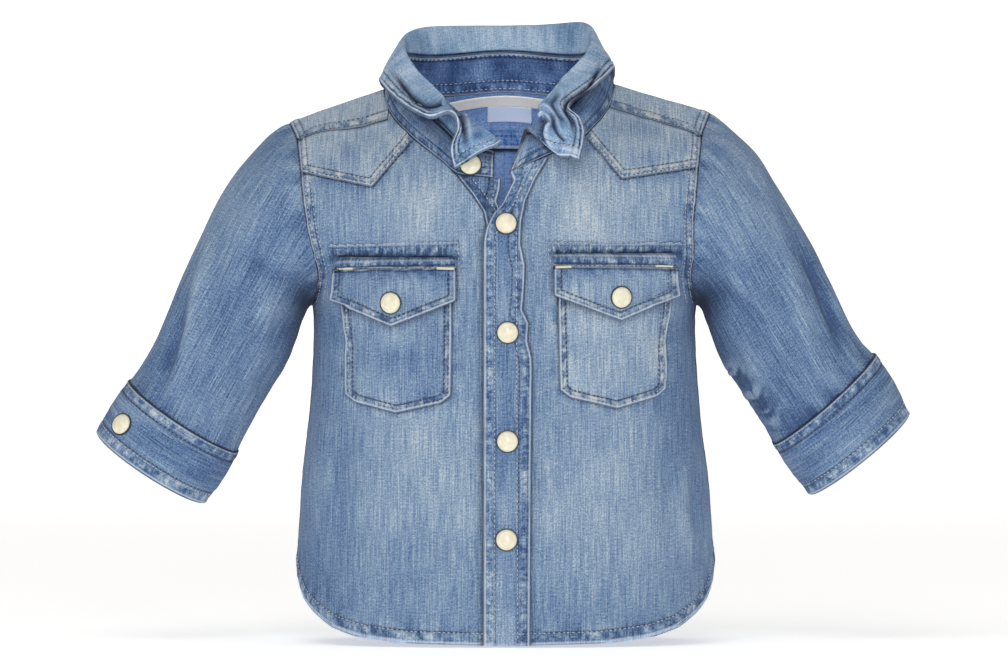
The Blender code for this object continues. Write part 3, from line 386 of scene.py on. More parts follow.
# Sleeve sections seen from the front: outer x, z and inner x, z of the tube, the depth of its
# middle, its half depth, how much of the armhole's own shape it keeps, and how far its front leans on.
SLEEVE_COLUMNS = ("outer_x", "outer_z", "inner_x", "inner_z", "y", "half_depth", "armhole", "lean")
SLEEVE = {
    "right": (
        (122.5, -26.2, 103.6, -117.6, 1, 41, 0.4, 0.6),
        (137.3, -42.6, 106.4, -124.8, 0, 39, 0.15, 1.2),
        (148.6, -59.3, 109.6, -134, -1, 36.5, 0.05, 1.8),
        (158.8, -80.1, 114, -145.6, -2, 34, 0, 2.4),
        (167.4, -98.3, 120.1, -156, -3, 32, 0, 3),
        (175.2, -116.5, 126.4, -166.4, -4, 30, 0, 3.4),
        (183.2, -134.7, 132.6, -176.8, -5, 28, 0, 3.8),
        (189.8, -146.2, 136.9, -184.6, -5.5, 26.8, 0, 4),
        (196.1, -155.3, 140.1, -191.9, -6, 26.2, 0, 4),
    ),
    "left": (
        (118.6, -23.9, 103, -117.6, 1, 41, 0.4, 0.5),
        (132.3, -36.9, 105.6, -124.8, 0, 39, 0.15, 1),
        (142.5, -53.6, 109.2, -134.6, -1, 36.5, 0.05, 1.5),
        (152.9, -70.7, 113.9, -145.6, -2, 34, 0, 2),
        (162.2, -86.8, 119.6, -155, -3, 32, 0, 2.4),
        (170.8, -105, 125.8, -164.3, -4, 30, 0, 2.8),
        (178, -120.6, 131.6, -173.2, -5, 28.2, 0, 3.1),
        (185.4, -132.6, 136.8, -180.8, -5.5, 27.2, 0, 3.3),
        (192.9, -141.4, 140.8, -187.7, -6, 26.8, 0, 3.3),
    ),
}
CUFF = {
    "right": ((197, -154, 139.2, -192.9, -6, 27.4, 0, 4),
              (206, -167.6, 147, -206.2, -6.5, 27.8, 0, 4.2),
              (213.6, -181.6, 156.4, -218.9, -7, 27.4, 0, 4.4)),
    "left": ((193.9, -140, 139.8, -188.9, -6, 28, 0, 3.3),
             (203.4, -155.6, 148.8, -201.6, -6.5, 28.4, 0, 3.3),
             (211.6, -172.2, 159, -214.8, -7, 28, 0, 3.3)),
}
CUFF_OVERHANG = 0.9    # the cuff band stands this much outside the sleeve's end

# The collar, a row for each section from the middle of the back to the front end of each side.
# neck: place along that half's neck seam, 0 at the middle of the back and 1 at the front end.
# lean, high, shift: the stand's top, moved in, up and sideways. fold: the fold line. edge: the
# leaf's free edge.
COLLAR_COLUMNS = ("neck", "lean", "high", "shift", "fold_x", "fold_y", "fold_z", "edge_x", "edge_y",
                  "edge_z")
FOLD = COLLAR_COLUMNS.index("fold_x")
EDGE = COLLAR_COLUMNS.index("edge_x")
COLLAR = {
    "right": (
        (0.00, -2, 20.5, 0, 0, 44, 29.6, 0, 52, -9),
        (0.12, -1, 20.5, 0, 24, 43, 29.6, 27, 51.5, -9),
        (0.24, 3, 20, 0, 43, 36.5, 29, 52, 44.5, -8),
        (0.34, 6.5, 19, 0, 53, 24, 24.5, 64.5, 28, -2),
        (0.44, 9.5, 17, 0, 53.8, 6, 18.5, 65.6, 8, 2.5),
        (0.53, 10, 16.5, 0, 48.5, -8.5, 9.5, 62.5, -10, -2),
        (0.62, 9, 17, 0, 39.5, -18.5, 0.5, 55.6, -26, -9),
        (0.7, 7.5, 17, 0, 33, -28.5, -6, 46.5, -38.5, -15.2),
        (0.77, 6.5, 16.5, 0, 28.6, -36.5, -11, 37.5, -47, -18.3),
        (0.83, 6, 16, 0, 22.8, -43.5, -15.5, 28.6, -54, -14.4),
        (0.89, 5.5, 15.5, 0, 15.6, -49.5, -20.5, 24.4, -58.5, -22.8),
        (0.94, 5, 15, 0, 8.4, -54.5, -25.6, 28.9, -60.5, -33),
        (0.98, 5, 14, 0, 2.4, -58.5, -30.2, 26, -62.5, -44),
    ),
    "left": (
        (0.00, -2, 20.5, 0, 0, 44, 29.6, 0, 52, -9),
        (0.12, -1, 20.5, 0, 22, 43.5, 30.2, 26, 51.5, -9),
        (0.24, 3, 20, 0, 40, 37.5, 32, 49, 44.5, -8),
        (0.34, 7, 19, 0, 46, 24, 28, 57, 28, 2),
        (0.44, 10, 15.5, 0, 45.5, 5, 20, 57.2, 6, 9),
        (0.53, 11, 15.5, 0, 39.5, -7.5, 11.5, 53.6, -12, 4.5),
        (0.62, 11, 16.5, 0, 30.5, -18, 3, 44.2, -26, -3.3),
        (0.7, 11, 16, 0, 25, -28, -4.5, 36, -37, -8.2),
        (0.77, 10, 15.5, 0, 18.5, -36.5, -11, 32.6, -46, -13),
        (0.83, 9, 15, 0, 18.5, -43.5, -15.5, 39, -49.5, -17.4),
        (0.89, 8, 15, 1, 21.8, -49, -19.5, 41.3, -54, -25),
        (0.95, 7, 19, 3, 21.6, -54.5, -25.5, 40.2, -58, -32),
        (1.00, 5, 22, 9.5, 27, -58.5, -36, 38, -60.5, -40),
    ),
}
FLAT = (1, 1, 0)
STAND_BULGE = 1.8
LEAF_ABOVE_STAND = 1.6
LEAF_START_IN = 0.8    # how far inside the stand's top the leaf starts
LEAF_RISE = 0.15       # how far the leaf's own outward direction tips up
# The leaf between its fold and its free edge: share of the way down, swell outwards, drop.
LEAF_BOW = ((0, 2.6, -1.4), (0.42, 2.4, 0), (0.72, 1.6, 0), (1, 0, 0))

NECK_TAPE_WIDTH = 6.2
NECK_TAPE_REACH = 0.46
WOVEN = 1.0            # woven tape and label
TAPE_LIFT = 0.7        # clearance inside the back yoke
TAPE_GAP_STATIONS = 0.10
LABEL_X = (-9, 14)
LABEL_HEIGHT = 9.0

SNAP_RADIUS = 6.0
SNAP_CAP_RADIUS = 5.4
COLLAR_SNAP_SECTION = 21   # of 25 sections of the right half
COLLAR_SNAP_UP = 0.38      # share of the stand's height
CUFF_SNAPS = {"right": (135, 0.15), "left": (230, 0.25)}    # turn, share of the cuff's width
FLAP_SNAP_ABOVE_POINT = 12.0
PLACKET_SNAPS = ((0.6, -72.8), (1.4, -129), (1.3, -185.6), (0.8, -236.6))

print("stations:", len(STATIONS), "collar sections:", len(COLLAR["right"]), "a side")

# %% [markdown]
# ## Reading the skin
#
# The tables are read smoothly between their rows, so the same few numbers serve a coarse solid and a
# fine cloth. Where a size is known as it is seen from the front, `front_place` finds the point of the
# skin that lies there.

# %% Reading the skin
def smooth_rows(rows, at):
    """Read a table between its rows, smoothly and without overshoot."""
    rows = np.asarray(rows, float)
    at = np.clip(np.asarray(at, float), 0.0, len(rows) - 1.0)
    step = np.diff(rows, axis=0)
    slope = np.zeros_like(rows)
    product = step[:-1] * step[1:]
    total = step[:-1] + step[1:]
    total = np.where(np.abs(total) < 1e-9, 1.0, total)
    slope[1:-1] = np.where(product > 0.0, 2.0 * product / total, 0.0)
    slope[0] = step[0]
    slope[-1] = step[-1]
    low = np.clip(np.floor(at).astype(int), 0, len(rows) - 2)
    part = (at - low)[..., None]
    square, cube = part ** 2, part ** 3
    return (rows[low] * (2 * cube - 3 * square + 1) + slope[low] * (cube - 2 * square + part)
            + rows[low + 1] * (3 * square - 2 * cube) + slope[low + 1] * (cube - square))


def polyline(points, at):
    """Value of a two-column table at a place in its first column."""
    table = np.asarray(points, float)
    return np.interp(at, table[:, 0], table[:, 1])


def lengths_along(points):
    """Length of a row of points up to each of them."""
    steps = np.linalg.norm(np.diff(np.asarray(points, float), axis=0), axis=1)
    return np.concatenate([[0.0], np.cumsum(steps)])


def along(points, at):
    """Point at a share of the length of a polyline."""
    table = np.asarray(points, float)
    lengths = lengths_along(table)
    where = np.asarray(at, float) * lengths[-1]
    return np.stack([np.interp(where, lengths, table[:, k]) for k in range(table.shape[1])], -1)


def unit(vectors):
    length = np.linalg.norm(vectors, axis=-1, keepdims=True)
    return vectors / np.maximum(length, 1e-9)


def seam_sag(x):
    """mm that the forward seam of the right shoulder hangs down at x."""
    return SEAM_SAG * ease(-101.0, -72.0, x) * ease(-57.0, -61.0, x)


def shoulder_line(x):
    reach = math.hypot(SHOULDER_HALF, SHOULDER_SOFT)
    return SHOULDER_Z + SHOULDER_SLOPE * (reach - np.sqrt(np.asarray(x) ** 2 + SHOULDER_SOFT ** 2))


def skin(share, station):
    """Point of the shirt's outer skin."""
    share = np.clip(np.asarray(share, float), -1.0, 1.0)
    drop, rise, y_mid, y_arm, x_right, x_left, turn = np.moveaxis(smooth_rows(STATIONS, station), -1, 0)
    turn = np.radians(turn)
    x = np.where(share < 0.0, x_right, x_left) * np.sin(share * turn) / np.sin(turn)
    bow = (np.cos(share * turn) - np.cos(turn)) / (1.0 - np.cos(turn))
    bow = 1.0 - np.clip(1.0 - bow, 0.0, 1.0) ** FULLNESS
    y = y_arm + (y_mid - y_arm) * bow
    raised = np.clip(share, 0.0, 1.0) ** 2 * np.exp(-((station - SHOULDER_TOP_STATION) / 1.3) ** 2)
    z = ARMPIT_Z + drop + rise * (shoulder_line(x) - ARMPIT_Z) + LEFT_SHOULDER_LIFT * raised
    return np.stack(np.broadcast_arrays(x, y, z), -1)


def skin_normal(share, station):
    share, station = np.broadcast_arrays(np.asarray(share, float), np.asarray(station, float))
    small = 0.004
    across = skin(share + small, station) - skin(share - small, station)
    above = np.clip(station + small, 0, LAST_STATION)
    below = np.clip(station - small, 0, LAST_STATION)
    up = skin(share, above) - skin(share, below)
    return unit(np.cross(across, up))


FRONT_STEPS = np.linspace(0.0, FORWARD_SEAM, 561)
FRONT_DROP_RISE = smooth_rows(STATIONS, FRONT_STEPS)[:, :2]
FRONT_HEIGHTS = FRONT_DROP_RISE[:, 0] + 100.0 * FRONT_DROP_RISE[:, 1]


def front_place(x, z):
    """Share and station of the point of the front that is seen at x, z from the front."""
    x, z = np.broadcast_arrays(np.asarray(x, float), np.asarray(z, float))
    rise = (z - ARMPIT_Z) / (shoulder_line(x) - ARMPIT_Z)
    height = np.where(z < ARMPIT_Z, z - ARMPIT_Z, 100.0 * rise)
    station = np.interp(height, FRONT_HEIGHTS, FRONT_STEPS)
    return share_at(x, station), station


def front_height_station(height):
    return np.interp(height, FRONT_HEIGHTS, FRONT_STEPS)


def share_at(x, station):
    """Share of the skin at an x of a station."""
    row = smooth_rows(STATIONS, station)
    turn = np.radians(row[..., TURN])
    half = np.where(np.asarray(x) < 0.0, row[..., X_RIGHT], row[..., X_LEFT])
    return np.arcsin(np.clip(x * np.sin(turn) / half, -1.0, 1.0)) / turn


def edge_x(table, station):
    """x of an edge line, which is given by height, at a station of the front."""
    row = smooth_rows(STATIONS, station)
    x = np.zeros(np.shape(station))
    for _ in range(4):
        z = ARMPIT_Z + row[..., 0] + row[..., 1] * (shoulder_line(x) - ARMPIT_Z)
        x = polyline(table, z)
    return x


def hem_station(share, shorter=0.0):
    height = polyline(HEM, np.abs(share)) + shorter
    return front_height_station(height - ARMPIT_Z)


def armhole(side, count):
    """Points and skin normals round an armhole, evenly spaced, from the armpit up the front."""
    sign = SIGN[side]
    fine = np.linspace(FRONT_ARMPIT, BACK_ARMPIT, 401)
    loop = skin(np.full_like(fine, sign), fine)
    lengths = lengths_along(loop)
    station = np.interp(np.arange(count) / count * lengths[-1], lengths, fine)
    edge = np.full_like(station, sign)
    return skin(edge, station), skin_normal(edge, station)


def tube_rings(side, rows, points):
    """Rings of a sleeve or cuff: ovals through an outer and an inner point seen from the front."""
    sign = SIGN[side]
    turn = np.linspace(0.0, 2.0 * math.pi, points, endpoint=False)
    rings = []
    for outer_x, outer_z, inner_x, inner_z, y, half_depth, _, lean in rows:
        middle = np.array(((outer_x + inner_x) / 2, (outer_z + inner_z) / 2))
        half = np.array(((inner_x - outer_x) / 2, (inner_z - outer_z) / 2))
        onward = unit(np.array((-half[1], half[0])))
        flat = middle + np.cos(turn)[:, None] * half + np.sin(turn)[:, None] * onward * lean
        rings.append(np.stack([sign * flat[:, 0], y - half_depth * np.sin(turn), flat[:, 1]], -1))
    return np.array(rings)


def ring_normals(rings, sign):
    """Outward normals of a tube's grid of rings."""
    around = np.roll(rings, -1, axis=1) - np.roll(rings, 1, axis=1)
    onward = np.gradient(rings, axis=0)
    return unit(np.cross(onward, around)) * sign


def neck_seam(side):
    """The neck seam of one half, from the middle of the back to the front end, with normals."""
    sign = SIGN[side]
    back = np.asarray(BACK_NECK[side])[::-1]
    station = back[:, 1]
    share = share_at(sign * back[:, 0], station)
    front = [(sign * x, z) for x, z in reversed(NECK[side][:-1])]
    front.append(PLACKET_UNDER_NECK[1] if side == "right" else PLACKET_OVER_NECK[0])
    front = np.asarray(front)
    front_share, front_station = front_place(front[:, 0], front[:, 1])
    share = np.concatenate([share, front_share])
    station = np.concatenate([station, front_station])
    return skin(share, station), skin_normal(share, station)


def collar_sections(side, count):
    """Neck point, its normal, stand top, fold and free edge for evenly read collar sections."""
    sign = SIGN[side]
    seam, normal = neck_seam(side)
    rows = smooth_rows(COLLAR[side], np.linspace(0.0, len(COLLAR[side]) - 1.0, count))
    both = along(np.concatenate([seam, normal * MM], axis=1), rows[:, 0])
    base, normal = both[:, :3], unit(both[:, 3:])
    inward = -unit(base * FLAT)
    lean, high, shift = rows[:, 1], rows[:, 2], rows[:, 3]
    top = base + inward * lean[:, None] + np.stack([sign * shift, 0.0 * shift, high], -1)
    flip = np.array((sign, 1.0, 1.0))
    return base, normal, top, rows[:, FOLD:FOLD + 3] * flip, rows[:, EDGE:EDGE + 3] * flip


def both_halves(count):
    """Collar sections from the wearer's right front end round the back to the left front end."""
    right = collar_sections("right", count)
    left = collar_sections("left", count)
    return [np.concatenate([r[::-1], l[1:]]) for r, l in zip(right, left)]

print("chest point:", np.round(skin(-0.4, 8.0), 1), "mm")

# %% [markdown]
# ## Uneven, as cloth is
#
# Nothing on a washed garment repeats exactly. A lattice of fixed random numbers, read smoothly, gives
# lumps of any size; seams, folds and fading are all built from it, so each run gives the same shirt.

# %% Lumps, steps and distances
LATTICE = np.random.default_rng(11).random((256, 256))


def lumps(x, y=0.0, seed=0):
    """Smooth random heights between -1 and 1, one lump to each unit of x and of y."""
    x, y = np.broadcast_arrays(np.asarray(x, float) + 17.31 * seed, np.asarray(y, float) + 5.17 * seed)
    low_x, low_y = np.floor(x).astype(int), np.floor(y).astype(int)
    part_x, part_y = x - low_x, y - low_y
    part_x, part_y = part_x ** 2 * (3 - 2 * part_x), part_y ** 2 * (3 - 2 * part_y)
    here, right = LATTICE[low_x % 256, low_y % 256], LATTICE[(low_x + 1) % 256, low_y % 256]
    up, both = LATTICE[low_x % 256, (low_y + 1) % 256], LATTICE[(low_x + 1) % 256, (low_y + 1) % 256]
    return 2 * ((here * (1 - part_x) + right * part_x) * (1 - part_y)
                + (up * (1 - part_x) + both * part_x) * part_y) - 1


def ease(low, high, x):
    """0 below low, 1 above high, smooth between."""
    part = np.clip((np.asarray(x, float) - low) / (high - low), 0.0, 1.0)
    return part * part * (3 - 2 * part)


def hump(distance, reach):
    return np.exp(-(np.asarray(distance, float) / reach) ** 2)


def from_line(x, z, line):
    """Distance of points to a line of corners, and how far along the line they lie."""
    corners = np.asarray(line, float)
    best, place = np.full(np.shape(x), 1e6), np.zeros(np.shape(x))
    gone = 0.0
    for begin, end in zip(corners[:-1], corners[1:]):
        step = end - begin
        length = np.hypot(*step)
        part = np.clip(((x - begin[0]) * step[0] + (z - begin[1]) * step[1]) / length ** 2, 0.0, 1.0)
        away = np.hypot(x - begin[0] - part * step[0], z - begin[1] - part * step[1])
        place = np.where(away < best, gone + part * length, place)
        best = np.minimum(away, best)
        gone += length
    return best, place


def rounded(line, step=1.5, reach=2):
    """A line of corners, closely read and a little rounded."""
    corners = np.asarray(line, float)
    length = lengths_along(corners)[-1]
    fine = along(corners, np.linspace(0.0, 1.0, max(int(length / step), 4) + 1))
    for _ in range(reach):
        fine[1:-1] = (fine[:-2] + 2 * fine[1:-1] + fine[2:]) / 4
    return fine


print("lumps:", np.round(lumps(np.array([0.2, 1.4, 2.6])), 2))

# %% Cloth measured along the skin
def skin_lengths():
    """Length of cloth across the skin from its middle, and up it, at even shares and stations."""
    stations = np.linspace(0.0, LAST_STATION, 129)
    shares = np.linspace(-1.0, 1.0, 81)
    grid = skin(shares[None, :], stations[:, None])
    across = np.cumsum(np.linalg.norm(np.diff(grid, axis=1), axis=2), axis=1)
    across = np.concatenate([np.zeros((len(stations), 1)), across], axis=1)
    across = across - across[:, 40:41]
    return stations, shares, across, lengths_along(grid[:, 20])


SKIN_STATIONS, SKIN_SHARES, SKIN_ACROSS, SKIN_UP = skin_lengths()


def skin_weave(share, station):
    """Place of a skin point in the flat cloth, in mm: across the warp and along it."""
    share, station = np.broadcast_arrays(share, station)
    row = np.clip(station / SKIN_STATIONS[-1] * (len(SKIN_STATIONS) - 1), 0, len(SKIN_STATIONS) - 1.001)
    column = np.clip((share + 1) / 2 * (len(SKIN_SHARES) - 1), 0, len(SKIN_SHARES) - 1.001)
    r, c = row.astype(int), column.astype(int)
    part_r, part_c = row - r, column - c
    across = ((SKIN_ACROSS[r, c] * (1 - part_c) + SKIN_ACROSS[r, c + 1] * part_c) * (1 - part_r)
              + (SKIN_ACROSS[r + 1, c] * (1 - part_c) + SKIN_ACROSS[r + 1, c + 1] * part_c) * part_r)
    return np.stack([across, np.interp(station, SKIN_STATIONS, SKIN_UP)], -1)


print("cloth across the chest:", round(float(SKIN_ACROSS[24, -1] - SKIN_ACROSS[24, 0])), "mm")

# %% [markdown]
# ## Relief of the body
#
# Two kinds of form lie on the smooth skin. *Folds* are long and soft: they run from the armpits, and
# down the sides. *Puckers* are short: thread draws the cloth up along each seam, and washing then
# rubs their tops pale. Both are heights in mm, added along the skin's normal.

# %% Folds of the body
# Soft folds of the front and of the back, as seen from the front: corners, height, half width.
FRONT_FOLDS = (
    (((-97, -122), (-84, -132), (-72, -150)), -1.5, 5.0),
    (((-98, -112), (-80, -116), (-66, -124)), 1.2, 6.0),
    (((97, -120), (84, -132), (74, -148)), -1.5, 5.0),
    (((98, -110), (80, -115), (68, -122)), 1.2, 6.0),
    (((-93, -165), (-96, -205), (-91, -245)), 1.5, 7.0),
    (((-84, -180), (-86, -215), (-82, -250)), -1.1, 6.0),
    (((99, -205), (99, -222), (101, -238)), -2.0, 3.6),
    (((92, -196), (94, -222), (95, -246)), 1.4, 5.0),
    (((85, -170), (86, -210), (84, -250)), -0.8, 6.0),
    (((-20, -150), (-19, -200), (-22, -262)), 1.2, 5.0),
    (((24, -160), (22, -215), (25, -268)), 0.9, 5.0),
    (((-62, -58), (-60, -75), (-64, -92)), -0.7, 6.0),
    (((-34, -47), (-40, -62), (-44, -84)), 0.9, 5.0),
    (((-26, -56), (-28, -72), (-32, -90)), -0.8, 4.5),
    (((33, -38), (40, -58), (44, -80)), 0.9, 6.0),
    (((70, -58), (66, -76), (70, -90)), -0.7, 6.0),
    (((-50, -200), (-48, -235), (-54, -275)), -0.8, 8.0),
    (((56, -205), (60, -240), (56, -278)), -0.7, 8.0),
)
BACK_FOLDS = (
    (((-97, -120), (-80, -132), (-58, -152)), -1.7, 5.5),
    (((97, -122), (82, -136), (60, -158)), -1.5, 5.5),
    (((-96, -108), (-74, -114), (-52, -126)), 1.3, 6.5),
    (((97, -106), (76, -112), (50, -122)), 1.2, 6.5),
    (((-70, -165), (-74, -215), (-66, -262)), 1.5, 8.0),
    (((-30, -130), (-26, -190), (-34, -255)), -1.2, 8.0),
    (((20, -140), (26, -200), (20, -270)), 1.3, 9.0),
    (((64, -160), (70, -215), (62, -266)), -1.3, 7.5),
    (((40, -90), (36, -120), (44, -150)), 0.8, 7.0),
    (((-52, -84), (-46, -110), (-50, -140)), -0.8, 7.0),
)


def fold_heights(x, z, folds):
    height = np.zeros(np.shape(x))
    for line, tall, half in folds:
        smooth_line = rounded(line, 4.0, 6)
        away, place = from_line(x, z, smooth_line)
        length = lengths_along(smooth_line)[-1]
        ends = ease(0.0, 0.3 * length, place) * ease(0.0, 0.45 * length, length - place)
        height += tall * hump(away, half) * (0.25 + 0.75 * ends)
    return height


def blocks(place, away, seed, lean=0.0):
    """Puffs and hollows in turn along a seam, from 1 to -1, with quick changes between them."""
    return np.tanh(2.3 * lumps(place + lean * away, away / 12.0, seed))


def puckers(away, place, seed, tall=0.32, wave=4.2, reach=4.0):
    """Short uneven waves across a seam, highest a little way off it."""
    lean = 0.5 * lumps(place / 17.0, seed=seed + 3) / wave
    return tall * blocks(place / wave, away, seed, lean) * hump(away - 1.2, reach)


def hem_puckers(rise, round_hem, tall=1.0):
    """Puckers above the hem."""
    return puckers(rise - HEM_WIDTH, round_hem, 22, tall, 4.6, 4.0)


def arm_puckers(from_arm, up_arm, tall=1.0):
    """Puckers beside the felled seams of the sides and armholes."""
    return puckers(from_arm - 1.4, up_arm, 23, tall, 3.4, 3.6)


def roped(away, place, width, seed, tall=0.45, wave=3.4):
    """A narrow hem that twists as it is sewn: slanting ridges between its edge and its stitches."""
    band = ease(0.0, 0.8, away) * (1.0 - ease(width - 0.9, width + 0.5, away))
    return band * tall * blocks(place / wave, away, seed, 0.9 / wave)


# %% Lines that the body's seams follow
HEM_WIDTH = 5.6
HEM_FOLD = 0.5             # how much thicker the folded hem is
FELL_WIDTH = 4.2           # felled seam beside the armhole and down the sides
YOKE_LINES = {side: [(sign * x, z) for x, z in FRONT_YOKE[side]] for side, sign in SIGN.items()}
POCKET_FEET, POCKET_LINES, FLAP_FEET, FLAP_LINES = {}, {}, {}, {}
for side in SIGN:
    size, flap = POCKET[side], FLAP[side]
    (left, right), low, (clip_x, clip_z) = size["foot_x"], size["corner"], POCKET_CHAMFER
    POCKET_FEET[side] = [(left, low), (left + clip_x, low - clip_z), size["point"],
                         (right - clip_x, low - clip_z), (right, low)]
    FLAP_FEET[side] = [(flap["x"][0], flap["corner"]), flap["point"], (flap["x"][1], flap["corner"])]
    for lines, feet, (left, right), top in ((POCKET_LINES, POCKET_FEET, size["x"], size["mouth"]),
                                            (FLAP_LINES, FLAP_FEET, flap["x"], flap["top"])):
        lines[side] = [(left, top)] + feet[side] + [(right, top)]
WELT_TALL = {"right": 5.5, "left": 6.5}      # the rolled welt over a flap, in mm
POCKET_TOP_STITCH = {"right": ((-91.8, -84.2), (-24.4, -82.0)), "left": ((22.9, -82.2), (91.8, -83.0))}


def hem_distance(share, z, shorter=0.0):
    """mm above the hem, and the place round it."""
    return z - polyline(HEM, np.abs(share)) - shorter, share * SKIN_HALF_WIDTH * 1.35


def side_distance(share, station):
    """mm of cloth to the side seam or armhole, and the place along it."""
    weave, edge = skin_weave(share, station), skin_weave(np.where(share < 0.0, -1.0, 1.0), station)
    return np.abs(edge[..., 0] - weave[..., 0]), weave[..., 1]


def above_pocket(side, x, z):
    """mm below the stitches over a pocket, 1 in the gathered band under them, and the band's wedges."""
    (left, z_left), (right, z_right) = POCKET_TOP_STITCH[side]
    below = z_left + (z_right - z_left) * (x - left) / (right - left) - z
    over = ease(-1.5, 0.5, x - left) * ease(-1.5, 0.5, right - x) * ease(-1.5, 0.0, below)
    over = over * (1.0 - ease(8.5, 10.5, below))
    return below, over, blocks(x / 3.1, below, 33, 0.16) * ease(0.5, 4.0, below)


def body_places(share, station, point):
    """Where points of the body are: x, z, whether on the front, mm above the hem and round it, mm from
    side seam or armhole and up it, mm above the forward or the back yoke seam, and that seam's puffs."""
    x, z = point[..., 0], point[..., 2]
    front = station < SHOULDER_TOP_STATION
    seam = (station - np.where(front, FORWARD_SEAM, BACK_YOKE_SEAM)) * MM_PER_STATION
    above = np.where(front, seam + seam_sag(x), -seam)
    yoke = np.where(above > 0.0, 1.0, 0.3) * blocks(x / 3.6, above, 24, 0.08)
    return (x, z, front, *hem_distance(share, z, np.where(front, 0.0, BACK_HEM_SHORTER)),
            *side_distance(share, station), above, yoke)


def body_relief(share, station, point):
    """Height of the folds and puckers of the body at points of its skin."""
    x, z, front, rise, round_hem, from_arm, up_arm, above, yoke = body_places(share, station, point)
    height = np.where(front, fold_heights(x, z, FRONT_FOLDS), fold_heights(x, z, BACK_FOLDS))
    height += 0.35 * lumps(x / 21.0, z / 34.0, 5) + 0.12 * lumps(x / 7.0, z / 15.0, 6)
    height += roped(rise, round_hem, HEM_WIDTH, 21)
    height += hem_puckers(rise, round_hem, 0.25)
    felled = 1.0 - ease(FELL_WIDTH - 0.5, FELL_WIDTH + 0.8, from_arm)
    height += 0.30 * felled - 0.30 * hump(from_arm - 1.2, 0.6)
    gathered = 0.2 + 0.8 * ease(-128.0, -110.0, z)
    height += arm_puckers(from_arm, up_arm, 0.50) * gathered
    for side in SIGN:
        for line, seed in ((YOKE_LINES[side], 31), (POCKET_LINES[side], 32)):
            away, place = from_line(x, z, line)
            height += np.where(front, puckers(away, place, seed, 0.22, 4.6, 3.2), 0.0)
        below, over_pocket, wedge = above_pocket(side, x, z)
        above_welt = z - FLAP[side]["top"] - WELT_TALL[side]
        sunk = 0.35 * hump(below, 0.9) + 0.7 * hump(above_welt, 1.3)
        height += np.where(front, over_pocket * (0.45 * wedge - sunk), 0.0)
    height += 0.55 * yoke * hump(np.abs(above) - 3.4, 3.0) - 0.35 * hump(above - 6.4, 0.8)
    return height + 0.45 * hump(above - 1.0, 0.9)


def body_seams(share, station, point):
    """The seams that lie nearest on the fronts and the back."""
    x, z, front, rise, round_hem, from_arm, up_arm = body_places(share, station, point)[:7]
    seams = [(np.abs(rise), round_hem, HEM_WIDTH), (from_arm, up_arm, FELL_WIDTH)]
    hidden = np.where(front, 0.0, 50.0)
    for side in SIGN:
        for line in (YOKE_LINES[side], POCKET_LINES[side], FLAP_LINES[side]):
            away, place = from_line(x, z, line)
            seams.append((away + hidden, place, NO_BAND))
        below, over_pocket, _ = above_pocket(side, x, z)
        seams.append((np.where(over_pocket > 0.3, np.abs(below), 50.0) + hidden, 1.4 * x, 7.4))
    for edge in (PLACKET_OVER_EDGE, PLACKET_OVER_FREE, PLACKET_UNDER_EDGE):
        seams.append((np.abs(x - polyline(edge, z)) + hidden, z, NO_BAND))
    return nearest_seam(*seams)


def body_point(share, station, lift=0.0):
    """A point of the dressed body, lift mm off its skin, and its normal."""
    bare = skin(share, station)
    normal = skin_normal(share, station)
    height = body_relief(np.asarray(share, float), np.asarray(station, float), bare)
    return bare + normal * (height + lift)[..., None], normal


print("relief at the left chest:", round(float(body_relief(0.4, 9.0, skin(0.4, 9.0))), 2), "mm")

# %% [markdown]
# ## From a grid of points to a piece of cloth
#
# Every piece is a double wall: an outer sheet, an inner sheet behind it, and a rim between them that
# bulges like a folded edge. It carries three things for the denim: a UV map in tenths of a metre,
# whose V runs along the warp; an attribute of wash and painted shade, that says how faded, how rubbed
# and how darkened by painted shade each spot is; and another, *seam*, with the distance to the nearest
# seam, the place along it and the width of its band, all in mm, so that the shader can draw fine seams
# on a coarser mesh.

# %% The cloth tool
UV_UNIT = 100.0            # mm of cloth in one unit of the UV map
RIM_BULGE = 0.38           # share of the wall's thickness
OUTSIDE, INSIDE = 0, 1     # material places
NO_BAND = 0.01             # width of a seam that shows as a line only
FAR = (50.0, 0.0, NO_BAND)             # no seam near


def nearest_seam(*seams):
    """Of seams, each (mm away, place along it, width of its band), the one nearest to each point."""
    shape = np.broadcast_shapes(*[np.shape(part) for seam in seams for part in seam])
    table = np.array([[np.broadcast_to(part, shape) for part in seam] for seam in seams + (FAR,)])
    first = np.argmin(table[:, 0], axis=0)
    return np.moveaxis(np.take_along_axis(table, first[None, None], axis=0)[0], 0, -1)


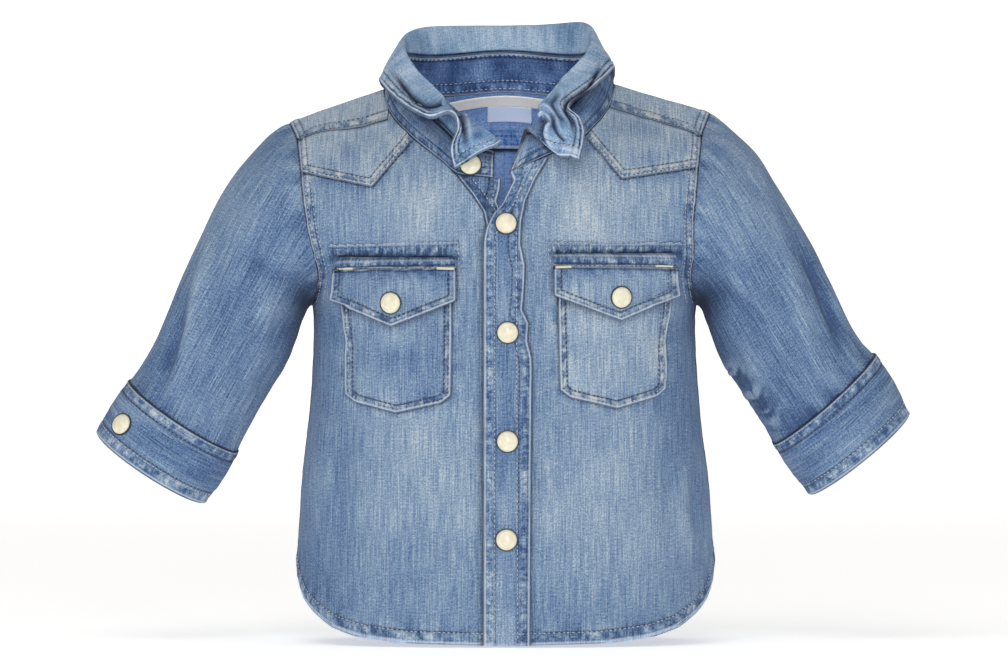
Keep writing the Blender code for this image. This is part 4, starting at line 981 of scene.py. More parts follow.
def cloth(name, outer, normal, thickness, weave, wash_and_painted_shade, materials, ring=False, inner=None, seam=None):
    """A double-walled piece of cloth over a grid of points (mm), facing along its normals.

    A ring's columns run all the way round, and the last joins the first.
    """
    rows, columns = outer.shape[:2]
    seam = np.zeros((rows, columns, 3)) + FAR if seam is None else seam
    wash_and_painted_shade = np.concatenate([wash_and_painted_shade, seam], axis=-1)
    if inner is None:
        inner = outer - normal * thickness
    if ring:
        borders = [[(r, c % columns) for c in range(columns + 1)] for r in (0, rows - 1)]
    else:
        borders = [[(0, c) for c in range(columns)] + [(r, columns - 1) for r in range(1, rows)]
                   + [(rows - 1, c) for c in range(columns - 2, -1, -1)]
                   + [(r, 0) for r in range(rows - 2, -1, -1)]]
    count = rows * columns
    r, c = np.meshgrid(np.arange(rows - 1), np.arange(columns if ring else columns - 1), indexing="ij")
    r, c = r.ravel(), c.ravel()
    corners = np.stack([np.stack([r, c], 1), np.stack([r, c + 1], 1),
                        np.stack([r + 1, c + 1], 1), np.stack([r + 1, c], 1)], 1)
    ids = corners[..., 0] * columns + corners[..., 1] % columns
    if ring:
        step = weave[:, -1:] - weave[:, -2:-1]
        weave = np.concatenate([weave, weave[:, -1:] + step], axis=1)
    flat = weave[corners[..., 0], corners[..., 1]]
    face = outer.reshape(-1, 3)[ids]
    facing = np.cross(face[:, 2] - face[:, 0], face[:, 3] - face[:, 1])
    turned = bool((facing * normal.reshape(-1, 3)[ids[:, 0]]).sum() < 0)
    if turned:
        ids, flat = ids[:, ::-1], flat[:, ::-1]
    quads, places, slots = [ids, ids[:, ::-1] + count], [flat, flat[:, ::-1]], [OUTSIDE, INSIDE]
    points = [outer.reshape(-1, 3), inner.reshape(-1, 3)]
    tones = [wash_and_painted_shade.reshape(count, -1)] * 2
    start = 2 * count
    halfway = (outer + inner) / 2
    for which, loop in enumerate(borders):
        r, c = np.array(loop).T
        next_c = c if ring else np.clip(c, 1, columns - 2)
        middle = halfway[r, c]
        push = unit(middle - halfway[np.clip(r, 1, rows - 2), next_c])
        middle = (middle + push * thickness * RIM_BULGE)[:-1]
        spot = r * columns + c
        n = len(loop) - 1
        rim = start + np.arange(n)
        after = start + (np.arange(n) + 1) % n
        over, over_next = spot[:-1], spot[1:]
        top = np.stack([over, over_next, after, rim], 1)
        low = np.stack([rim, after, over_next + count, over + count], 1)
        if turned == (ring and which == 1):
            top, low = top[:, ::-1], low[:, ::-1]
        quads += [top, low]
        here, there = weave[r[:-1], c[:-1]], weave[r[1:], c[1:]]
        places += [np.stack([here, there, there, here], 1)] * 2
        slots += [OUTSIDE, OUTSIDE]
        points.append(middle)
        tones.append(wash_and_painted_shade[r[:-1], c[:-1]])
        start += n
    points, tones = np.concatenate(points), np.concatenate(tones)
    slot_of = np.concatenate([np.full(len(q), s) for q, s in zip(quads, slots)])
    quads, places = np.concatenate(quads), np.concatenate(places)
    mesh = bpy.data.meshes.new(name)
    mesh.vertices.add(len(points))
    mesh.vertices.foreach_set("co", (points * MM).ravel())
    mesh.loops.add(quads.size)
    mesh.loops.foreach_set("vertex_index", quads.ravel().astype(np.int32))
    mesh.polygons.add(len(quads))
    mesh.polygons.foreach_set("loop_start", np.arange(0, quads.size, 4, dtype=np.int32))
    mesh.polygons.foreach_set("material_index", slot_of.astype(np.int32))
    mesh.update(calc_edges=True)
    mesh.uv_layers.new(name="weave").data.foreach_set("uv", (places / UV_UNIT).ravel())
    for name_of, kind, read, values in (("wash_and_painted_shade", "FLOAT_COLOR", "color", tones[:, :4]),
                                        ("seam", "FLOAT_VECTOR", "vector", tones[:, 4:])):
        mesh.attributes.new(name_of, kind, "POINT").data.foreach_set(read, values.ravel())
    mesh.shade_smooth()
    for material in materials:
        mesh.materials.append(material)
    return add_object(name, mesh)


def sew_on(piece, node, area=None):
    """Rides the piece on the root body, hides the solid that it stands for, and prints its triangles. area
    is not used.
    """
    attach(piece, "root")
    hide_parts(node)
    area = None if area is None else area * MM * MM
    print(piece.name, len(piece.data.polygons) * 2, "triangles")
    return piece


def tone(fade, rubbed=0.0, painted_shade=0.0):
    """The attribute of wash and painted shade: faded, rubbed white, and painted shade, each from 0 to 1."""
    fade, rubbed, painted_shade = np.broadcast_arrays(fade, rubbed, painted_shade)
    return np.clip(np.stack([fade, rubbed, painted_shade, np.ones_like(fade)], -1), 0.0, 1.0)


print("cloth tools ready")

# %% [markdown]
# ## Washed denim
#
# Denim is a twill: blue warp over white weft. Its warp yarn is uneven, so it shows long thin streaks,
# called slubs, and washing takes colour from whatever stands proud. The shader adds slubs along the
# warp, short flecks across it, soft clouds and the fade of the wash attribute, reads a blue from one
# ramp, and mixes in pale rubbed wear and a navy of painted shade.

# %% Denim
SLUB = (0.72, 20.0)        # mm across and along the warp
WIDE_SLUB = (2.6, 48.0)
FLECK = (5.0, 0.75)
GRAIN = (0.75, 0.95)       # crossings of the threads, drawn twice as coarse as they are
TWILL = 1.5                # mm between twill lines, drawn coarser than thread to show
CLOUD = 26.0               # mm
STITCH_STEP = 2.5          # mm
PUFF = 0.22                # how much a seam's puffs fade and its hollows stay blue
EDGE_WORN = 0.62           # how pale a seam's edge is rubbed
# The next is how strong the painted shade is along a seam's line and stitch groove; the second colour below
# is the navy that painted shade mixes towards.
SEAM_PAINTED_SHADE = 0.62           # how deep the lines beside it are
WORN_BLUE, PAINTED_SHADE_BLUE = "#CADBF0", "#0F1D3B"


def woven_noise(tree, weave, size, detail, rough=0.55):
    """Noise whose grains measure size = (across, along) in mm on the cloth."""
    place = add_node(tree, "Mapping", {"Scale": (UV_UNIT / size[0], UV_UNIT / size[1], 1.0)},
                     {"Vector": weave})
    return add_node(tree, "TexNoise", {"Scale": 1.0, "Detail": detail, "Roughness": rough},
                    {"Vector": place.outputs["Vector"]}).outputs["Fac"]


def add_up(tree, total, socket, weight):
    """total + (socket - 0.5) * weight"""
    part = add_node(tree, "Math", {1: weight, 2: -0.5 * weight}, {0: socket},
                    operation="MULTIPLY_ADD")
    return add_node(tree, "Math", None, {0: total, 1: part.outputs[0]},
                    operation="ADD").outputs[0]


def ridge(tree, socket, at, reach):
    """1 where the socket's value is at a place, falling smoothly to 0 at its reach."""
    off = add_node(tree, "Math", {1: at}, {0: socket}, operation="SUBTRACT")
    size = add_node(tree, "Math", None, {0: off.outputs[0]}, operation="ABSOLUTE")
    return add_node(tree, "MapRange", {"From Max": reach, "To Min": 1.0, "To Max": 0.0},
                    {"Value": size.outputs[0]}, interpolation_type="SMOOTHSTEP").outputs["Result"]


def sewn(tree):
    """Puffs, worn edge, and the painted shade of the nearest seam's line and stitch groove: three sockets.
    """
    near = add_node(tree, "Attribute", attribute_name="seam").outputs["Vector"]
    parts = add_node(tree, "SeparateXYZ", None, {"Vector": near})
    away, place, width = [parts.outputs[k] for k in range(3)]
    lie = add_node(tree, "Mapping", {"Scale": (0.20, 0.33, 0.0), "Rotation": (0.0, 0.0, 0.35)},
                   {"Vector": near})
    puffs = add_node(tree, "TexNoise", {"Scale": 1.0, "Detail": 2.0}, {"Vector": lie.outputs[0]})
    block = add_node(tree, "MapRange", {"From Min": 0.41, "From Max": 0.59, "To Min": -1.0},
                     {"Value": puffs.outputs["Fac"]}, interpolation_type="SMOOTHSTEP").outputs["Result"]
    share = add_node(tree, "Math", None, {0: away, 1: width}, operation="DIVIDE").outputs[0]
    band = ridge(tree, share, 0.52, 0.62)
    puff = add_node(tree, "Math", None, {0: block, 1: band}, operation="MULTIPLY").outputs[0]
    has_band = add_node(tree, "Math", {1: 1.0}, {0: width}, operation="GREATER_THAN").outputs[0]
    edge = ridge(tree, away, 0.5, 0.6)
    edge = add_node(tree, "Math", None, {0: edge, 1: has_band}, operation="MULTIPLY").outputs[0]
    past = add_node(tree, "Math", None, {0: away, 1: width}, operation="SUBTRACT").outputs[0]
    # Thread sinks into the groove at each stitch, so the groove's painted shade is a row of dark spots.
    turn = add_node(tree, "Math", {1: 2.0 * math.pi / STITCH_STEP}, {0: place},
                    operation="MULTIPLY")
    wave = add_node(tree, "Math", None, {0: turn.outputs[0]}, operation="SINE").outputs[0]
    spots = add_node(tree, "MapRange", {"From Min": -0.9, "From Max": 0.6, "To Min": 0.25},
                     {"Value": wave})
    # The dark line at the seam itself and the dark stitch grooves are painted shade.
    groove, line = ridge(tree, past, 0.25, 0.65), ridge(tree, away, 0.0, 0.5)
    inner = ridge(tree, away, 1.6, 0.5)
    inner = add_node(tree, "Math", None, {0: inner, 1: has_band}, operation="MULTIPLY").outputs[0]
    groove = add_node(tree, "Math", {1: 0.6}, {0: inner, 2: groove},
                      operation="MULTIPLY_ADD").outputs[0]
    groove = add_node(tree, "Math", None, {0: groove, 1: spots.outputs["Result"]},
                      operation="MULTIPLY").outputs[0]
    painted_dark = add_node(tree, "Math", None, {0: groove, 1: line}, operation="MAXIMUM").outputs[0]
    return puff, edge, painted_dark


def denim(name, blues, slub=1.15, wide=0.25, fleck=0.55, grain=1.0, cloud=0.3, bump=0.7):
    """Blues are the ramp's colours from the darkest to the palest."""
    material, tree, shader = new_material(name, {"Roughness": 0.88, "Specular IOR Level": 0.18,
                                                 "Sheen Weight": 0.06, "Sheen Roughness": 0.6})
    weave = add_node(tree, "UVMap", uv_map="weave").outputs["UV"]
    wash_and_painted_shade = add_node(tree, "Attribute", attribute_name="wash_and_painted_shade").outputs["Color"]
    split = add_node(tree, "SeparateColor", None, {"Color": wash_and_painted_shade})
    fade, rubbed, painted_shade = [split.outputs[k] for k in range(3)]
    here = add_node(tree, "TexCoord").outputs["Object"]
    slubs, wides, flecks, grains = [
        woven_noise(tree, weave, size, detail)
        for size, detail in ((SLUB, 3.0), (WIDE_SLUB, 2.0), (FLECK, 2.0), (GRAIN, 1.0))]
    clouds = add_node(tree, "TexNoise", {"Scale": 1.0 / (CLOUD * MM), "Detail": 3.0},
                      {"Vector": here}).outputs["Fac"]
    total = fade
    for socket, weight in ((slubs, slub), (wides, wide), (flecks, fleck), (grains, grain), (clouds, cloud)):
        total = add_up(tree, total, socket, weight)
    puff, edge, painted_dark = sewn(tree)
    total, rubbed, painted_shade = [
        add_node(tree, "Math", {1: weight}, {0: mark, 2: under}, operation="MULTIPLY_ADD").outputs[0]
        for mark, weight, under in ((puff, PUFF, total), (edge, EDGE_WORN, rubbed),
                                    (painted_dark, SEAM_PAINTED_SHADE, painted_shade))]
    ramp = add_node(tree, "ValToRGB", None, {"Fac": total})
    stops = ramp.color_ramp.elements
    stops[0].color, stops[1].color = linear(blues[0]), linear(blues[-1])
    for place, code in list(zip(np.linspace(0.0, 1.0, len(blues)), blues))[1:-1]:
        stops.new(place).color = linear(code)
    patchy = add_node(tree, "MapRange", {"From Min": 0.3, "From Max": 0.65, "To Min": 0.45},
                      {"Value": slubs}).outputs["Result"]
    rub = add_node(tree, "Math", None, {0: rubbed, 1: patchy}, operation="MULTIPLY",
                   use_clamp=True).outputs[0]
    painted_shade = add_node(tree, "Math", {1: 0.95}, {0: painted_shade}, operation="MINIMUM").outputs[0]
    colour = ramp.outputs["Color"]
    # Rubbed wear mixes the colour towards pale blue, and painted shade towards navy.
    for amount, code in ((rub, WORN_BLUE), (painted_shade, PAINTED_SHADE_BLUE)):
        colour = add_node(tree, "Mix", {7: linear(code)}, {0: amount, 6: colour},
                          data_type="RGBA").outputs[2]
    tree.links.new(colour, shader.inputs["Base Color"])
    slant = add_node(tree, "Mapping",
                     {"Scale": (UV_UNIT, UV_UNIT, 1.0), "Rotation": (0.0, 0.0, math.radians(58.0))},
                     {"Vector": weave})
    twill = add_node(tree, "TexWave",
                     {"Scale": 1.0 / (TWILL * 3.2), "Distortion": 1.2, "Detail": 1.0, "Detail Scale": 2.0},
                     {"Vector": slant.outputs["Vector"]}).outputs["Fac"]
    height = add_up(tree, add_up(tree, slubs, twill, 0.35), flecks, 0.4)
    for mark, weight in ((puff, 0.9), (painted_dark, -0.9)):
        height = add_node(tree, "Math", {1: weight}, {0: mark, 2: height},
                          operation="MULTIPLY_ADD").outputs[0]
    raised = add_node(tree, "Bump", {"Strength": bump, "Distance": 0.0006}, {"Height": height})
    tree.links.new(raised.outputs["Normal"], shader.inputs["Normal"])
    return material


# From indigo that is left in the folds to warp that is washed nearly white.
BODY_BLUES = ("#40587F", "#5A769D", "#748EAF", "#8FA5BD", "#ADBDCC", "#CDD5DA")
BAND_BLUES = ("#3E5680", "#57739C", "#718CAE", "#8BA2BD", "#A9BACD", "#CBD4DB")
COLLAR_BLUES = ("#3A5480", "#55769F", "#7091B6", "#8BA9CA", "#A8C0DA", "#CBDAE8")
INSIDE_BLUES = ("#4068A8", "#5A82C0", "#7699CF", "#92AFDB", "#AFC5E6", "#D0DDEE")
body_denim = denim("light washed denim", BODY_BLUES)
band_denim = denim("light washed denim, folded bands", BAND_BLUES, cloud=0.4)
collar_denim = denim("light washed denim of the collar", COLLAR_BLUES, slub=0.8, wide=0.2, cloud=0.5)
inside_denim = denim("inside face of the denim", INSIDE_BLUES, slub=0.4, fleck=0.7, bump=0.4)
CLOTHS = [body_denim, inside_denim]
BANDS = [band_denim, inside_denim]
print("denims:", [m.name for m in (body_denim, band_denim, collar_denim, inside_denim)])

# %% [markdown]
# ## Where the wash has taken the colour, and where shade is painted
#
# The fronts are palest at the chest and low on the belly, where they were rubbed, and keep their
# colour at the sides and close to every seam, where the tops of the puckers turn pale and the
# hollows stay blue. Under the arms, in seam grooves, along the welts and beside the placket's edges
# the darkness is painted shade.

# %% Fading and painted shade of the body
# Pale patches: x, z, half width, half height, strength.
FRONT_FADES = ((-40, -66, 30, 26, 0.20), (50, -66, 32, 30, 0.28), (-46, -206, 32, 46, 0.13),
               (48, -214, 34, 52, 0.15), (-56, -140, 22, 26, 0.06), (56, -138, 22, 26, 0.10),
               (54, -96, 30, 16, 0.05), (92, -244, 18, 30, 0.15))
BACK_FADES = ((0, -110, 52, 50, 0.14), (-40, -210, 36, 46, 0.13), (44, -204, 36, 50, 0.13))
BODY_FADE = 0.47


def body_wash_and_shade(share, station, point):
    """How faded, how rubbed and how darkened by painted shade the body is at points of its skin."""
    x, z, front, rise, round_hem, side, up_side, above, yoke = body_places(share, station, point)
    fade = np.full(np.shape(x), BODY_FADE)
    for patches, here in ((FRONT_FADES, front), (BACK_FADES, ~front)):
        for px, pz, wide, tall, strength in patches:
            patch = strength * hump(x - px, wide) * hump(z - pz, tall)
            fade += np.where(here, patch, 0.0)
    fade -= 0.16 * ease(66.0, 101.0, np.abs(x)) * ease(-60.0, -110.0, z)
    fade -= 0.08 * ease(-230.0, -285.0, z)
    relief = body_relief(share, station, point)
    fade += np.clip(relief, -0.8, 0.8) * 0.08
    rope = roped(rise, round_hem, HEM_WIDTH, 21, 1.0)
    fade += 0.20 * rope
    rubbed = 0.55 * hump(rise, 1.1) + 0.12 * np.clip(rope, 0, 1)
    # Painted shade in the hem's stitch groove and in the hollows of its rope.
    painted_shade = 0.30 * hump(rise - HEM_WIDTH - 0.4, 0.7) + 0.10 * np.clip(-rope, 0, 1)
    fade += 0.10 * hem_puckers(rise, round_hem)
    fade += 0.26 * arm_puckers(side, up_side) - 0.06 * hump(side, 7.0)
    rubbed += 0.36 * hump(side - 0.3, 0.6) + 0.45 * hump(side - 2.4, 1.6) * ease(-62.0, -40.0, z)
    # Painted shade in the felled seam's grooves, and a painted shadow deep in each armpit.
    painted_shade += 0.32 * hump(side - 1.5, 0.6) + 0.20 * hump(side - FELL_WIDTH - 0.5, 0.6)
    painted_shade += 0.75 * hump(side, 5.0) * hump(z + 114.0, 9.0)
    for name in SIGN:
        # Beside yokes and pockets the fade is lowered a little close to their edges and a dark line is
        # added, both painted shadow.
        for line, seed, painted_dark in ((YOKE_LINES[name], 31, 0.03), (POCKET_LINES[name], 32, 0.07)):
            away, place = from_line(x, z, line)
            mark = 0.12 * puckers(away, place, seed, 1.0, 4.6, 3.2) - painted_dark * hump(away, 2.0)
            fade += np.where(front, mark, 0.0)
            painted_shade += np.where(front, 0.26 * hump(away, 0.7), 0.0)
        below, over_pocket, wedge = above_pocket(name, x, z)
        above_welt = z - FLAP[name]["top"] - WELT_TALL[name]
        deep = 0.20 * wedge - 0.12 - 0.22 * hump(above_welt, 2.6)
        fade += np.where(front, over_pocket * deep, 0.0)
        left, right = [edge + inset for edge, inset in zip(FLAP[name]["x"], (1.0, -1.0))]
        over_welt = ease(-1.0, 1.0, x - left) * ease(-1.0, 1.0, right - x)
        # Painted shade under the stitches over each pocket, and a painted shadow in the crease along the
        # top of the welt.
        painted_dark = 0.20 * hump(below - 0.8, 0.5)
        painted_dark = painted_dark + (0.15 + 0.85 * over_welt) * (0.85 * hump(above_welt, 1.0)
                                                   + 0.30 * hump(above_welt, 2.4))
        painted_shade += np.where(front, over_pocket * painted_dark, 0.0)
    # A painted shadow beside the over band's free edge, and a thinner one beside its sewn edge.
    beyond_free = polyline(PLACKET_OVER_FREE, z) - x
    beyond_edge = x - polyline(PLACKET_OVER_EDGE, z)
    placket_shadow = 0.42 * hump(beyond_free - 0.6, 1.5) + 0.12 * hump(beyond_free, 4.0)
    painted_shade += np.where(front, placket_shadow + 0.22 * hump(beyond_edge - 0.4, 0.9), 0.0)
    fade += 0.34 * yoke * hump(np.abs(above) - 3.4, 3.0)
    fade += np.where(front, 0.27 * ease(-12.0, 4.0, above), 0.0)
    rubbed += 0.60 * hump(above - 1.0, 0.5)
    rubbed += 0.5 * hump(np.abs(x) - 101.0, 5.0) * hump(above - 3.0, 4.0)
    # A painted shadow line along each yoke seam, and painted shade in the groove of the stitches 6.4 mm
    # above it.
    painted_shade += 1.0 * hump(above + 0.2, 0.8) + 0.35 * hump(above - 6.4, 0.6)
    return fade, rubbed, painted_shade


print("fade at the left chest:", np.round(body_wash_and_shade(0.45, np.array(9.5), skin(0.45, 9.5))[0], 2))

# %% [markdown]
# ## Fronts
#
# Each front is one panel from the placket to the side seam and armhole, and from the shirt-tail hem
# to the neck and the forward shoulder seam. Its hem is turned up twice, so it stands a little proud.

# %% Fronts
def front_grid(side, columns=96, rows=200):
    """Shares and stations of one front's fine grid."""
    sign = SIGN[side]
    neck = along(NECK[side], np.linspace(0.0, 1.0, 25))
    edge_table, inset = (PLACKET_UNDER_EDGE, CURVED_SEAM) if side == "right" else (PLACKET_OVER_EDGE, -LAP)

    def edge_share(station):
        return np.abs(share_at(edge_x(edge_table, station) + sign * inset, station))

    neck_share, neck_station = front_place(sign * neck[:, 0], neck[:, 1])
    start = edge_share(neck_station)
    neck_part = np.clip((np.abs(neck_share) - start) / (1.0 - start), 0.0, 1.0)
    neck_part[0] = 0.0
    part = np.linspace(0.0, 1.0, columns + 1)
    seam_x = skin(sign * (start[-1] + (1.0 - start[-1]) * part), FORWARD_SEAM)[..., 0]
    seam_station = FORWARD_SEAM - seam_sag(seam_x) / MM_PER_STATION
    top = np.where(part < neck_part[-1], np.interp(part, neck_part, neck_station), seam_station)
    top_height = np.interp(top, FRONT_STEPS, FRONT_HEIGHTS) - SEAM
    low_height = np.interp(hem_station(part), FRONT_STEPS, FRONT_HEIGHTS)
    row = np.linspace(0.0, 1.0, rows + 1)[:, None]
    station = front_height_station(low_height + (top_height - low_height) * row)
    begin = edge_share(station)
    share = begin + (1.0 - SEAM_SHARE - begin) * part
    return (-share[:, ::-1], station[:, ::-1]) if sign < 0 else (share, station)


def hem_lift(share, z, shorter=0.0):
    rise, _ = hem_distance(share, z, shorter)
    return HEM_FOLD * (1.0 - ease(HEM_WIDTH - 0.5, HEM_WIDTH + 0.6, rise))


def body_cloth(name, node, share, station, lift, seam, area):
    """A panel of the body."""
    outer, normal = body_point(share, station, lift)
    piece = cloth(name, outer, normal, CLOTH, skin_weave(share, station),
                  tone(*body_wash_and_shade(share, station, skin(share, station))), CLOTHS, seam=seam)
    sew_on(piece, node, area=area)


for side, flat, area in (("right", (138, 262), 31200), ("left", (140, 264), 31500)):
    share, station = front_grid(side)
    bare = skin(share, station)
    body_cloth("front_cloth_" + side, "front_" + side, share, station, hem_lift(share, bare[..., 2]),
               body_seams(share, station, bare), area)

# %% [markdown]
# ## Back and back yoke
#
# The back is one panel under a yoke that comes over both shoulders to the forward seams. Its relief
# is of the same kind as the fronts', with its own folds from the armpits.

# %% Back and back yoke
def back_yoke_grid(side_columns=60, neck_columns=45, rows=54):
    halves = []
    for side, sign in SIGN.items():
        line = np.asarray(BACK_NECK[side]) * (1.0, MM_PER_STATION)
        neck = rounded(line, 1.0, 6)
        neck = along(neck, np.linspace(0.0, 1.0, neck_columns + 1))
        station = neck[:, 1] / MM_PER_STATION
        share = np.abs(share_at(sign * neck[:, 0], station))
        seam = np.linspace(1.0 - SEAM_SHARE, share[0], side_columns + 1)[:-1]
        top_share = np.concatenate([seam, share])
        seam_station = FORWARD_SEAM - seam_sag(skin(sign * seam, FORWARD_SEAM)[..., 0]) / MM_PER_STATION
        top_station = np.concatenate([seam_station, station]) + SEAM_STATIONS
        low_seam = np.linspace(1.0 - SEAM_SHARE, share[0] * YOKE_FAN, side_columns + 1)[:-1]
        low_share = np.concatenate([low_seam, share[0] * np.linspace(YOKE_FAN, 0.0, neck_columns + 1)])
        halves.append((sign * top_share, top_station, sign * low_share))
    right, left = halves
    top_share, top_station, low_share = [np.concatenate([r, l[::-1][1:]]) for r, l in zip(right, left)]
    down = np.linspace(0.0, 1.0, rows + 1)[:, None]
    share = top_share + (low_share - top_share) * down
    station = top_station + (BACK_YOKE_SEAM - SEAM_STATIONS / 2 - top_station) * down
    return share, station


def back_grid(columns=150, rows=180):
    share = np.linspace(-1.0, 1.0, columns + 1) * (1.0 - SEAM_SHARE)
    low = LAST_STATION - hem_station(share, BACK_HEM_SHORTER)
    down = np.linspace(0.0, 1.0, rows + 1)[:, None]
    start = BACK_YOKE_SEAM + SEAM_STATIONS / 2
    above = start + (BACK_ARMPIT - start) * down / ROWS_ABOVE_ARMPIT
    below = BACK_ARMPIT + (low - BACK_ARMPIT) * (down - ROWS_ABOVE_ARMPIT) / (1.0 - ROWS_ABOVE_ARMPIT)
    station = np.where(down < ROWS_ABOVE_ARMPIT, above, below)
    return share + 0.0 * station, station


share, station = back_yoke_grid()
x = skin(share, station)[..., 0]
sag = np.where(station < SHOULDER_TOP_STATION, seam_sag(x), 0.0)
seam = nearest_seam(((station - FORWARD_SEAM) * MM_PER_STATION + sag, x, 6.6),
                    (*side_distance(share, station), FELL_WIDTH),
                    ((BACK_YOKE_SEAM - station) * MM_PER_STATION, x, 4.2))
body_cloth("back_yoke_cloth", "back_yoke", share, station, 0.0, seam, 12700)

share, station = back_grid()
bare = skin(share, station)
body_cloth("back_cloth", "back", share, station, hem_lift(share, bare[..., 2], BACK_HEM_SHORTER),
           body_seams(share, station, bare), 61400)

# %% [markdown]
# ## Placket bands
#
# A placket is a folded strip that carries the snaps. The under band is one with the right front; the
# over band lies on the left front's edge. Each has a row of stitches near both edges, and between
# stitches and edge the folded cloth is roped into pale puckers and blue hollows.

# %% Placket bands
PLACKET_STITCH = (5.6, 6.2)      # mm from the free edge, and from the other


def on_front(x, z, lift):
    """Point, normal and flat place of cloth that lies lift mm off a front."""
    share, station = front_place(x, z)
    outer, normal = body_point(share, station, lift)
    return outer, normal, skin_weave(share, station)


def flap_snap(side):
    x, z = FLAP[side]["point"]
    return x, z + FLAP_SNAP_ABOVE_POINT


def near_snaps(x, z, reach=8.5):
    """1 beside the placket's and flaps' snaps, where the cloth is pressed flat, and 0 away from them."""
    spots = list(PLACKET_SNAPS) + [flap_snap(side) for side in FLAP]
    return np.max([hump(np.hypot(x - sx, z - sz), reach) for sx, sz in spots], axis=0)


def band_grid(left_edge, right_edge, neck, rows=260, columns=28):
    across = np.linspace(0.0, 1.0, columns + 1)
    neck_x = neck[0][0] + (neck[1][0] - neck[0][0]) * across
    neck_z = neck[0][1] + (neck[1][1] - neck[0][1]) * across
    top = np.interp(front_place(neck_x, neck_z)[1], FRONT_STEPS, FRONT_HEIGHTS) - SEAM
    low = np.interp(hem_station(0.0), FRONT_STEPS, FRONT_HEIGHTS)
    up = np.linspace(0.0, 1.0, rows + 1)[:, None]
    station = front_height_station(low + (top - low) * up)
    x = edge_x(left_edge, station) * (1 - across) + edge_x(right_edge, station) * across
    return x, station, across


for name, node, left_edge, right_edge, neck, lift, thickness, flat, seed in (
        ("placket_under_cloth", "placket_under", PLACKET_UNDER_EDGE, PLACKET_UNDER_FREE,
         PLACKET_UNDER_NECK, 0.0, CLOTH, (17, 246), 41),
        ("placket_over_cloth", "placket_over", PLACKET_OVER_FREE, PLACKET_OVER_EDGE,
         PLACKET_OVER_NECK, LIFT + BAND, BAND, (24, 252), 42)):
    x, station, across = band_grid(left_edge, right_edge, neck)
    share = share_at(x, station)
    z = skin(share, station)[..., 2]
    from_free, from_other = x - x[:, :1], x[:, -1:] - x
    if node == "placket_under":
        from_free, from_other = from_other, from_free
    rope_free = hump(from_free - 2.4, 2.3) * blocks(z / 4.1, from_free, seed, 0.15)
    rope_other = hump(from_other - 2.9, 2.3) * blocks(z / 4.4, from_other, seed + 1, -0.12)
    middle = ease(6.0, 9.0, np.minimum(from_free, from_other)) * lumps(x / 6.0, z / 11.0, seed + 2)
    grooves = hump(from_free - PLACKET_STITCH[0], 0.8) + hump(from_other - PLACKET_STITCH[1], 0.8)
    own = 0.45 * rope_free + 0.45 * rope_other + 0.22 * middle - 0.30 * grooves
    own += 0.35 * hump(from_free - 0.4, 1.0) + 0.45 * hump(from_other - 0.5, 0.9)
    own = own * (1.0 - 0.9 * near_snaps(x, z))
    own = np.maximum(own, -0.28)
    outer, normal = body_point(share, station, lift + own)
    fade = 0.43 + 0.15 * rope_free + 0.17 * rope_other + 0.12 * middle + 0.06 * hump(from_free - 2.5, 2.5)
    fade += 0.10 * lumps(x / 9.0, z / 26.0, seed + 3) - 0.10 * near_snaps(x, z, 11.0)
    fade += 0.06 * ease(-230.0, -285.0, z)
    rubbed = 0.75 * hump(from_free, 0.9) + 0.45 * hump(from_other - 0.5, 0.8) + 0.45 * hump(z + 291.0, 1.0)
    # Painted shade in the stitch grooves, beside the sewn edge and in the rope's hollows.
    painted_shade = 0.16 * grooves + 0.28 * hump(from_other - 1.9, 0.6)
    painted_shade += 0.08 * np.clip(-rope_free - rope_other, 0, 1)
    if node == "placket_under":
        fade -= 0.14 * ease(-82.0, -76.0, z)
        # A painted shadow in the hollow at the top of the under band, where the neck opens.
        painted_shade += 0.30 * hump(from_free - 5.0, 4.0) * ease(-80.0, -70.0, z)
    piece = cloth(name, outer, normal, thickness, skin_weave(share, station),
                  tone(fade, rubbed, painted_shade), BANDS,
                  seam=nearest_seam((from_free, z, PLACKET_STITCH[0]), (from_other, z, PLACKET_STITCH[1])))
    sew_on(piece, node)

# %% [markdown]
# ## Front yokes
#
# The pointed yoke is the mark of a western shirt. Its edge is turned under and sewn down twice, so
# it stands up as a rounded, worn edge with two grooves beside it.

# %% Front yokes
EDGE_BAND = 3.5            # mm from a turned edge to its stitches
YOKE_READS = (28, 46, 41)  # columns up to its point and beyond it, and rows


def sewn_edge(away, place, seed):
    """Own relief and wash of a turned and twice sewn edge: height, fade, rubbed, and painted shade in its
    grooves and hollows.
    """
    first, second = hump(away - 1.3, 0.5), hump(away - 3.7, 0.55)
    waves = blocks(place / 3.4, away, seed, 0.2) * hump(away - 2.5, 1.7)
    height = 0.30 * hump(away - 0.5, 0.7) - 0.16 * first - 0.30 * second + 0.34 * waves
    rubbed = (0.80 + 0.30 * lumps(place / 9.0, 0.0, seed + 1)) * hump(away - 0.3, 0.7)
    fade = 0.22 * waves + 0.06 * hump(away - 2.0, 1.8)
    return height, fade, rubbed, 0.14 * first + 0.20 * second + 0.12 * np.clip(-waves, 0, 1)


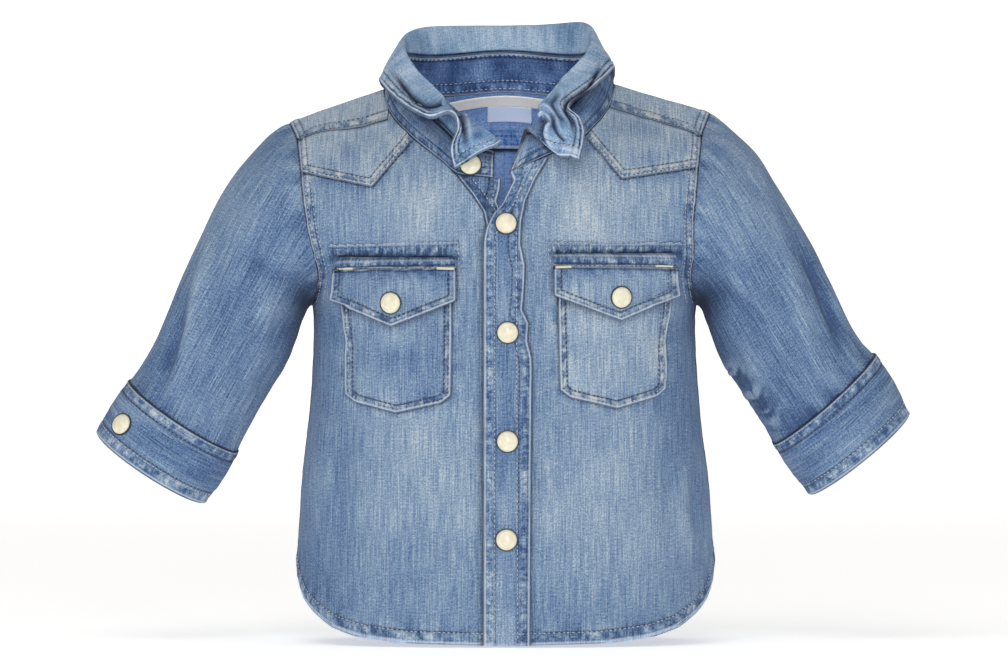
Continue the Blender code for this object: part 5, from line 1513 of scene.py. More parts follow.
for side, flat, area, seed in (("right", (60, 46), 2140, 51), ("left", (60, 44), 2080, 54)):
    sign = SIGN[side]
    inner, point, outer_corner = FRONT_YOKE[side]
    reach = np.unique(np.append(np.linspace(inner[0] + YOKE_CORNER_CLIP, point[0], YOKE_READS[0]),
                                np.linspace(point[0], outer_corner[0], YOKE_READS[1])))
    low = polyline(FRONT_YOKE[side], reach)
    neck_top = polyline(rounded(NECK[side], 1.0, 4), reach)
    high = np.where(reach < NECK[side][-1][0], neck_top, shoulder_line(reach)) - YOKE_SHORT_OF_SEAM
    high = high - 0.8 * seam_sag(sign * reach)
    up = np.linspace(0.0, 1.0, YOKE_READS[2])[:, None]
    z = low + (high - low) * up
    share, station = front_place(sign * reach + 0.0 * z, z)
    share = np.clip(share, -YOKE_OUTER_SHARE, YOKE_OUTER_SHARE)
    if sign < 0:
        share, station = share[:, ::-1], station[:, ::-1]
    x, _, z = np.moveaxis(skin(share, station), -1, 0)
    away, place = from_line(x, z, YOKE_LINES[side])
    height, faded, rubbed, painted_shade = sewn_edge(away, place, seed)
    outer, normal = body_point(share, station, LIFT + CLOTH + height)
    fade = 0.60 + 0.12 * lumps(x / 11.0, z / 9.0, seed + 2) + 0.06 * lumps(x / 4.0, z / 12.0, seed) + faded
    fade += 0.14 * hump(away - 2.4, 2.2)
    seam = (FORWARD_SEAM - station) * MM_PER_STATION - seam_sag(x)
    fade += 0.14 * puckers(seam, x, seed + 3, 1.0, 4.6, 4.0) + 0.10 * ease(16.0, 2.0, seam)
    from_arm, up_arm = side_distance(share, station)
    fade += 0.26 * arm_puckers(from_arm, up_arm)
    fade += 0.16 * hump(from_arm, 6.0) * ease(-60.0, -30.0, z)
    rubbed += 0.45 * hump(from_arm - 2.4, 1.6) * ease(-62.0, -40.0, z)
    # Painted shade along the yoke's top edge at the forward seam, and in the felled seam's grooves.
    painted_shade += 1.0 * ease(2.5, 1.5, seam)
    rubbed += 0.30 * hump(seam - 4.0, 0.7)
    painted_shade += 0.30 * hump(from_arm - 1.5, 0.6) + 0.20 * hump(from_arm - FELL_WIDTH - 0.5, 0.6)
    piece = cloth("front_yoke_cloth_" + side, outer, normal, CLOTH, skin_weave(share, station),
                  tone(fade, rubbed, painted_shade), CLOTHS,
                  seam=nearest_seam((away, place, EDGE_BAND), (from_arm, up_arm, FELL_WIDTH)))
    sew_on(piece, "front_yoke_" + side, area)

# %% [markdown]
# ## Patch pockets
#
# A patch pocket is a turned piece sewn on by its sides and pointed foot. Most wear shows on its edges.

# %% Patch pockets
POCKET_FADE = {"right": 0.36, "left": 0.60}
POCKET_READS = (70, 81)    # columns and rows
for side, flat, seed in (("right", (59, 74), 61), ("left", (58, 73), 64)):
    size, foot = POCKET[side], POCKET_FEET[side]
    low_left, low_right = size["foot_x"]
    low_x = np.unique(np.append(np.linspace(low_left, low_right, POCKET_READS[0]),
                                [p[0] for p in foot[1:4]]))
    low_z = polyline(foot, low_x)
    across = (low_x - low_left) / (low_right - low_left)
    top_x = size["x"][0] + (size["x"][1] - size["x"][0]) * across
    up = np.linspace(0.0, 1.0, POCKET_READS[1])[:, None]
    x = low_x + (top_x - low_x) * up
    z = low_z + (size["mouth"] - low_z) * up
    away, place = from_line(x, z, POCKET_LINES[side])
    height, faded, rubbed, painted_shade = sewn_edge(away, place, seed)
    soft = 0.35 * lumps(x / 13.0, z / 19.0, seed + 2)
    outer, normal, weave = on_front(x, z, POCKET_LIFT + CLOTH + height + soft)
    middle = hump(x - (low_left + low_right) / 2, 22.0) * hump(z + 140.0, 22.0)
    fade = POCKET_FADE[side] + 0.10 * middle + faded + 0.08 * soft
    fade += 0.12 * lumps(x / 15.0, z / 12.0, seed + 3)
    # A painted shadow that the flap casts on the pocket: along the flap's edge, and over the top of the
    # pocket under it.
    flap_low, _ = from_line(x, z, FLAP_LINES[side])
    painted_shade += 0.30 * hump(flap_low, 3.0) + 0.15 * ease(-125.0, -112.0, z)
    piece = cloth("pocket_cloth_" + side, outer, normal, CLOTH, weave, tone(fade, rubbed, painted_shade), CLOTHS,
                  seam=nearest_seam((away, place, EDGE_BAND)))
    sew_on(piece, "pocket_" + side)

# %% [markdown]
# ## Pocket flaps and their welts
#
# The flap is pointed like the yoke. Along its top a strip is folded into a rounded welt, and the
# flap hangs from it, so the section rises from the front, rolls over, dips at the seam and falls.

# %% Pocket flaps
# mm above the flap's top seam, mm off the skin.
WELT_ROLL = ((0.0, FLAP_LIFT + 0.9), (0.6, FLAP_LIFT + 0.8), (1.5, FLAP_LIFT + 1.9),
             (2.7, FLAP_LIFT + 2.3), (3.9, FLAP_LIFT + 1.9), (4.9, FLAP_LIFT + 0.7), (5.5, LIFT + CLOTH))
FLAP_READS = (76, 37, 17)  # columns, rows of the flap and rows of the welt

for side, flat, seed in (("right", (63, 38), 71), ("left", (63, 36), 74)):
    size = FLAP[side]
    left, right = size["x"]
    across = np.unique(np.append(np.linspace(left, right, FLAP_READS[0]), size["point"][0]))
    low = polyline(FLAP_FEET[side], across)
    hanging = low + (size["top"] - low) * np.linspace(0.0, 1.0, FLAP_READS[1])[:, None]
    roll = smooth_rows(WELT_ROLL, np.linspace(0.0, len(WELT_ROLL) - 1.0, FLAP_READS[2]))[1:]
    roll[:, 0] = roll[:, 0] * WELT_TALL[side] / WELT_ROLL[-1][0]
    z = np.concatenate([hanging, size["top"] + roll[:, :1] + 0.0 * across])
    short_left, short_right = size["welt_short"]
    welt_x = np.interp(across, (left, right), (left + short_left, right - short_right))
    x = np.array([across] * len(hanging) + [welt_x] * len(roll))
    away, place = from_line(x, z, FLAP_LINES[side])
    height, faded, rubbed, painted_shade = sewn_edge(away, place, seed)
    above = z - size["top"]
    on_welt = ease(0.2, 1.2, above)
    wedge = blocks(x / 2.9, above, seed + 4, 0.22)
    height = height * (1.0 - on_welt) + 0.36 * on_welt * wedge
    soft = 0.30 * lumps(x / 12.0, z / 15.0, seed + 2) * (1.0 - on_welt) * (1.0 - near_snaps(x, z))
    lift = np.concatenate([np.full(len(hanging), FLAP_LIFT + CLOTH), roll[:, 1]])[:, None]
    lift = lift - 0.30 * hump(above, 0.9)
    outer, normal, weave = on_front(x, z, lift + height + soft)
    fade = 0.5 * POCKET_FADE[side] + 0.22
    fade += 0.10 * lumps(x / 13.0, z / 9.0, seed + 3) + faded * (1.0 - on_welt) + 0.08 * soft
    fade += 0.05 * near_snaps(x, z, 12.0)
    gathered = hump(above, 5.0) * (1.0 - on_welt)
    from_top = WELT_TALL[side] - above
    # The gathers under the welt fade in puffs and hollows; the cloth just under the welt and the welt
    # towards its foot are made darker, as painted shade.
    fade += gathered * (0.18 * wedge - 0.24) + on_welt * (0.30 * wedge + 0.06 - 0.07 * from_top)
    wavy = above + 0.35 * lumps(x / 2.6, 0.0, seed + 5)
    rubbed = rubbed * (1.0 - on_welt) + 0.60 * hump(from_top - 1.3, 0.7) + 1.0 * hump(wavy + 0.1, 0.5)
    # Painted shade under the welt's foot, at its top and just above its foot, and over the gathers under
    # it.
    painted_shade = painted_shade * (1.0 - on_welt) + 0.60 * hump(wavy + 1.2, 0.5) + 0.5 * hump(from_top - 0.2, 0.5)
    painted_shade += 0.65 * hump(wavy - 1.2, 0.6) + 0.24 * gathered * ease(-4.0, 0.0, above)
    welt = (np.where(above > -0.4, np.abs(above), 50.0), 1.4 * x, 4.4)
    piece = cloth("flap_cloth_" + side, outer, normal, CLOTH, weave, tone(fade, rubbed, painted_shade), CLOTHS,
                  seam=nearest_seam((away + 50.0 * on_welt, place, EDGE_BAND), welt))
    sew_on(piece, "flap_" + side)

# %% [markdown]
# ## Sleeves
#
# A sleeve is one tube from the armhole to the cuff. The arm that wore it left long soft folds down
# its length, hollows under the arm, and gathers above the cuff. Each fold is given by a line as it is
# seen from the front, on the front or the back of the tube.

# %% Folds of the sleeves
# Corners of the line, height in mm, half width in mm.
SLEEVE_FOLDS = {
    ("right", "front"): (
        (((-166, -112), (-171, -130), (-176, -146), (-180.5, -163)), -3.4, 3.6),
        (((-153, -78), (-160, -104), (-166, -127), (-175, -162)), 1.9, 3.4),
        (((-122, -89), (-134, -110), (-144, -132), (-151, -160)), 1.2, 3.0),
        (((-128, -96), (-139, -116), (-148, -140), (-157, -164)), -0.9, 3.6),
        (((-152, -84), (-148, -104), (-154, -130)), -0.9, 4.0),
        (((-104, -104), (-114, -102), (-126, -96), (-134, -86)), -1.6, 4.5),
        (((-106, -114), (-118, -116), (-130, -118), (-140, -124)), 1.0, 5.0),
        (((-108, -124), (-118, -130), (-126, -142)), -0.9, 4.0),
        (((-135, -50), (-131, -70), (-124, -88)), 0.7, 6.0),
        (((-128, -140), (-136, -160), (-146, -180)), 0.8, 4.0),
    ),
    ("left", "front"): (
        (((150.8, -78.5), (163.8, -103), (172.6, -127), (178, -146)), -3.6, 3.2),
        (((143, -80), (155, -118.5), (163.8, -154)), 1.7, 3.6),
        (((166, -92), (175, -116), (181, -138)), 1.2, 3.0),
        (((118.6, -75), (124, -83), (127.4, -92.6)), 0.7, 1.6),
        (((103, -104), (112, -107), (122, -114), (133, -130)), -1.5, 4.5),
        (((112, -100), (124, -104), (136, -118), (146, -142)), 1.0, 4.5),
        (((118, -128), (124, -142), (134, -160)), 0.8, 4.5),
        (((120, -46), (126, -62), (134, -80)), 0.6, 5.0),
        (((140, -140), (146, -156), (152, -170)), -0.8, 3.5),
    ),
    ("right", "back"): (
        (((-160, -90), (-168, -118), (-176, -150)), -2.0, 5.0),
        (((-104, -104), (-118, -104), (-134, -112)), -1.8, 5.0),
        (((-106, -116), (-122, -124), (-134, -140)), 1.1, 5.0),
        (((-134, -60), (-144, -96), (-156, -134)), 1.0, 6.0),
        (((-120, -130), (-132, -152), (-144, -176)), -0.9, 5.0),
    ),
    ("left", "back"): (
        (((156, -84), (166, -110), (174, -142)), -2.0, 5.0),
        (((104, -104), (120, -106), (134, -116)), -1.8, 5.0),
        (((108, -118), (122, -126), (136, -146)), 1.1, 5.0),
        (((132, -56), (144, -90), (154, -126)), 1.0, 6.0),
        (((122, -132), (132, -152), (146, -172)), -0.9, 5.0),
    ),
}
FELL_CRINKLE = ((118, -150), (128, -160), (142, -178))    # twisted seam above the left cuff


def sleeve_rows(side, at, points):
    """Rings of a sleeve at places along its table, before any fold."""
    loop, loop_normal = armhole(side, points)
    tip = (abs(loop[points // 2, 0]), loop[points // 2, 2])
    start = (tip[0], tip[1], abs(loop[0, 0]), loop[0, 2]) + ARMHOLE_OVAL + (1.0, 0.0)
    table = np.array((start,) + SLEEVE[side])
    rows = smooth_rows(table, at)
    own_shape = loop - tube_rings(side, table[:1], points)[0]
    keep = rows[:, SLEEVE_COLUMNS.index("armhole")][:, None, None]
    return tube_rings(side, rows, points) + keep * own_shape, loop_normal


def around_along(rings):
    """Places of a tube's points in mm: round it from its outer side, and along it from its first ring."""
    step = np.linalg.norm(np.roll(rings, -1, axis=1) - rings, axis=2)
    around = np.cumsum(step, axis=1) - step
    middle = around.shape[1] // 2
    down = np.linalg.norm(np.diff(rings, axis=0), axis=2).mean(axis=1)
    down = np.concatenate([[0.0], np.cumsum(down)])[:, None] + 0.0 * around
    return around - around[:, middle:middle + 1], down


def straight_weave(rings, low, high):
    """Flat place of a tube's points when its warp runs straight down it, with the seam under the arm."""
    begin, end = rings[low].mean(axis=0), rings[high].mean(axis=0)
    axis = unit(end - begin)
    front = unit(np.array((0.0, -1.0, 0.0)) + axis * axis[1])
    out = rings - begin
    down = out @ axis
    off = out - down[..., None] * axis
    turn = np.unwrap(np.arctan2(off @ np.cross(axis, front), off @ front), axis=1)
    size = np.linalg.norm(off, axis=2).mean(axis=1)
    size = np.interp(np.arange(len(rings)), [0, low, high], [size[low], size[low], size[high]])
    return np.stack([turn * size[:, None], down], -1)


GRIDS = {}
SLEEVE_ROUND, SLEEVE_LONG = 200, 140
SLEEVE_FADE = {"right": 0.32, "left": 0.30}
for side, flat, area in (("right", (266, 122), 26900), ("left", (264, 118), 26100)):
    sign = SIGN[side]
    at = np.linspace(0.0, len(SLEEVE[side]), SLEEVE_LONG + 1)
    rings, loop_normal = sleeve_rows(side, at, SLEEVE_ROUND)
    normals = ring_normals(rings, sign)
    blend = ease(0.0, 1.1, at)[:, None, None]
    normals = unit(loop_normal * (1.0 - blend) + normals * blend)
    round_sleeve, up_sleeve = around_along(rings)
    x, z = rings[..., 0], rings[..., 2]
    height = np.zeros(x.shape)
    for face, facing in (("front", -normals[..., 1]), ("back", normals[..., 1])):
        height += fold_heights(x, z, SLEEVE_FOLDS[side, face]) * ease(-0.05, 0.35, facing)
    from_armhole, from_cuff = up_sleeve, up_sleeve[-1:] - up_sleeve
    seed = 81 if side == "right" else 91
    ripple = lumps(round_sleeve / 15.0, up_sleeve / 34.0, seed)
    fine_ripple = lumps(round_sleeve / 6.0, up_sleeve / 13.0, seed + 1)
    bent = 0.3 * lumps(up_sleeve / 9.0, 0.0, seed + 2)
    gathers = lumps(round_sleeve / 7.5 + bent, up_sleeve / 60.0, seed + 3) * np.exp(-from_cuff / 11.0)
    head = puckers(from_armhole, round_sleeve, seed + 4, 1.0, 4.4, 5.0)
    height += 0.50 * ripple + 0.20 * fine_ripple + 0.9 * gathers + 0.32 * head
    crinkle = np.zeros(x.shape)
    if side == "left":
        away, place = from_line(x, z, FELL_CRINKLE)
        crinkle = blocks(place / 2.4 + away / 4.0, 3.0 * away, 97) * hump(away, 5.0)
        crinkle = crinkle * (normals[..., 1] < 0.1)
        height += 0.60 * crinkle
    height = height * ease(-2.0, 5.0, from_armhole)
    height = height - 0.5 * hump(from_armhole, 1.6) + 0.35 * hump(from_cuff, 0.8)
    outer = rings + normals * height[..., None]
    outer[0] = outer[0] + unit(rings[4] - rings[0]) * SEAM
    pale = ease(-118.0, -40.0, z)
    fade = SLEEVE_FADE[side] + 0.14 * pale + 0.10 * lumps(round_sleeve / 24.0, up_sleeve / 30.0, seed + 5)
    fade += 0.09 * height + 0.16 * gathers + 0.16 * head + 0.22 * np.clip(crinkle, -1, 1)
    fade -= 0.10 * hump(z + 112.0, 16.0) * ease(128.0, 106.0, np.abs(x))
    fade -= 0.08 * hump(from_cuff, 5.0)
    rubbed = 0.30 * np.clip(crinkle, 0, 1) + 0.25 * hump(from_armhole - 0.4, 0.7)
    # Painted shade at the armhole and cuff seams, a painted shadow in the armpit, and painted shade in the
    # crinkle's hollows.
    painted_shade = 0.45 * hump(from_armhole, 0.8) + 0.25 * hump(from_cuff, 1.4)
    painted_shade += 0.8 * hump(np.hypot(np.abs(x) - 103.0, z + 114.0), 10.0)
    painted_shade += 0.30 * np.clip(crinkle, -1, 0) ** 2
    warp = straight_weave(rings, SLEEVE_LONG // 6, SLEEVE_LONG)
    piece = cloth("sleeve_cloth_" + side, outer, normals, CLOTH, warp, tone(fade, rubbed, painted_shade),
                  CLOTHS, ring=True,
                  seam=nearest_seam((from_armhole, round_sleeve, NO_BAND),
                                    (from_cuff, round_sleeve, NO_BAND)))
    GRIDS["sleeve_" + side] = (outer, normals)
    sew_on(piece, "sleeve_" + side, area=area)

# %% [markdown]
# ## Cuffs
#
# A cuff is a folded band with its grain running round the arm. It is sewn at its seam, again 6 mm
# below it, and once more above its lower edge; the strips between these lines are roped.

# %% Cuffs
CUFF_STRIP = 5.2           # mm from the seam to the second row of stitches
CUFF_LOW_STRIP = 6.4       # mm from the lower edge to its row of stitches
CUFF_LONG = 40

for side, flat, seed in (("right", (168, 38), 101), ("left", (176, 40), 111)):
    sign = SIGN[side]
    rings = tube_rings(side, CUFF[side], SLEEVE_ROUND)
    end = tube_rings(side, SLEEVE[side][-2:], SLEEVE_ROUND)
    rings[0] = end[1] + unit(end[1] - end[0]) * SEAM + ring_normals(rings, sign)[0] * CUFF_OVERHANG
    at = np.linspace(0.0, 2.0, CUFF_LONG + 1)
    rings = smooth_rows(rings.reshape(3, -1), at).reshape(CUFF_LONG + 1, -1, 3)
    normals = ring_normals(rings, sign)
    around, down = around_along(rings)
    from_end = down[-1:] - down
    top_strip = hump(down - 2.8, 2.2) * blocks(around / 4.4, down, seed, 0.2)
    low_strip = hump(from_end - 3.2, 2.4) * blocks(around / 4.6, down, seed + 1, -0.2)
    middle = ease(5.0, 9.0, down) * ease(6.0, 10.0, from_end)
    soft = middle * (0.30 * lumps(around / 19.0, down / 9.0, seed + 2)
                     + 0.12 * lumps(around / 14.0, down / 2.4, seed + 3))
    grooves = hump(down - CUFF_STRIP, 0.7) + hump(from_end - CUFF_LOW_STRIP, 0.7)
    height = 0.40 * top_strip + 0.40 * low_strip + soft - 0.30 * grooves + 0.18 * hump(from_end, 1.2)
    outer = rings + normals * height[..., None]
    fade = 0.36 + 0.22 * top_strip + 0.24 * low_strip + 0.25 * soft
    fade += 0.10 * (hump(down, 4.0) + hump(from_end, 4.0))
    fade += 0.13 * lumps(around / 30.0, down / 12.0, seed + 4)
    fade += 0.10 * middle * lumps(around / 22.0, down / 2.0, seed + 5)
    rubbed = 0.55 * hump(from_end, 0.9) + 0.25 * hump(down, 0.8)
    # Painted shade in the stitch grooves and at the seam to the sleeve.
    painted_shade = 0.22 * grooves + 0.30 * hump(down, 0.6)
    piece = cloth("cuff_cloth_" + side, outer, normals, BAND, np.stack([down, around], -1),
                  tone(fade, rubbed, painted_shade), BANDS, ring=True,
                  seam=nearest_seam((down, around, CUFF_STRIP), (from_end, around, CUFF_LOW_STRIP)))
    GRIDS["cuff_" + side] = (outer, normals)
    sew_on(piece, "cuff_" + side)

# %% [markdown]
# ## Collar
#
# The collar is two pieces: a stand that rises from the neck, and a leaf that folds over it. The
# stand is seen inside at the back, and at both front ends. Towards its front ends the leaf has been
# crushed, the left end the most: creases run along it there and its worn free edge waves.

# %% Collar stand
COLLAR_READS_FINE = 200    # sections read from each half
STAND_UP = 22


def soften(points, times):
    """Round the corners of rows of points along their second axis, ends fixed."""
    points = points.copy()
    for _ in range(times):
        points[..., 1:-1, :] = (points[..., :-2, :] + 2 * points[..., 1:-1, :] + points[..., 2:, :]) / 4
    return points


# Creases of the leaf as seen from the front: corners, height, half width, how rubbed, and how dark the
# painted shade in it is.
LEAF_CREASES = {
    "right": (
        (((-61.9, 8.4), (-56.7, 3.4), (-52.5, -2.1), (-49, -6.3), (-45, -9.8), (-40.6, -11.6),
          (-35.6, -10.8), (-32.4, -9.4), (-28.2, -9.6), (-24.8, -13.2), (-22.2, -19), (-20.8, -26.3),
          (-20.6, -31.5), (-17.6, -35.4)),
         -2.4, 1.6, 0, 1.0),
        (((-29.1, -8.8), (-25, -10.9), (-21.6, -15.6), (-19.8, -20.8), (-18.7, -26.5), (-16.6, -31.7)),
         1.5, 1.1, 0.75, 0),
        (((-23.9, -34.3), (-21.3, -38), (-18.2, -41.1)),
         -0.7, 1.6, 0, 0.35),
        (((-15.1, -17.7), (-13, -22.9), (-14, -28.1)),
         -0.5, 1.6, 0, 0.25),
    ),
    "left": (
        (((13.5, -19.2), (15.6, -16.1), (19.5, -15.5), (23.4, -18.1), (23.9, -20), (21.6, -22.6),
          (21.3, -26.5), (23.9, -31.1), (27.3, -35.6)),
         1.4, 0.9, 0.95, 0),
        (((16.1, -20.8), (18.7, -18.5), (21.1, -19.5), (19.5, -22.9), (18.7, -26), (20.3, -30.7)),
         -1.6, 1.5, 0, 0.95),
        (((33.6, -33.3), (36.4, -36.9)),
         0.4, 2.6, 0.9, 0),
        (((48.4, 14.6), (49.4, 8.8), (47.3, 3.6), (44.2, -1.3), (40, -4.7), (35.9, -7), (32.2, -9.9),
          (30.9, -13.5), (32.2, -16.6), (34.6, -19.2), (35.6, -23.4), (36.7, -29.1)),
         -2.2, 1.2, 0, 1.0),
        (((29.1, -2.1), (30.2, -6.8), (28.9, -11.4), (30.2, -15.6), (33.3, -19.2), (33.8, -22.4)),
         1.4, 1.1, 0.65, 0),
        (((27.6, -3.6), (26.5, -7.3), (23.9, -10.4), (26, -14), (28.1, -17.7), (31.7, -19.5)),
         -1.6, 1, 0, 0.85),
        (((16.6, -12.5), (20.8, -11.7), (24.4, -13.5), (27, -17.2), (27.6, -21.8), (29.6, -25.5)),
         1.5, 0.9, 0.8, 0),
        (((22.9, -15.1), (25, -17.7), (25.2, -21.8), (27, -25.5), (29.6, -28.6), (32.8, -31.2)),
         -1.6, 0.9, 0, 0.95),
        (((28.6, -32.2), (32.8, -34.3), (37.4, -34.8)),
         0.7, 1.6, 0.55, 0),
    ),
}
# The same on the stand, where the leaf shades it.
STAND_CREASES = {
    "right": (
        (((-38, -19.2), (-33.3, -19.8), (-28.6, -19.2)),
         0, 3, 0, 0.85),
        (((-44, -19), (-37, -25), (-31.5, -33)),
         0, 4.5, 0, 0.5),
        (((-29.1, -23.9), (-31.2, -30.2), (-30.2, -37.4)),
         0, 1.8, 0, 0.45),
        (((-55.6, -12.5), (-48.4, -18.7), (-41.6, -20.8)),
         0, 2.2, 0, 0.35),
    ),
    "left": (
        (((21.3, -26.5), (23.9, -31.1), (27.3, -35.6)),
         0.8, 0.8, 0.7, 0),
        (((18.7, -26), (20.3, -30.7), (23.4, -35.4)),
         0, 1.8, 0, 0.9),
        (((18.2, -18.7), (19.8, -21.8), (20.3, -25.5), (21.8, -29.6), (23.4, -33.3)),
         0, 2.6, 0, 0.95),
        (((38, -9.9), (43.2, -7.8), (49.4, -2.1)),
         0, 2.2, 0, 0.4),
        (((9.9, -29.1), (6.8, -35.4), (4.7, -41.6)),
         0.4, 1.6, 0.7, 0),
    ),
}


def creased(points, facing, tables):
    """Height, rubbed wear and painted shade of creases that are seen from the front."""
    x, z = points[..., 0], points[..., 2]
    height, rubbed, painted_shade = np.zeros(x.shape), np.zeros(x.shape), np.zeros(x.shape)
    seen = ease(0.55, 0.15, facing) * ease(10.0, -5.0, points[..., 1])
    for line, tall, half, white, painted_dark in tables["right"] + tables["left"]:
        fine = rounded(line, 0.8, 3)
        away, place = from_line(x, z, fine)
        length = lengths_along(fine)[-1]
        soft = min(14.0, 0.25 * length)
        mark = seen * hump(away, half) * ease(-1.0, soft, place) * ease(-1.0, soft, length - place)
        height, rubbed = height + tall * mark, rubbed + white * mark
        painted_shade = np.maximum(painted_shade, painted_dark * mark)
    return height, rubbed, painted_shade


collar_read = both_halves(COLLAR_READS_FINE)
base, base_normal, stand_top, fold, edge = [soften(part[None], 60)[0] for part in collar_read]
base_normal = unit(base_normal)
share = np.linspace(0.0, 1.0, STAND_UP + 1)[:, None, None]
grid = base + (stand_top - base) * share + unit(base * FLAT) * np.sin(math.pi * share) * STAND_BULGE
normals = unit(np.cross(np.gradient(grid, axis=0), np.gradient(grid, axis=1)))
blend = ease(0.0, 0.25, share)
normals = unit(base_normal * (1.0 - blend) + normals * blend)
from_top = np.linalg.norm(grid - grid[-1:], axis=2)
from_seam = np.linalg.norm(grid - grid[:1], axis=2)
along_neck = lengths_along(base)[None] + 0.0 * from_seam
from_left_end = along_neck[:, -1:] - along_neck
height = 0.22 * lumps(along_neck / 6.0, from_seam / 9.0, 121) * ease(0.5, 4.0, from_seam)
strip = hump(from_seam - 3.0, 2.0) * blocks(along_neck / 4.2, from_seam, 122, 0.1)
height += 0.26 * strip - 0.25 * (hump(from_seam - 1.2, 0.5) + hump(from_seam - 5.2, 0.5))
# The creases on the stand give mostly painted shade, under the leaf's edge, and rubbed wear on two ridges.
pressed, worn, hidden = creased(grid, normals[..., 1], STAND_CREASES)
height += pressed
grid[0] = grid[0] + unit(grid[1] - grid[0]) * SEAM
outer = grid + normals * height[..., None]
fade = 0.33 + 0.22 * lumps(along_neck / 8.0, from_seam / 7.0, 123) + 0.20 * strip
fade += 0.14 * lumps(along_neck / 3.4, from_seam / 9.0, 144)
ends = hump(along_neck, 0.9) + hump(from_left_end, 0.9)
rubbed = 0.8 * ends + 0.45 * hump(from_top - 0.5, 0.45) + 0.5 * hump(from_seam - 0.6, 0.5) + worn
# Painted shade in the stitch grooves, under the stand's top edge where the leaf covers it, and over the
# front ends under the leaf; the creases' painted shade is laid over it.
painted_shade = 0.35 * hump(from_seam - 1.4, 0.5) + 0.30 * hump(from_seam - 5.2, 0.5)
front_part = ease(10.0, -20.0, grid[..., 1])
painted_shade += 0.4 * hump(from_top - 2.0, 0.6) + front_part * (0.45 * ease(10.0, 3.0, from_top) + 0.10)
painted_shade = np.maximum(painted_shade, hidden)
stand_inside = denim("inside face of the stand", ("#293E69", "#3B5480", "#4E6B9A", "#6683B0",
                                                  "#88A2C6", "#B4C6DC"), slub=0.4, bump=0.4)
piece = cloth("collar_stand_cloth", outer, normals, BAND, np.stack([from_seam, along_neck], -1),
              tone(fade, rubbed, painted_shade), [band_denim, stand_inside],
              seam=nearest_seam((from_seam, along_neck, 4.8), (along_neck, from_seam, 4.0),
                                (from_left_end, from_seam, 4.0), (from_top, along_neck, 2.2)))
GRIDS["collar_stand"] = (outer, normals)
GRIDS["stand_inside"] = (outer - normals * (BAND + 0.05), -normals)
sew_on(piece, "collar_stand")

# %% [markdown]
# The leaf is lofted from the stand's top, over the fold, to the free edge. Its edges are turned and
# sewn, so they are thick, and waves grow towards the free edge near both front ends.

# %% Collar leaf
# Rows of the leaf from the stand to its free edge, closest where the edge rolls.
LEAF_ROWS = np.concatenate([np.linspace(0.0, 2.0, 9)[:-1], np.linspace(2.0, 5.0, 31)[:-1],
                            np.linspace(5.0, 6.0, 29)])
outward = unit(unit(edge - stand_top) * (1.0, 1.0, LEAF_RISE))
start = stand_top + unit(stand_top - base) * LEAF_ABOVE_STAND - outward * LEAF_START_IN
profile = [start, start + (fold - start) * 0.5 - outward * LEAF_START_IN, fold]
for share, swell, drop in LEAF_BOW:
    profile.append(fold + (edge - fold) * share + outward * swell + np.array((0.0, 0.0, drop)))
profile = np.array(profile)
grid = smooth_rows(profile.reshape(len(profile), -1), LEAF_ROWS).reshape(len(LEAF_ROWS), -1, 3)
normals = unit(np.cross(np.gradient(grid, axis=1), np.gradient(grid, axis=0)))
lengths = np.linalg.norm(np.diff(grid, axis=0), axis=2)
down = np.concatenate([np.zeros((1, grid.shape[1])), np.cumsum(lengths, axis=0)])
from_edge = down[-1:] - down
fold_row = int(np.searchsorted(LEAF_ROWS, 2.0))
past_fold = down - down[fold_row:fold_row + 1]
from_right_end = lengths_along(grid[-1])[None] + 0.0 * down
from_left_end = from_right_end[:, -1:] - from_right_end
from_end = np.minimum(from_right_end, from_left_end)
border = np.minimum(from_edge, from_end)
place = np.where(from_edge < from_end, from_right_end, down)
rolled = 0.35 + 0.85 * ease(95.0, 60.0, from_end)
crushed = ease(110.0, 80.0, from_end) * ease(2.0, 9.0, from_end)
wander = 0.45 * lumps(from_right_end / 4.6, 0.0, 138) + 0.25 * lumps(from_right_end / 2.1, 0.0, 139)
uneven = from_edge + wander * crushed
height = rolled * hump(uneven - 0.8, 0.8) + 0.9 * crushed * hump(uneven - 2.9, 0.8)
height = height - 0.32 * hump(border - 4.6, 0.8) + 0.35 * hump(from_end - 0.6, 0.8)
ripple = blocks(place / 4.8, border, 131, 0.1) * hump(border - 2.8, 2.0)
height += 0.26 * ripple
height += 0.30 * lumps(from_right_end / 14.0, down / 10.0, 132) * ease(0, 8, past_fold)
wrinkle = lumps(from_right_end / 5.0 + down / 16.0, down / 12.0, 143)
height += 0.22 * wrinkle * ease(-2.0, 3.0, past_fold)
crush = np.zeros(down.shape)
for reach, span, tall, wave, seed in ((from_left_end, 55.0, 0.9, 11.0, 133),
                                      (from_right_end, 40.0, 0.6, 14.0, 134)):
    near = ease(span, 6.0, reach) * ease(2.0, 16.0, past_fold)
    crush += tall * near * lumps(reach / wave + down / 23.0, down / 31.0, seed)
# The creases give height, rubbed wear on their ridges and painted shade in their troughs.
pressed, worn, hidden = creased(grid, normals[..., 1], LEAF_CREASES)
height = np.clip(height + crush + pressed, -2.6, 2.4)
outer = grid + normals * (BAND / 2 + height)[..., None]
inner = grid + normals * (height - BAND / 2)[..., None]
fade = 0.44 + 0.22 * ease(-22.0, 2.0, grid[..., 2]) + 0.12 * lumps(from_right_end / 12.0, down / 9.0, 135)
fade += 0.14 * ripple + 0.07 * crush + 0.16 * wrinkle
rubbed = (0.70 + 0.25 * lumps(place / 7.0, 0.0, 137)) * hump(border - 0.5, 0.9) + worn
rubbed += 0.15 * hump(past_fold, 2.0)
rubbed += crushed * (0.75 * hump(uneven - 2.9, 0.7) + 0.4 * hump(uneven - 0.7, 0.7))
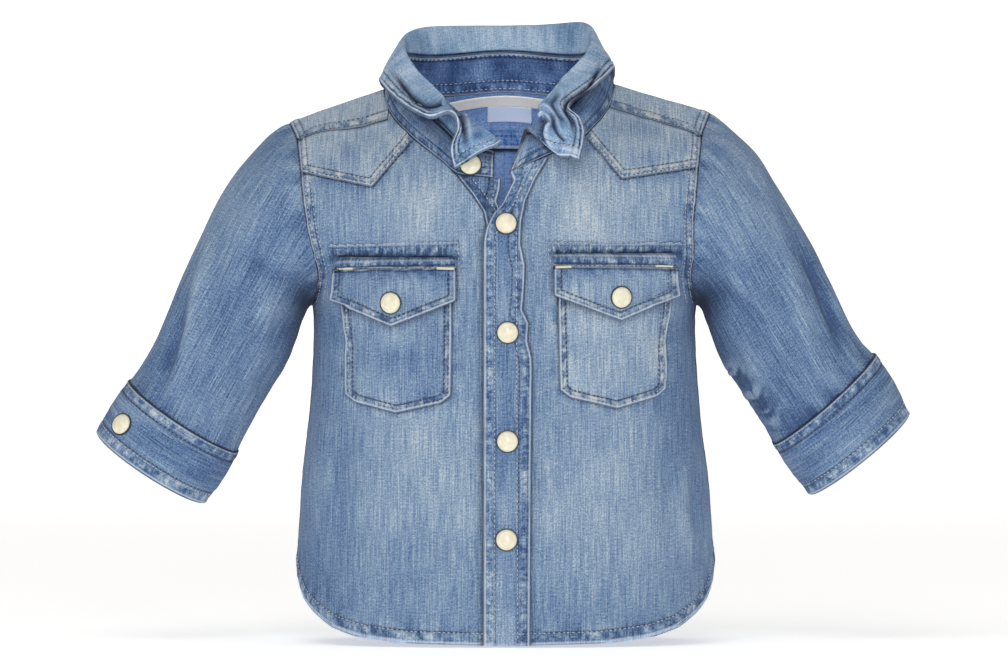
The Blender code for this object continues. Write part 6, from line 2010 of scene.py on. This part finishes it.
# Painted shade in the stitch groove, in the hollow of the crushed roll and at the ends' stitches; the
# creases' painted shade is laid over it.
painted_shade = 0.30 * hump(from_edge - 4.6, 0.6) + 0.70 * crushed * hump(uneven - 1.8, 0.45)
painted_shade = np.maximum(painted_shade + 0.25 * hump(from_end - 5.6, 0.5), hidden)
piece = cloth("collar_leaf_cloth", outer, normals, BAND, np.stack([from_right_end, down], -1),
              tone(fade, rubbed, painted_shade), [collar_denim, collar_denim], inner=inner,
              seam=nearest_seam((from_edge, from_right_end, 4.4), (from_end, down, 5.2)))
GRIDS["collar_leaf"] = (outer, normals)
LEAF_FROM_END = from_end[-1]
sew_on(piece, "collar_leaf")

# %% [markdown]
# ## Neck tape and label
#
# Inside the back yoke a herringbone cotton tape covers the neck seam, and a small woven label, here
# left bare, is sewn under it.

# %% Neck tape and label
def woven_cotton(name, pale, deep, thread_mm, slanted):
    material, tree, shader = new_material(name, {"Roughness": 0.8, "Specular IOR Level": 0.3})
    weave = add_node(tree, "UVMap", uv_map="weave").outputs["UV"]
    lie = add_node(tree, "Mapping", {"Scale": (UV_UNIT, UV_UNIT, 1.0)}, {"Vector": weave})
    waves = add_node(tree, "TexWave",
                     {"Scale": 1.0 / (thread_mm * 3.2), "Distortion": slanted, "Detail": 2.0,
                      "Detail Scale": 1.5},
                     {"Vector": lie.outputs["Vector"]}, wave_type="BANDS", bands_direction="DIAGONAL")
    grain = add_node(tree, "TexNoise", {"Scale": 1.4, "Detail": 3.0},
                     {"Vector": lie.outputs["Vector"]})
    total = add_up(tree, waves.outputs["Fac"], grain.outputs["Fac"], 0.6)
    ramp = add_node(tree, "ValToRGB", None, {"Fac": total})
    ramp.color_ramp.elements[0].color = linear(deep)
    ramp.color_ramp.elements[1].color = linear(pale)
    tree.links.new(ramp.outputs["Color"], shader.inputs["Base Color"])
    raised = add_node(tree, "Bump", {"Strength": 0.5, "Distance": 0.0003}, {"Height": total})
    tree.links.new(raised.outputs["Normal"], shader.inputs["Normal"])
    return material


tape_cotton = woven_cotton("herringbone cotton tape", "#FFFEFB", "#F1EEE9", 0.5, 1.0)
label_cotton = woven_cotton("woven cotton label, bare", "#E8F2FF", "#C6DAFF", 0.5, 0.4)


def inner_piece(name, share, station, material, node, flat, shows, waves):
    outer, normal = body_point(share, station, -CLOTH - TAPE_LIFT + waves)
    piece = cloth(name, outer, normal, WOVEN, skin_weave(share, station),
                  tone(0.5 + 0.0 * outer[..., 0]), [material, material])
    sew_on(piece, node, flat[0] * shows)


TAPE_READS = (121, 13)     # columns and rows
LABEL_READS = (37, 16)
start = BACK_NECK_STATION + TAPE_GAP_STATIONS
mm_per_station = np.linalg.norm(skin(0.0, start + 0.5) - skin(0.0, start - 0.5))
share, down = np.meshgrid(np.linspace(-NECK_TAPE_REACH, NECK_TAPE_REACH, TAPE_READS[0]),
                          np.linspace(0.0, NECK_TAPE_WIDTH, TAPE_READS[1]))
station = start + down / mm_per_station
inner_piece("neck_tape_cloth", share, station, tape_cotton, "neck_tape", (106, 10),
            NECK_TAPE_WIDTH, -0.12 * np.abs(lumps(share * 28.0, station * 2.0, 141)))
x, down = np.meshgrid(np.linspace(*LABEL_X, LABEL_READS[0]), np.linspace(0.0, LABEL_HEIGHT, LABEL_READS[1]))
station = start + (NECK_TAPE_WIDTH + SEAM + down) / mm_per_station
inner_piece("label_cloth", share_at(x, station), station, label_cotton, "label", (23, 10),
            LABEL_HEIGHT, -0.15 * np.abs(lumps(x / 7.0, station * 3.0, 142)))

# %% [markdown]
# ## Thread
#
# Every seam shows its stitches. A stitch is a short, fat thread that dives into the cloth at both
# ends, so it is drawn as a spindle of sixteen triangles, and thousands of them make three pieces: pale
# and navy thread in the seams, cream thread in the bar tacks. A ray from the front finds the cloth
# under lines that are known as seen from the front; lines on tubes are found on the tube's own grid.

# %% Thread tools
STITCH_PITCH = 2.5         # mm
STITCH_LONG = 1.7
STITCH_HALF = 0.26
FROM_FRONT, FROM_BACK = Vector((0.0, 1.0, 0.0)), Vector((0.0, -1.0, 0.0))
stitches = {"pale": [], "navy": [], "cream": []}
bpy.context.view_layer.update()


def seen_from(line, names, heading=FROM_FRONT, lift=0.0):
    """Points in mm where a line of x and z, seen from the front or the back, meets the named pieces."""
    found = []
    for x, z in line:
        best = None
        begin = Vector((x * MM, -heading.y * 0.3, z * MM))
        for name in names:
            hit, place, normal, _ = bpy.data.objects[name].ray_cast(begin, heading)
            if hit and (best is None or (place - begin).length < (best[0] - begin).length):
                best = (place, normal)
        if best is not None:
            found.append((np.array(best[0]) / MM + np.array(best[1]) * lift, np.array(best[1])))
    return found


def on_grid(name, rows, columns, ring=False):
    """Points and normals of a piece's grid at fractional rows and columns."""
    outer, normals = GRIDS[name]
    rows = np.clip(rows, 0.0, outer.shape[0] - 1.001)
    columns = columns % outer.shape[1] if ring else np.clip(columns, 0.0, outer.shape[1] - 1.001)
    r, c = rows.astype(int), columns.astype(int)
    part_r, part_c = (rows - r)[:, None], (columns - c)[:, None]
    c_next, r_next = (c + 1) % outer.shape[1], r + 1
    read = lambda grid: ((grid[r, c] * (1 - part_c) + grid[r, c_next] * part_c) * (1 - part_r)
                         + (grid[r_next, c] * (1 - part_c) + grid[r_next, c_next] * part_c) * part_r)
    return list(zip(read(outer), unit(read(normals))))


def stitch_along(found, thread, skip=0.0, pitch=STITCH_PITCH, long=STITCH_LONG):
    """Lays stitches along found points, unevenly. skip is the share of them that is left out."""
    if len(found) < 3:
        return
    points = np.array([point for point, _ in found])
    normals = np.array([normal for _, normal in found])
    step = np.linalg.norm(np.diff(points, axis=0), axis=1)
    run = np.concatenate([[0.0], np.cumsum(np.minimum(step, 4.0))])
    count = int(run[-1] / pitch)
    dice = np.random.default_rng(int(abs(points[0] @ np.array((3.1, 7.7, 5.3))) * 10) + count)
    for k in range(count):
        middle = (k + 0.5 + 0.1 * dice.standard_normal()) * pitch
        half = long / 2 * (1.0 + 0.12 * dice.standard_normal())
        if dice.random() < skip:
            continue
        ends = [np.array([np.interp(middle + end * half, run, points[:, a]) for a in range(3)])
                for end in (-1.0, 1.0)]
        normal = unit(np.array([np.interp(middle, run, normals[:, a]) for a in range(3)]))
        if not 1.7 * half <= np.linalg.norm(ends[1] - ends[0]) <= 2.3 * half:
            continue
        stitches[thread].append((ends[0], ends[1], normal, 1.0 + 0.15 * dice.standard_normal()))


def bar_tack(begin, end, names, wide=1.3):
    """Stitches laid close side by side from one point to another, as a small solid bar."""
    found = seen_from(fine_line((begin, end), 0.5), names, lift=0.1)
    if len(found) < 3:
        return
    points = np.array([point for point, _ in found])
    normal = unit(np.mean([n for _, n in found], axis=0))
    onward = unit(points[-1] - points[0])
    across = unit(np.cross(onward, normal))
    # Satin stitches seen from above run along the bar: four rows, each of long overlapping threads.
    for row in np.linspace(-0.5, 0.5, 4):
        for k in range(0, len(points) - 4, 3):
            after = min(k + 5, len(points) - 1)
            shift = across * row * (wide - 2 * STITCH_HALF)
            stitches["cream"].append((points[k] + shift, points[after] + shift, normal, 1.15))


def inside_line(line, inset):
    """A line moved sideways to its right by inset mm, corners kept."""
    corners = np.asarray(line, float)
    step = unit(np.diff(corners, axis=0))
    side_step = np.stack([step[:, 1], -step[:, 0]], -1)
    moved = [corners[0] + side_step[0] * inset]
    for k in range(1, len(corners) - 1):
        both = unit(side_step[k - 1] + side_step[k])
        moved.append(corners[k] + both * inset / max(float(both @ side_step[k]), 0.3))
    moved.append(corners[-1] + side_step[-1] * inset)
    return np.array(moved)


def fine_line(line, step=1.0):
    return along(line, np.linspace(0.0, 1.0, max(int(lengths_along(line)[-1] / step), 2) + 1))


def seen(share, station):
    """x and z of places on the skin."""
    return skin(share, station)[:, ::2]


def sew(line, names, thread, heading=FROM_FRONT, **size):
    """Stitches on the named pieces, along a line of x and z."""
    stitch_along(seen_from(line, names, heading), thread, **size)


# %% Stitches of the fronts and back
ARMHOLE_ROWS = (1.6, 4.6)  # mm from the armhole
TACK_LONG = 9.6            # of the bars that hold both ends of a welt
OVER_STITCH_EDGE = ((-292, 12.8), (-61, 12.0), (-50, 15.5), (-38.5, 22.4))

for side, sign in SIGN.items():
    front, yoke, pocket, flap = [part + side for part in ("front_cloth_", "front_yoke_cloth_",
                                                          "pocket_cloth_", "flap_cloth_")]
    # Each of these lines runs with the piece on its right hand, or its left on the other side.
    for line, name, turned, rows in (
            (YOKE_LINES[side], yoke, sign, ((1.3, "navy"), (3.6, "pale"))),
            (POCKET_LINES[side], pocket, 1.0, ((1.2, "pale"), (3.6, "navy"))),
            (FLAP_LINES[side], flap, 1.0, ((3.5, "navy"),))):
        for inset, thread in rows:
            sew(fine_line(inside_line(line, -inset * turned)), [name], thread)
    (left, right), top = FLAP[side]["x"], FLAP[side]["top"]
    sew(fine_line(POCKET_TOP_STITCH[side]), [front], "pale")
    sew(fine_line(((left + 9, top + 0.2), (right - 9, top + 0.2))), [flap], "pale")
    left, right = left + 0.6, right - 0.6
    bar_tack((left, top - 0.5), (left + TACK_LONG - 0.2, top - 0.2), [flap])
    bar_tack((right - TACK_LONG - 0.2, top + 0.1), (right, top - 0.2), [flap])
    # The stitches above the pocket turn down beside the flap on its side towards the placket.
    x, z = POCKET_TOP_STITCH[side][1 if sign < 0 else 0]
    down_x = x - sign * 0.6
    sew(fine_line(((x, z), (down_x, z - 17.0))), [front], "pale")
    sew(fine_line(((down_x, z - 18.0), (down_x, z - 24.5)), 0.4), [front], "pale", pitch=1.2, long=1.1)
    for inset in ARMHOLE_ROWS:
        station = np.linspace(FRONT_ARMPIT + 0.4, FORWARD_SEAM - 0.1, 110)
        sew(seen(sign, station) - (sign * inset, 0.0), [front, yoke], "pale")
        station = np.linspace(SHOULDER_TOP_STATION + 1.0, BACK_ARMPIT - 0.4, 110)
        sew(seen(sign, station) - (sign * inset, 0.0), ["back_cloth", "back_yoke_cloth"], "pale", FROM_BACK)
    # Two rows above the forward shoulder seam, on the back yoke.
    share = sign * np.linspace(0.60, 0.985, 50)
    sag = seam_sag(skin(share, FORWARD_SEAM)[:, 0])
    for above, thread in ((1.5, "navy"), (6.2, "pale")):
        sew(seen(share, FORWARD_SEAM + (above - sag) / MM_PER_STATION), ["back_yoke_cloth"], thread)

z = np.linspace(-288.0, -49.0, 240)
for edge_line, inset, name in (
        (PLACKET_OVER_FREE, PLACKET_STITCH[0], "placket_over_cloth"),
        (OVER_STITCH_EDGE, -PLACKET_STITCH[1], "placket_over_cloth"),
        (PLACKET_UNDER_EDGE, PLACKET_STITCH[1], "placket_under_cloth"),
        (PLACKET_UNDER_FREE, 3.0 - PLACKET_STITCH[0], "placket_under_cloth")):
    sew(np.stack([polyline(edge_line, z) + inset, z], -1), [name], "pale")

share = np.linspace(-0.97, 0.97, 300)
sew(seen(share, hem_station(share, HEM_WIDTH)),
    ["front_cloth_right", "front_cloth_left", "placket_over_cloth"], "pale")
sew(seen(share, LAST_STATION - hem_station(share, BACK_HEM_SHORTER + HEM_WIDTH)), ["back_cloth"], "pale",
    FROM_BACK)
share = np.linspace(-0.98, 0.98, 260)
for inset, thread in ((1.4, "navy"), (3.9, "pale")):
    sew(seen(share, BACK_YOKE_SEAM - inset / MM_PER_STATION), ["back_yoke_cloth"], thread, FROM_BACK)
print("stitches of the body:", {name: len(laid) for name, laid in stitches.items()})

# %% Stitches of the sleeves, cuffs and collar
CUFF_WIDE = 35.0           # mm
for side in SIGN:
    columns = np.linspace(0.0, SLEEVE_ROUND, 400)
    for down, thread in ((0.0, "pale"), (CUFF_STRIP, "navy"), (CUFF_WIDE - CUFF_LOW_STRIP, "pale")):
        rows = np.full_like(columns, 1.0 + down / CUFF_WIDE * (CUFF_LONG - 1.0))
        stitch_along(on_grid("cuff_" + side, rows, columns, ring=True), thread)

# Along the leaf's free edge where it isn't crushed, and across both of its ends.
leaf = GRIDS["collar_leaf"][0]
leaf_rows, leaf_columns = leaf.shape[:2]
place = np.arange(leaf_columns)
columns = np.linspace(6.0, leaf_columns - 7.0, 500)
columns = columns[np.interp(columns, place, LEAF_FROM_END) > 58.0]
per_row = np.interp(columns, place, np.linalg.norm(leaf[-1] - leaf[-9], axis=1)) / 8.0
stitch_along(on_grid("collar_leaf", leaf_rows - 1.0 - 4.6 / per_row, columns), "pale")
for end in (0, leaf_columns - 1):
    column = np.argmin(np.abs(LEAF_FROM_END - 5.4) + 1e3 * (np.abs(place - end) > 60))
    rows = np.linspace(0.15 * leaf_rows, leaf_rows - 12.0, 60)
    stitch_along(on_grid("collar_leaf", rows, np.full_like(rows, column)), "pale")
# Inside the stand: above the neck seam, and under the leaf's seam.
stand_rows, stand_columns = GRIDS["stand_inside"][0].shape[:2]
columns = np.linspace(0.2 * stand_columns, 0.8 * stand_columns, 400)
for row in (0.10, 0.26, 0.94):
    rows = np.full_like(columns, row * (stand_rows - 1.0))
    stitch_along(on_grid("stand_inside", rows, columns), "pale")
print("stitches in all:", {name: len(laid) for name, laid in stitches.items()})

# %% Thread made into three pieces
def spindles(name, laid, material):
    """One mesh of stitches: each two points and two rings of four between them."""
    starts, ends, normals, fat = [np.array(part) for part in zip(*laid)]
    run = ends - starts
    onward = unit(run)
    across = unit(np.cross(onward, normals))
    rise = np.cross(across, onward)
    rings = [starts]
    for part in (0.28, 0.72):
        for a, b in ((1.0, 0.0), (0.0, 0.8), (-1.0, 0.0), (0.0, -0.8)):
            rings.append(starts + run * part + (across * a + rise * b) * (STITCH_HALF * fat)[:, None]
                         + rise * 0.12)
    rings.append(ends)
    points = np.stack(rings, axis=1).reshape(-1, 3)
    faces = []
    for k in range(4):
        after = (k + 1) % 4
        faces += [(0, 1 + k, 1 + after), (1 + k, 5 + k, 5 + after, 1 + after), (9, 5 + after, 5 + k)]
    every = [tuple(10 * n + v for v in face) for n in range(len(laid)) for face in faces]
    mesh = bpy.data.meshes.new(name)
    mesh.from_pydata([tuple(point) for point in points * MM], [], every)
    mesh.shade_smooth()
    mesh.materials.append(material)
    piece = add_object(name, mesh)
    select_only(piece)
    bpy.ops.object.mode_set(mode="EDIT")
    bpy.ops.mesh.select_all(action="SELECT")
    bpy.ops.mesh.normals_make_consistent(inside=False)
    bpy.ops.object.mode_set(mode="OBJECT")
    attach(piece, "root")


# Spun thread: matt, with a little lustre where it twists.
for colour, name, shades in (("pale", "undyed cotton thread", ("#A9B1C1", "#D9DDE4")),
                             ("cream", "cream bar tack thread", ("#D9D0B4", "#F4EFD8")),
                             ("navy", "navy cotton thread", ("#333C58", "#56607C"))):
    spun = mottled(name, {"Roughness": 0.65, "Specular IOR Level": 0.3}, 1600.0, 2.0, shades,
                   bump=(0.4, 0.2 * MM))
    spindles("thread_" + colour, stitches[colour], spun[0])
    print("thread_" + colour, len(stitches[colour]), "stitches")

# %% [markdown]
# ## Snaps
#
# A pearl snap is a domed cap of cream resin held in a metal ring. One is modelled from a
# cylinder and a ball, and copied to its nine places, each copy with its own mesh.

# %% Pearl and gunmetal
pearl = mottled("cream pearl resin cap", {"Roughness": 0.32, "Coat Weight": 0.3}, 420.0, 2.0,
                ("#EBE3C4", "#FBF5DC"), (0.3, 0.7), (0.08, 0.1 * MM))[0]
gunmetal, tree, shader, scuffs = mottled("gunmetal plated brass ring", {"Metallic": 0.85}, 900.0, 3.0,
                                         ("#2E323B", "#6A707A"))
dull = add_node(tree, "MapRange", {"To Min": 0.35, "To Max": 0.6}, {"Value": scuffs})
tree.links.new(dull.outputs["Result"], shader.inputs["Roughness"])
print("snap finishes:", pearl.name, "and", gunmetal.name)

# %% One snap
CAP_DOME = 1.7             # mm that the cap rises above its ring
CAP_SUNK = 0.35            # and starts below the ring's top
RING_THICK = 1.2
RING_LIP = 0.55
RING_DEEP = 0.45
RING_ROUND = 0.26

bpy.ops.mesh.primitive_cylinder_add(vertices=36, radius=SNAP_RADIUS * MM, depth=RING_THICK * MM,
                                    location=(0.0, 0.0, RING_THICK / 2 * MM), end_fill_type="NGON")
ring = bpy.context.object
bpy.ops.object.mode_set(mode="EDIT")
bpy.ops.mesh.select_mode(type="FACE")
bpy.ops.mesh.select_all(action="DESELECT")
bpy.ops.object.mode_set(mode="OBJECT")
for face in ring.data.polygons:
    face.select = face.normal.z > 0.9
bpy.ops.object.mode_set(mode="EDIT")
bpy.ops.mesh.inset(thickness=RING_LIP * MM)
bpy.ops.mesh.extrude_region_move(TRANSFORM_OT_translate={"value": (0.0, 0.0, -RING_DEEP * MM)})
bpy.ops.mesh.select_all(action="DESELECT")
bpy.ops.object.mode_set(mode="OBJECT")
for ring_edge in ring.data.edges:
    ends = [ring.data.vertices[k].co for k in ring_edge.vertices]
    outer_most = min(math.hypot(end.x, end.y) for end in ends) > (SNAP_RADIUS - 0.7) * MM
    ring_edge.select = outer_most and min(end.z for end in ends) > RING_THICK * MM / 4
bpy.ops.object.mode_set(mode="EDIT")
bpy.ops.mesh.select_mode(type="EDGE")
bpy.ops.mesh.bevel(offset=RING_ROUND * MM, segments=2)
bpy.ops.object.mode_set(mode="OBJECT")
ring.data.materials.append(gunmetal)

bpy.ops.mesh.primitive_uv_sphere_add(segments=36, ring_count=14, radius=1.0, location=(0.0, 0.0, 0.0))
cap = bpy.context.object
bpy.ops.object.mode_set(mode="EDIT")
bpy.ops.mesh.select_all(action="SELECT")
bpy.ops.mesh.bisect(plane_co=(0.0, 0.0, 0.0), plane_no=(0.0, 0.0, 1.0), clear_inner=True, use_fill=True)
bpy.ops.mesh.select_all(action="SELECT")
bpy.ops.transform.resize(value=(SNAP_CAP_RADIUS * MM, SNAP_CAP_RADIUS * MM, (CAP_DOME + CAP_SUNK) * MM),
                         center_override=(0.0, 0.0, 0.0))
bpy.ops.transform.translate(value=(0.0, 0.0, (RING_THICK - CAP_SUNK) * MM))
bpy.ops.object.mode_set(mode="OBJECT")
cap.data.materials.append(pearl)
select_only(ring)
cap.select_set(True)
bpy.ops.object.join()
first_snap = bpy.context.object
bpy.ops.object.shade_smooth_by_angle(angle=math.radians(40.0))
print("snap:", len(first_snap.data.polygons), "faces, height mm",
      round(max(v.co.z for v in first_snap.data.vertices) / MM, 2))

# %% The nine snaps
def snap_places():
    """Node, point of the cloth under the snap in mm, and its direction."""
    spots = [("snap_front_%d" % number, spot, LIFT + BAND) for number, spot in enumerate(PLACKET_SNAPS, 1)]
    spots += [("snap_flap_" + side, flap_snap(side), FLAP_LIFT + CLOTH) for side in SIGN]
    places = []
    for node, (x, z), lift in spots:
        share, station = front_place(x, z)
        places.append((node, body_point(share, station, lift + 0.1)[0], skin_normal(share, station)))
    for side in SIGN:
        outer, normals = GRIDS["cuff_" + side]
        turn, down = CUFF_SNAPS[side]
        spot = int(round(turn / 360.0 * SLEEVE_ROUND)) % SLEEVE_ROUND
        row = int(round((1.0 + down) / 2.0 * CUFF_LONG))
        point = outer[row, spot] + normals[row, spot] * 0.1
        places.append(("snap_cuff_" + side, point, normals[row, spot]))
    base, _, top, _, _ = collar_sections("right", 25)
    spot = COLLAR_SNAP_SECTION
    middle = base[spot] + (top[spot] - base[spot]) * COLLAR_SNAP_UP + unit(base[spot] * FLAT) * STAND_BULGE
    normal = unit(np.cross(base[spot + 2] - base[spot - 2], top[spot] - base[spot]))
    normal = normal if normal[1] < 0.0 else -normal
    places.append(("snap_collar", middle + normal * 0.5, normal))
    return places


for node, point, normal in snap_places():
    piece = add_object(node + "_pearl", first_snap.data.copy())
    turn_to(piece, normal)
    piece.location = Vector(point) * MM
    select_only(piece)
    bpy.ops.object.transform_apply(location=True, rotation=True, scale=True)
    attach(piece, "root")
    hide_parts(node)
bpy.data.objects.remove(first_snap, do_unlink=True)
print("snaps:", len(snap_places()))
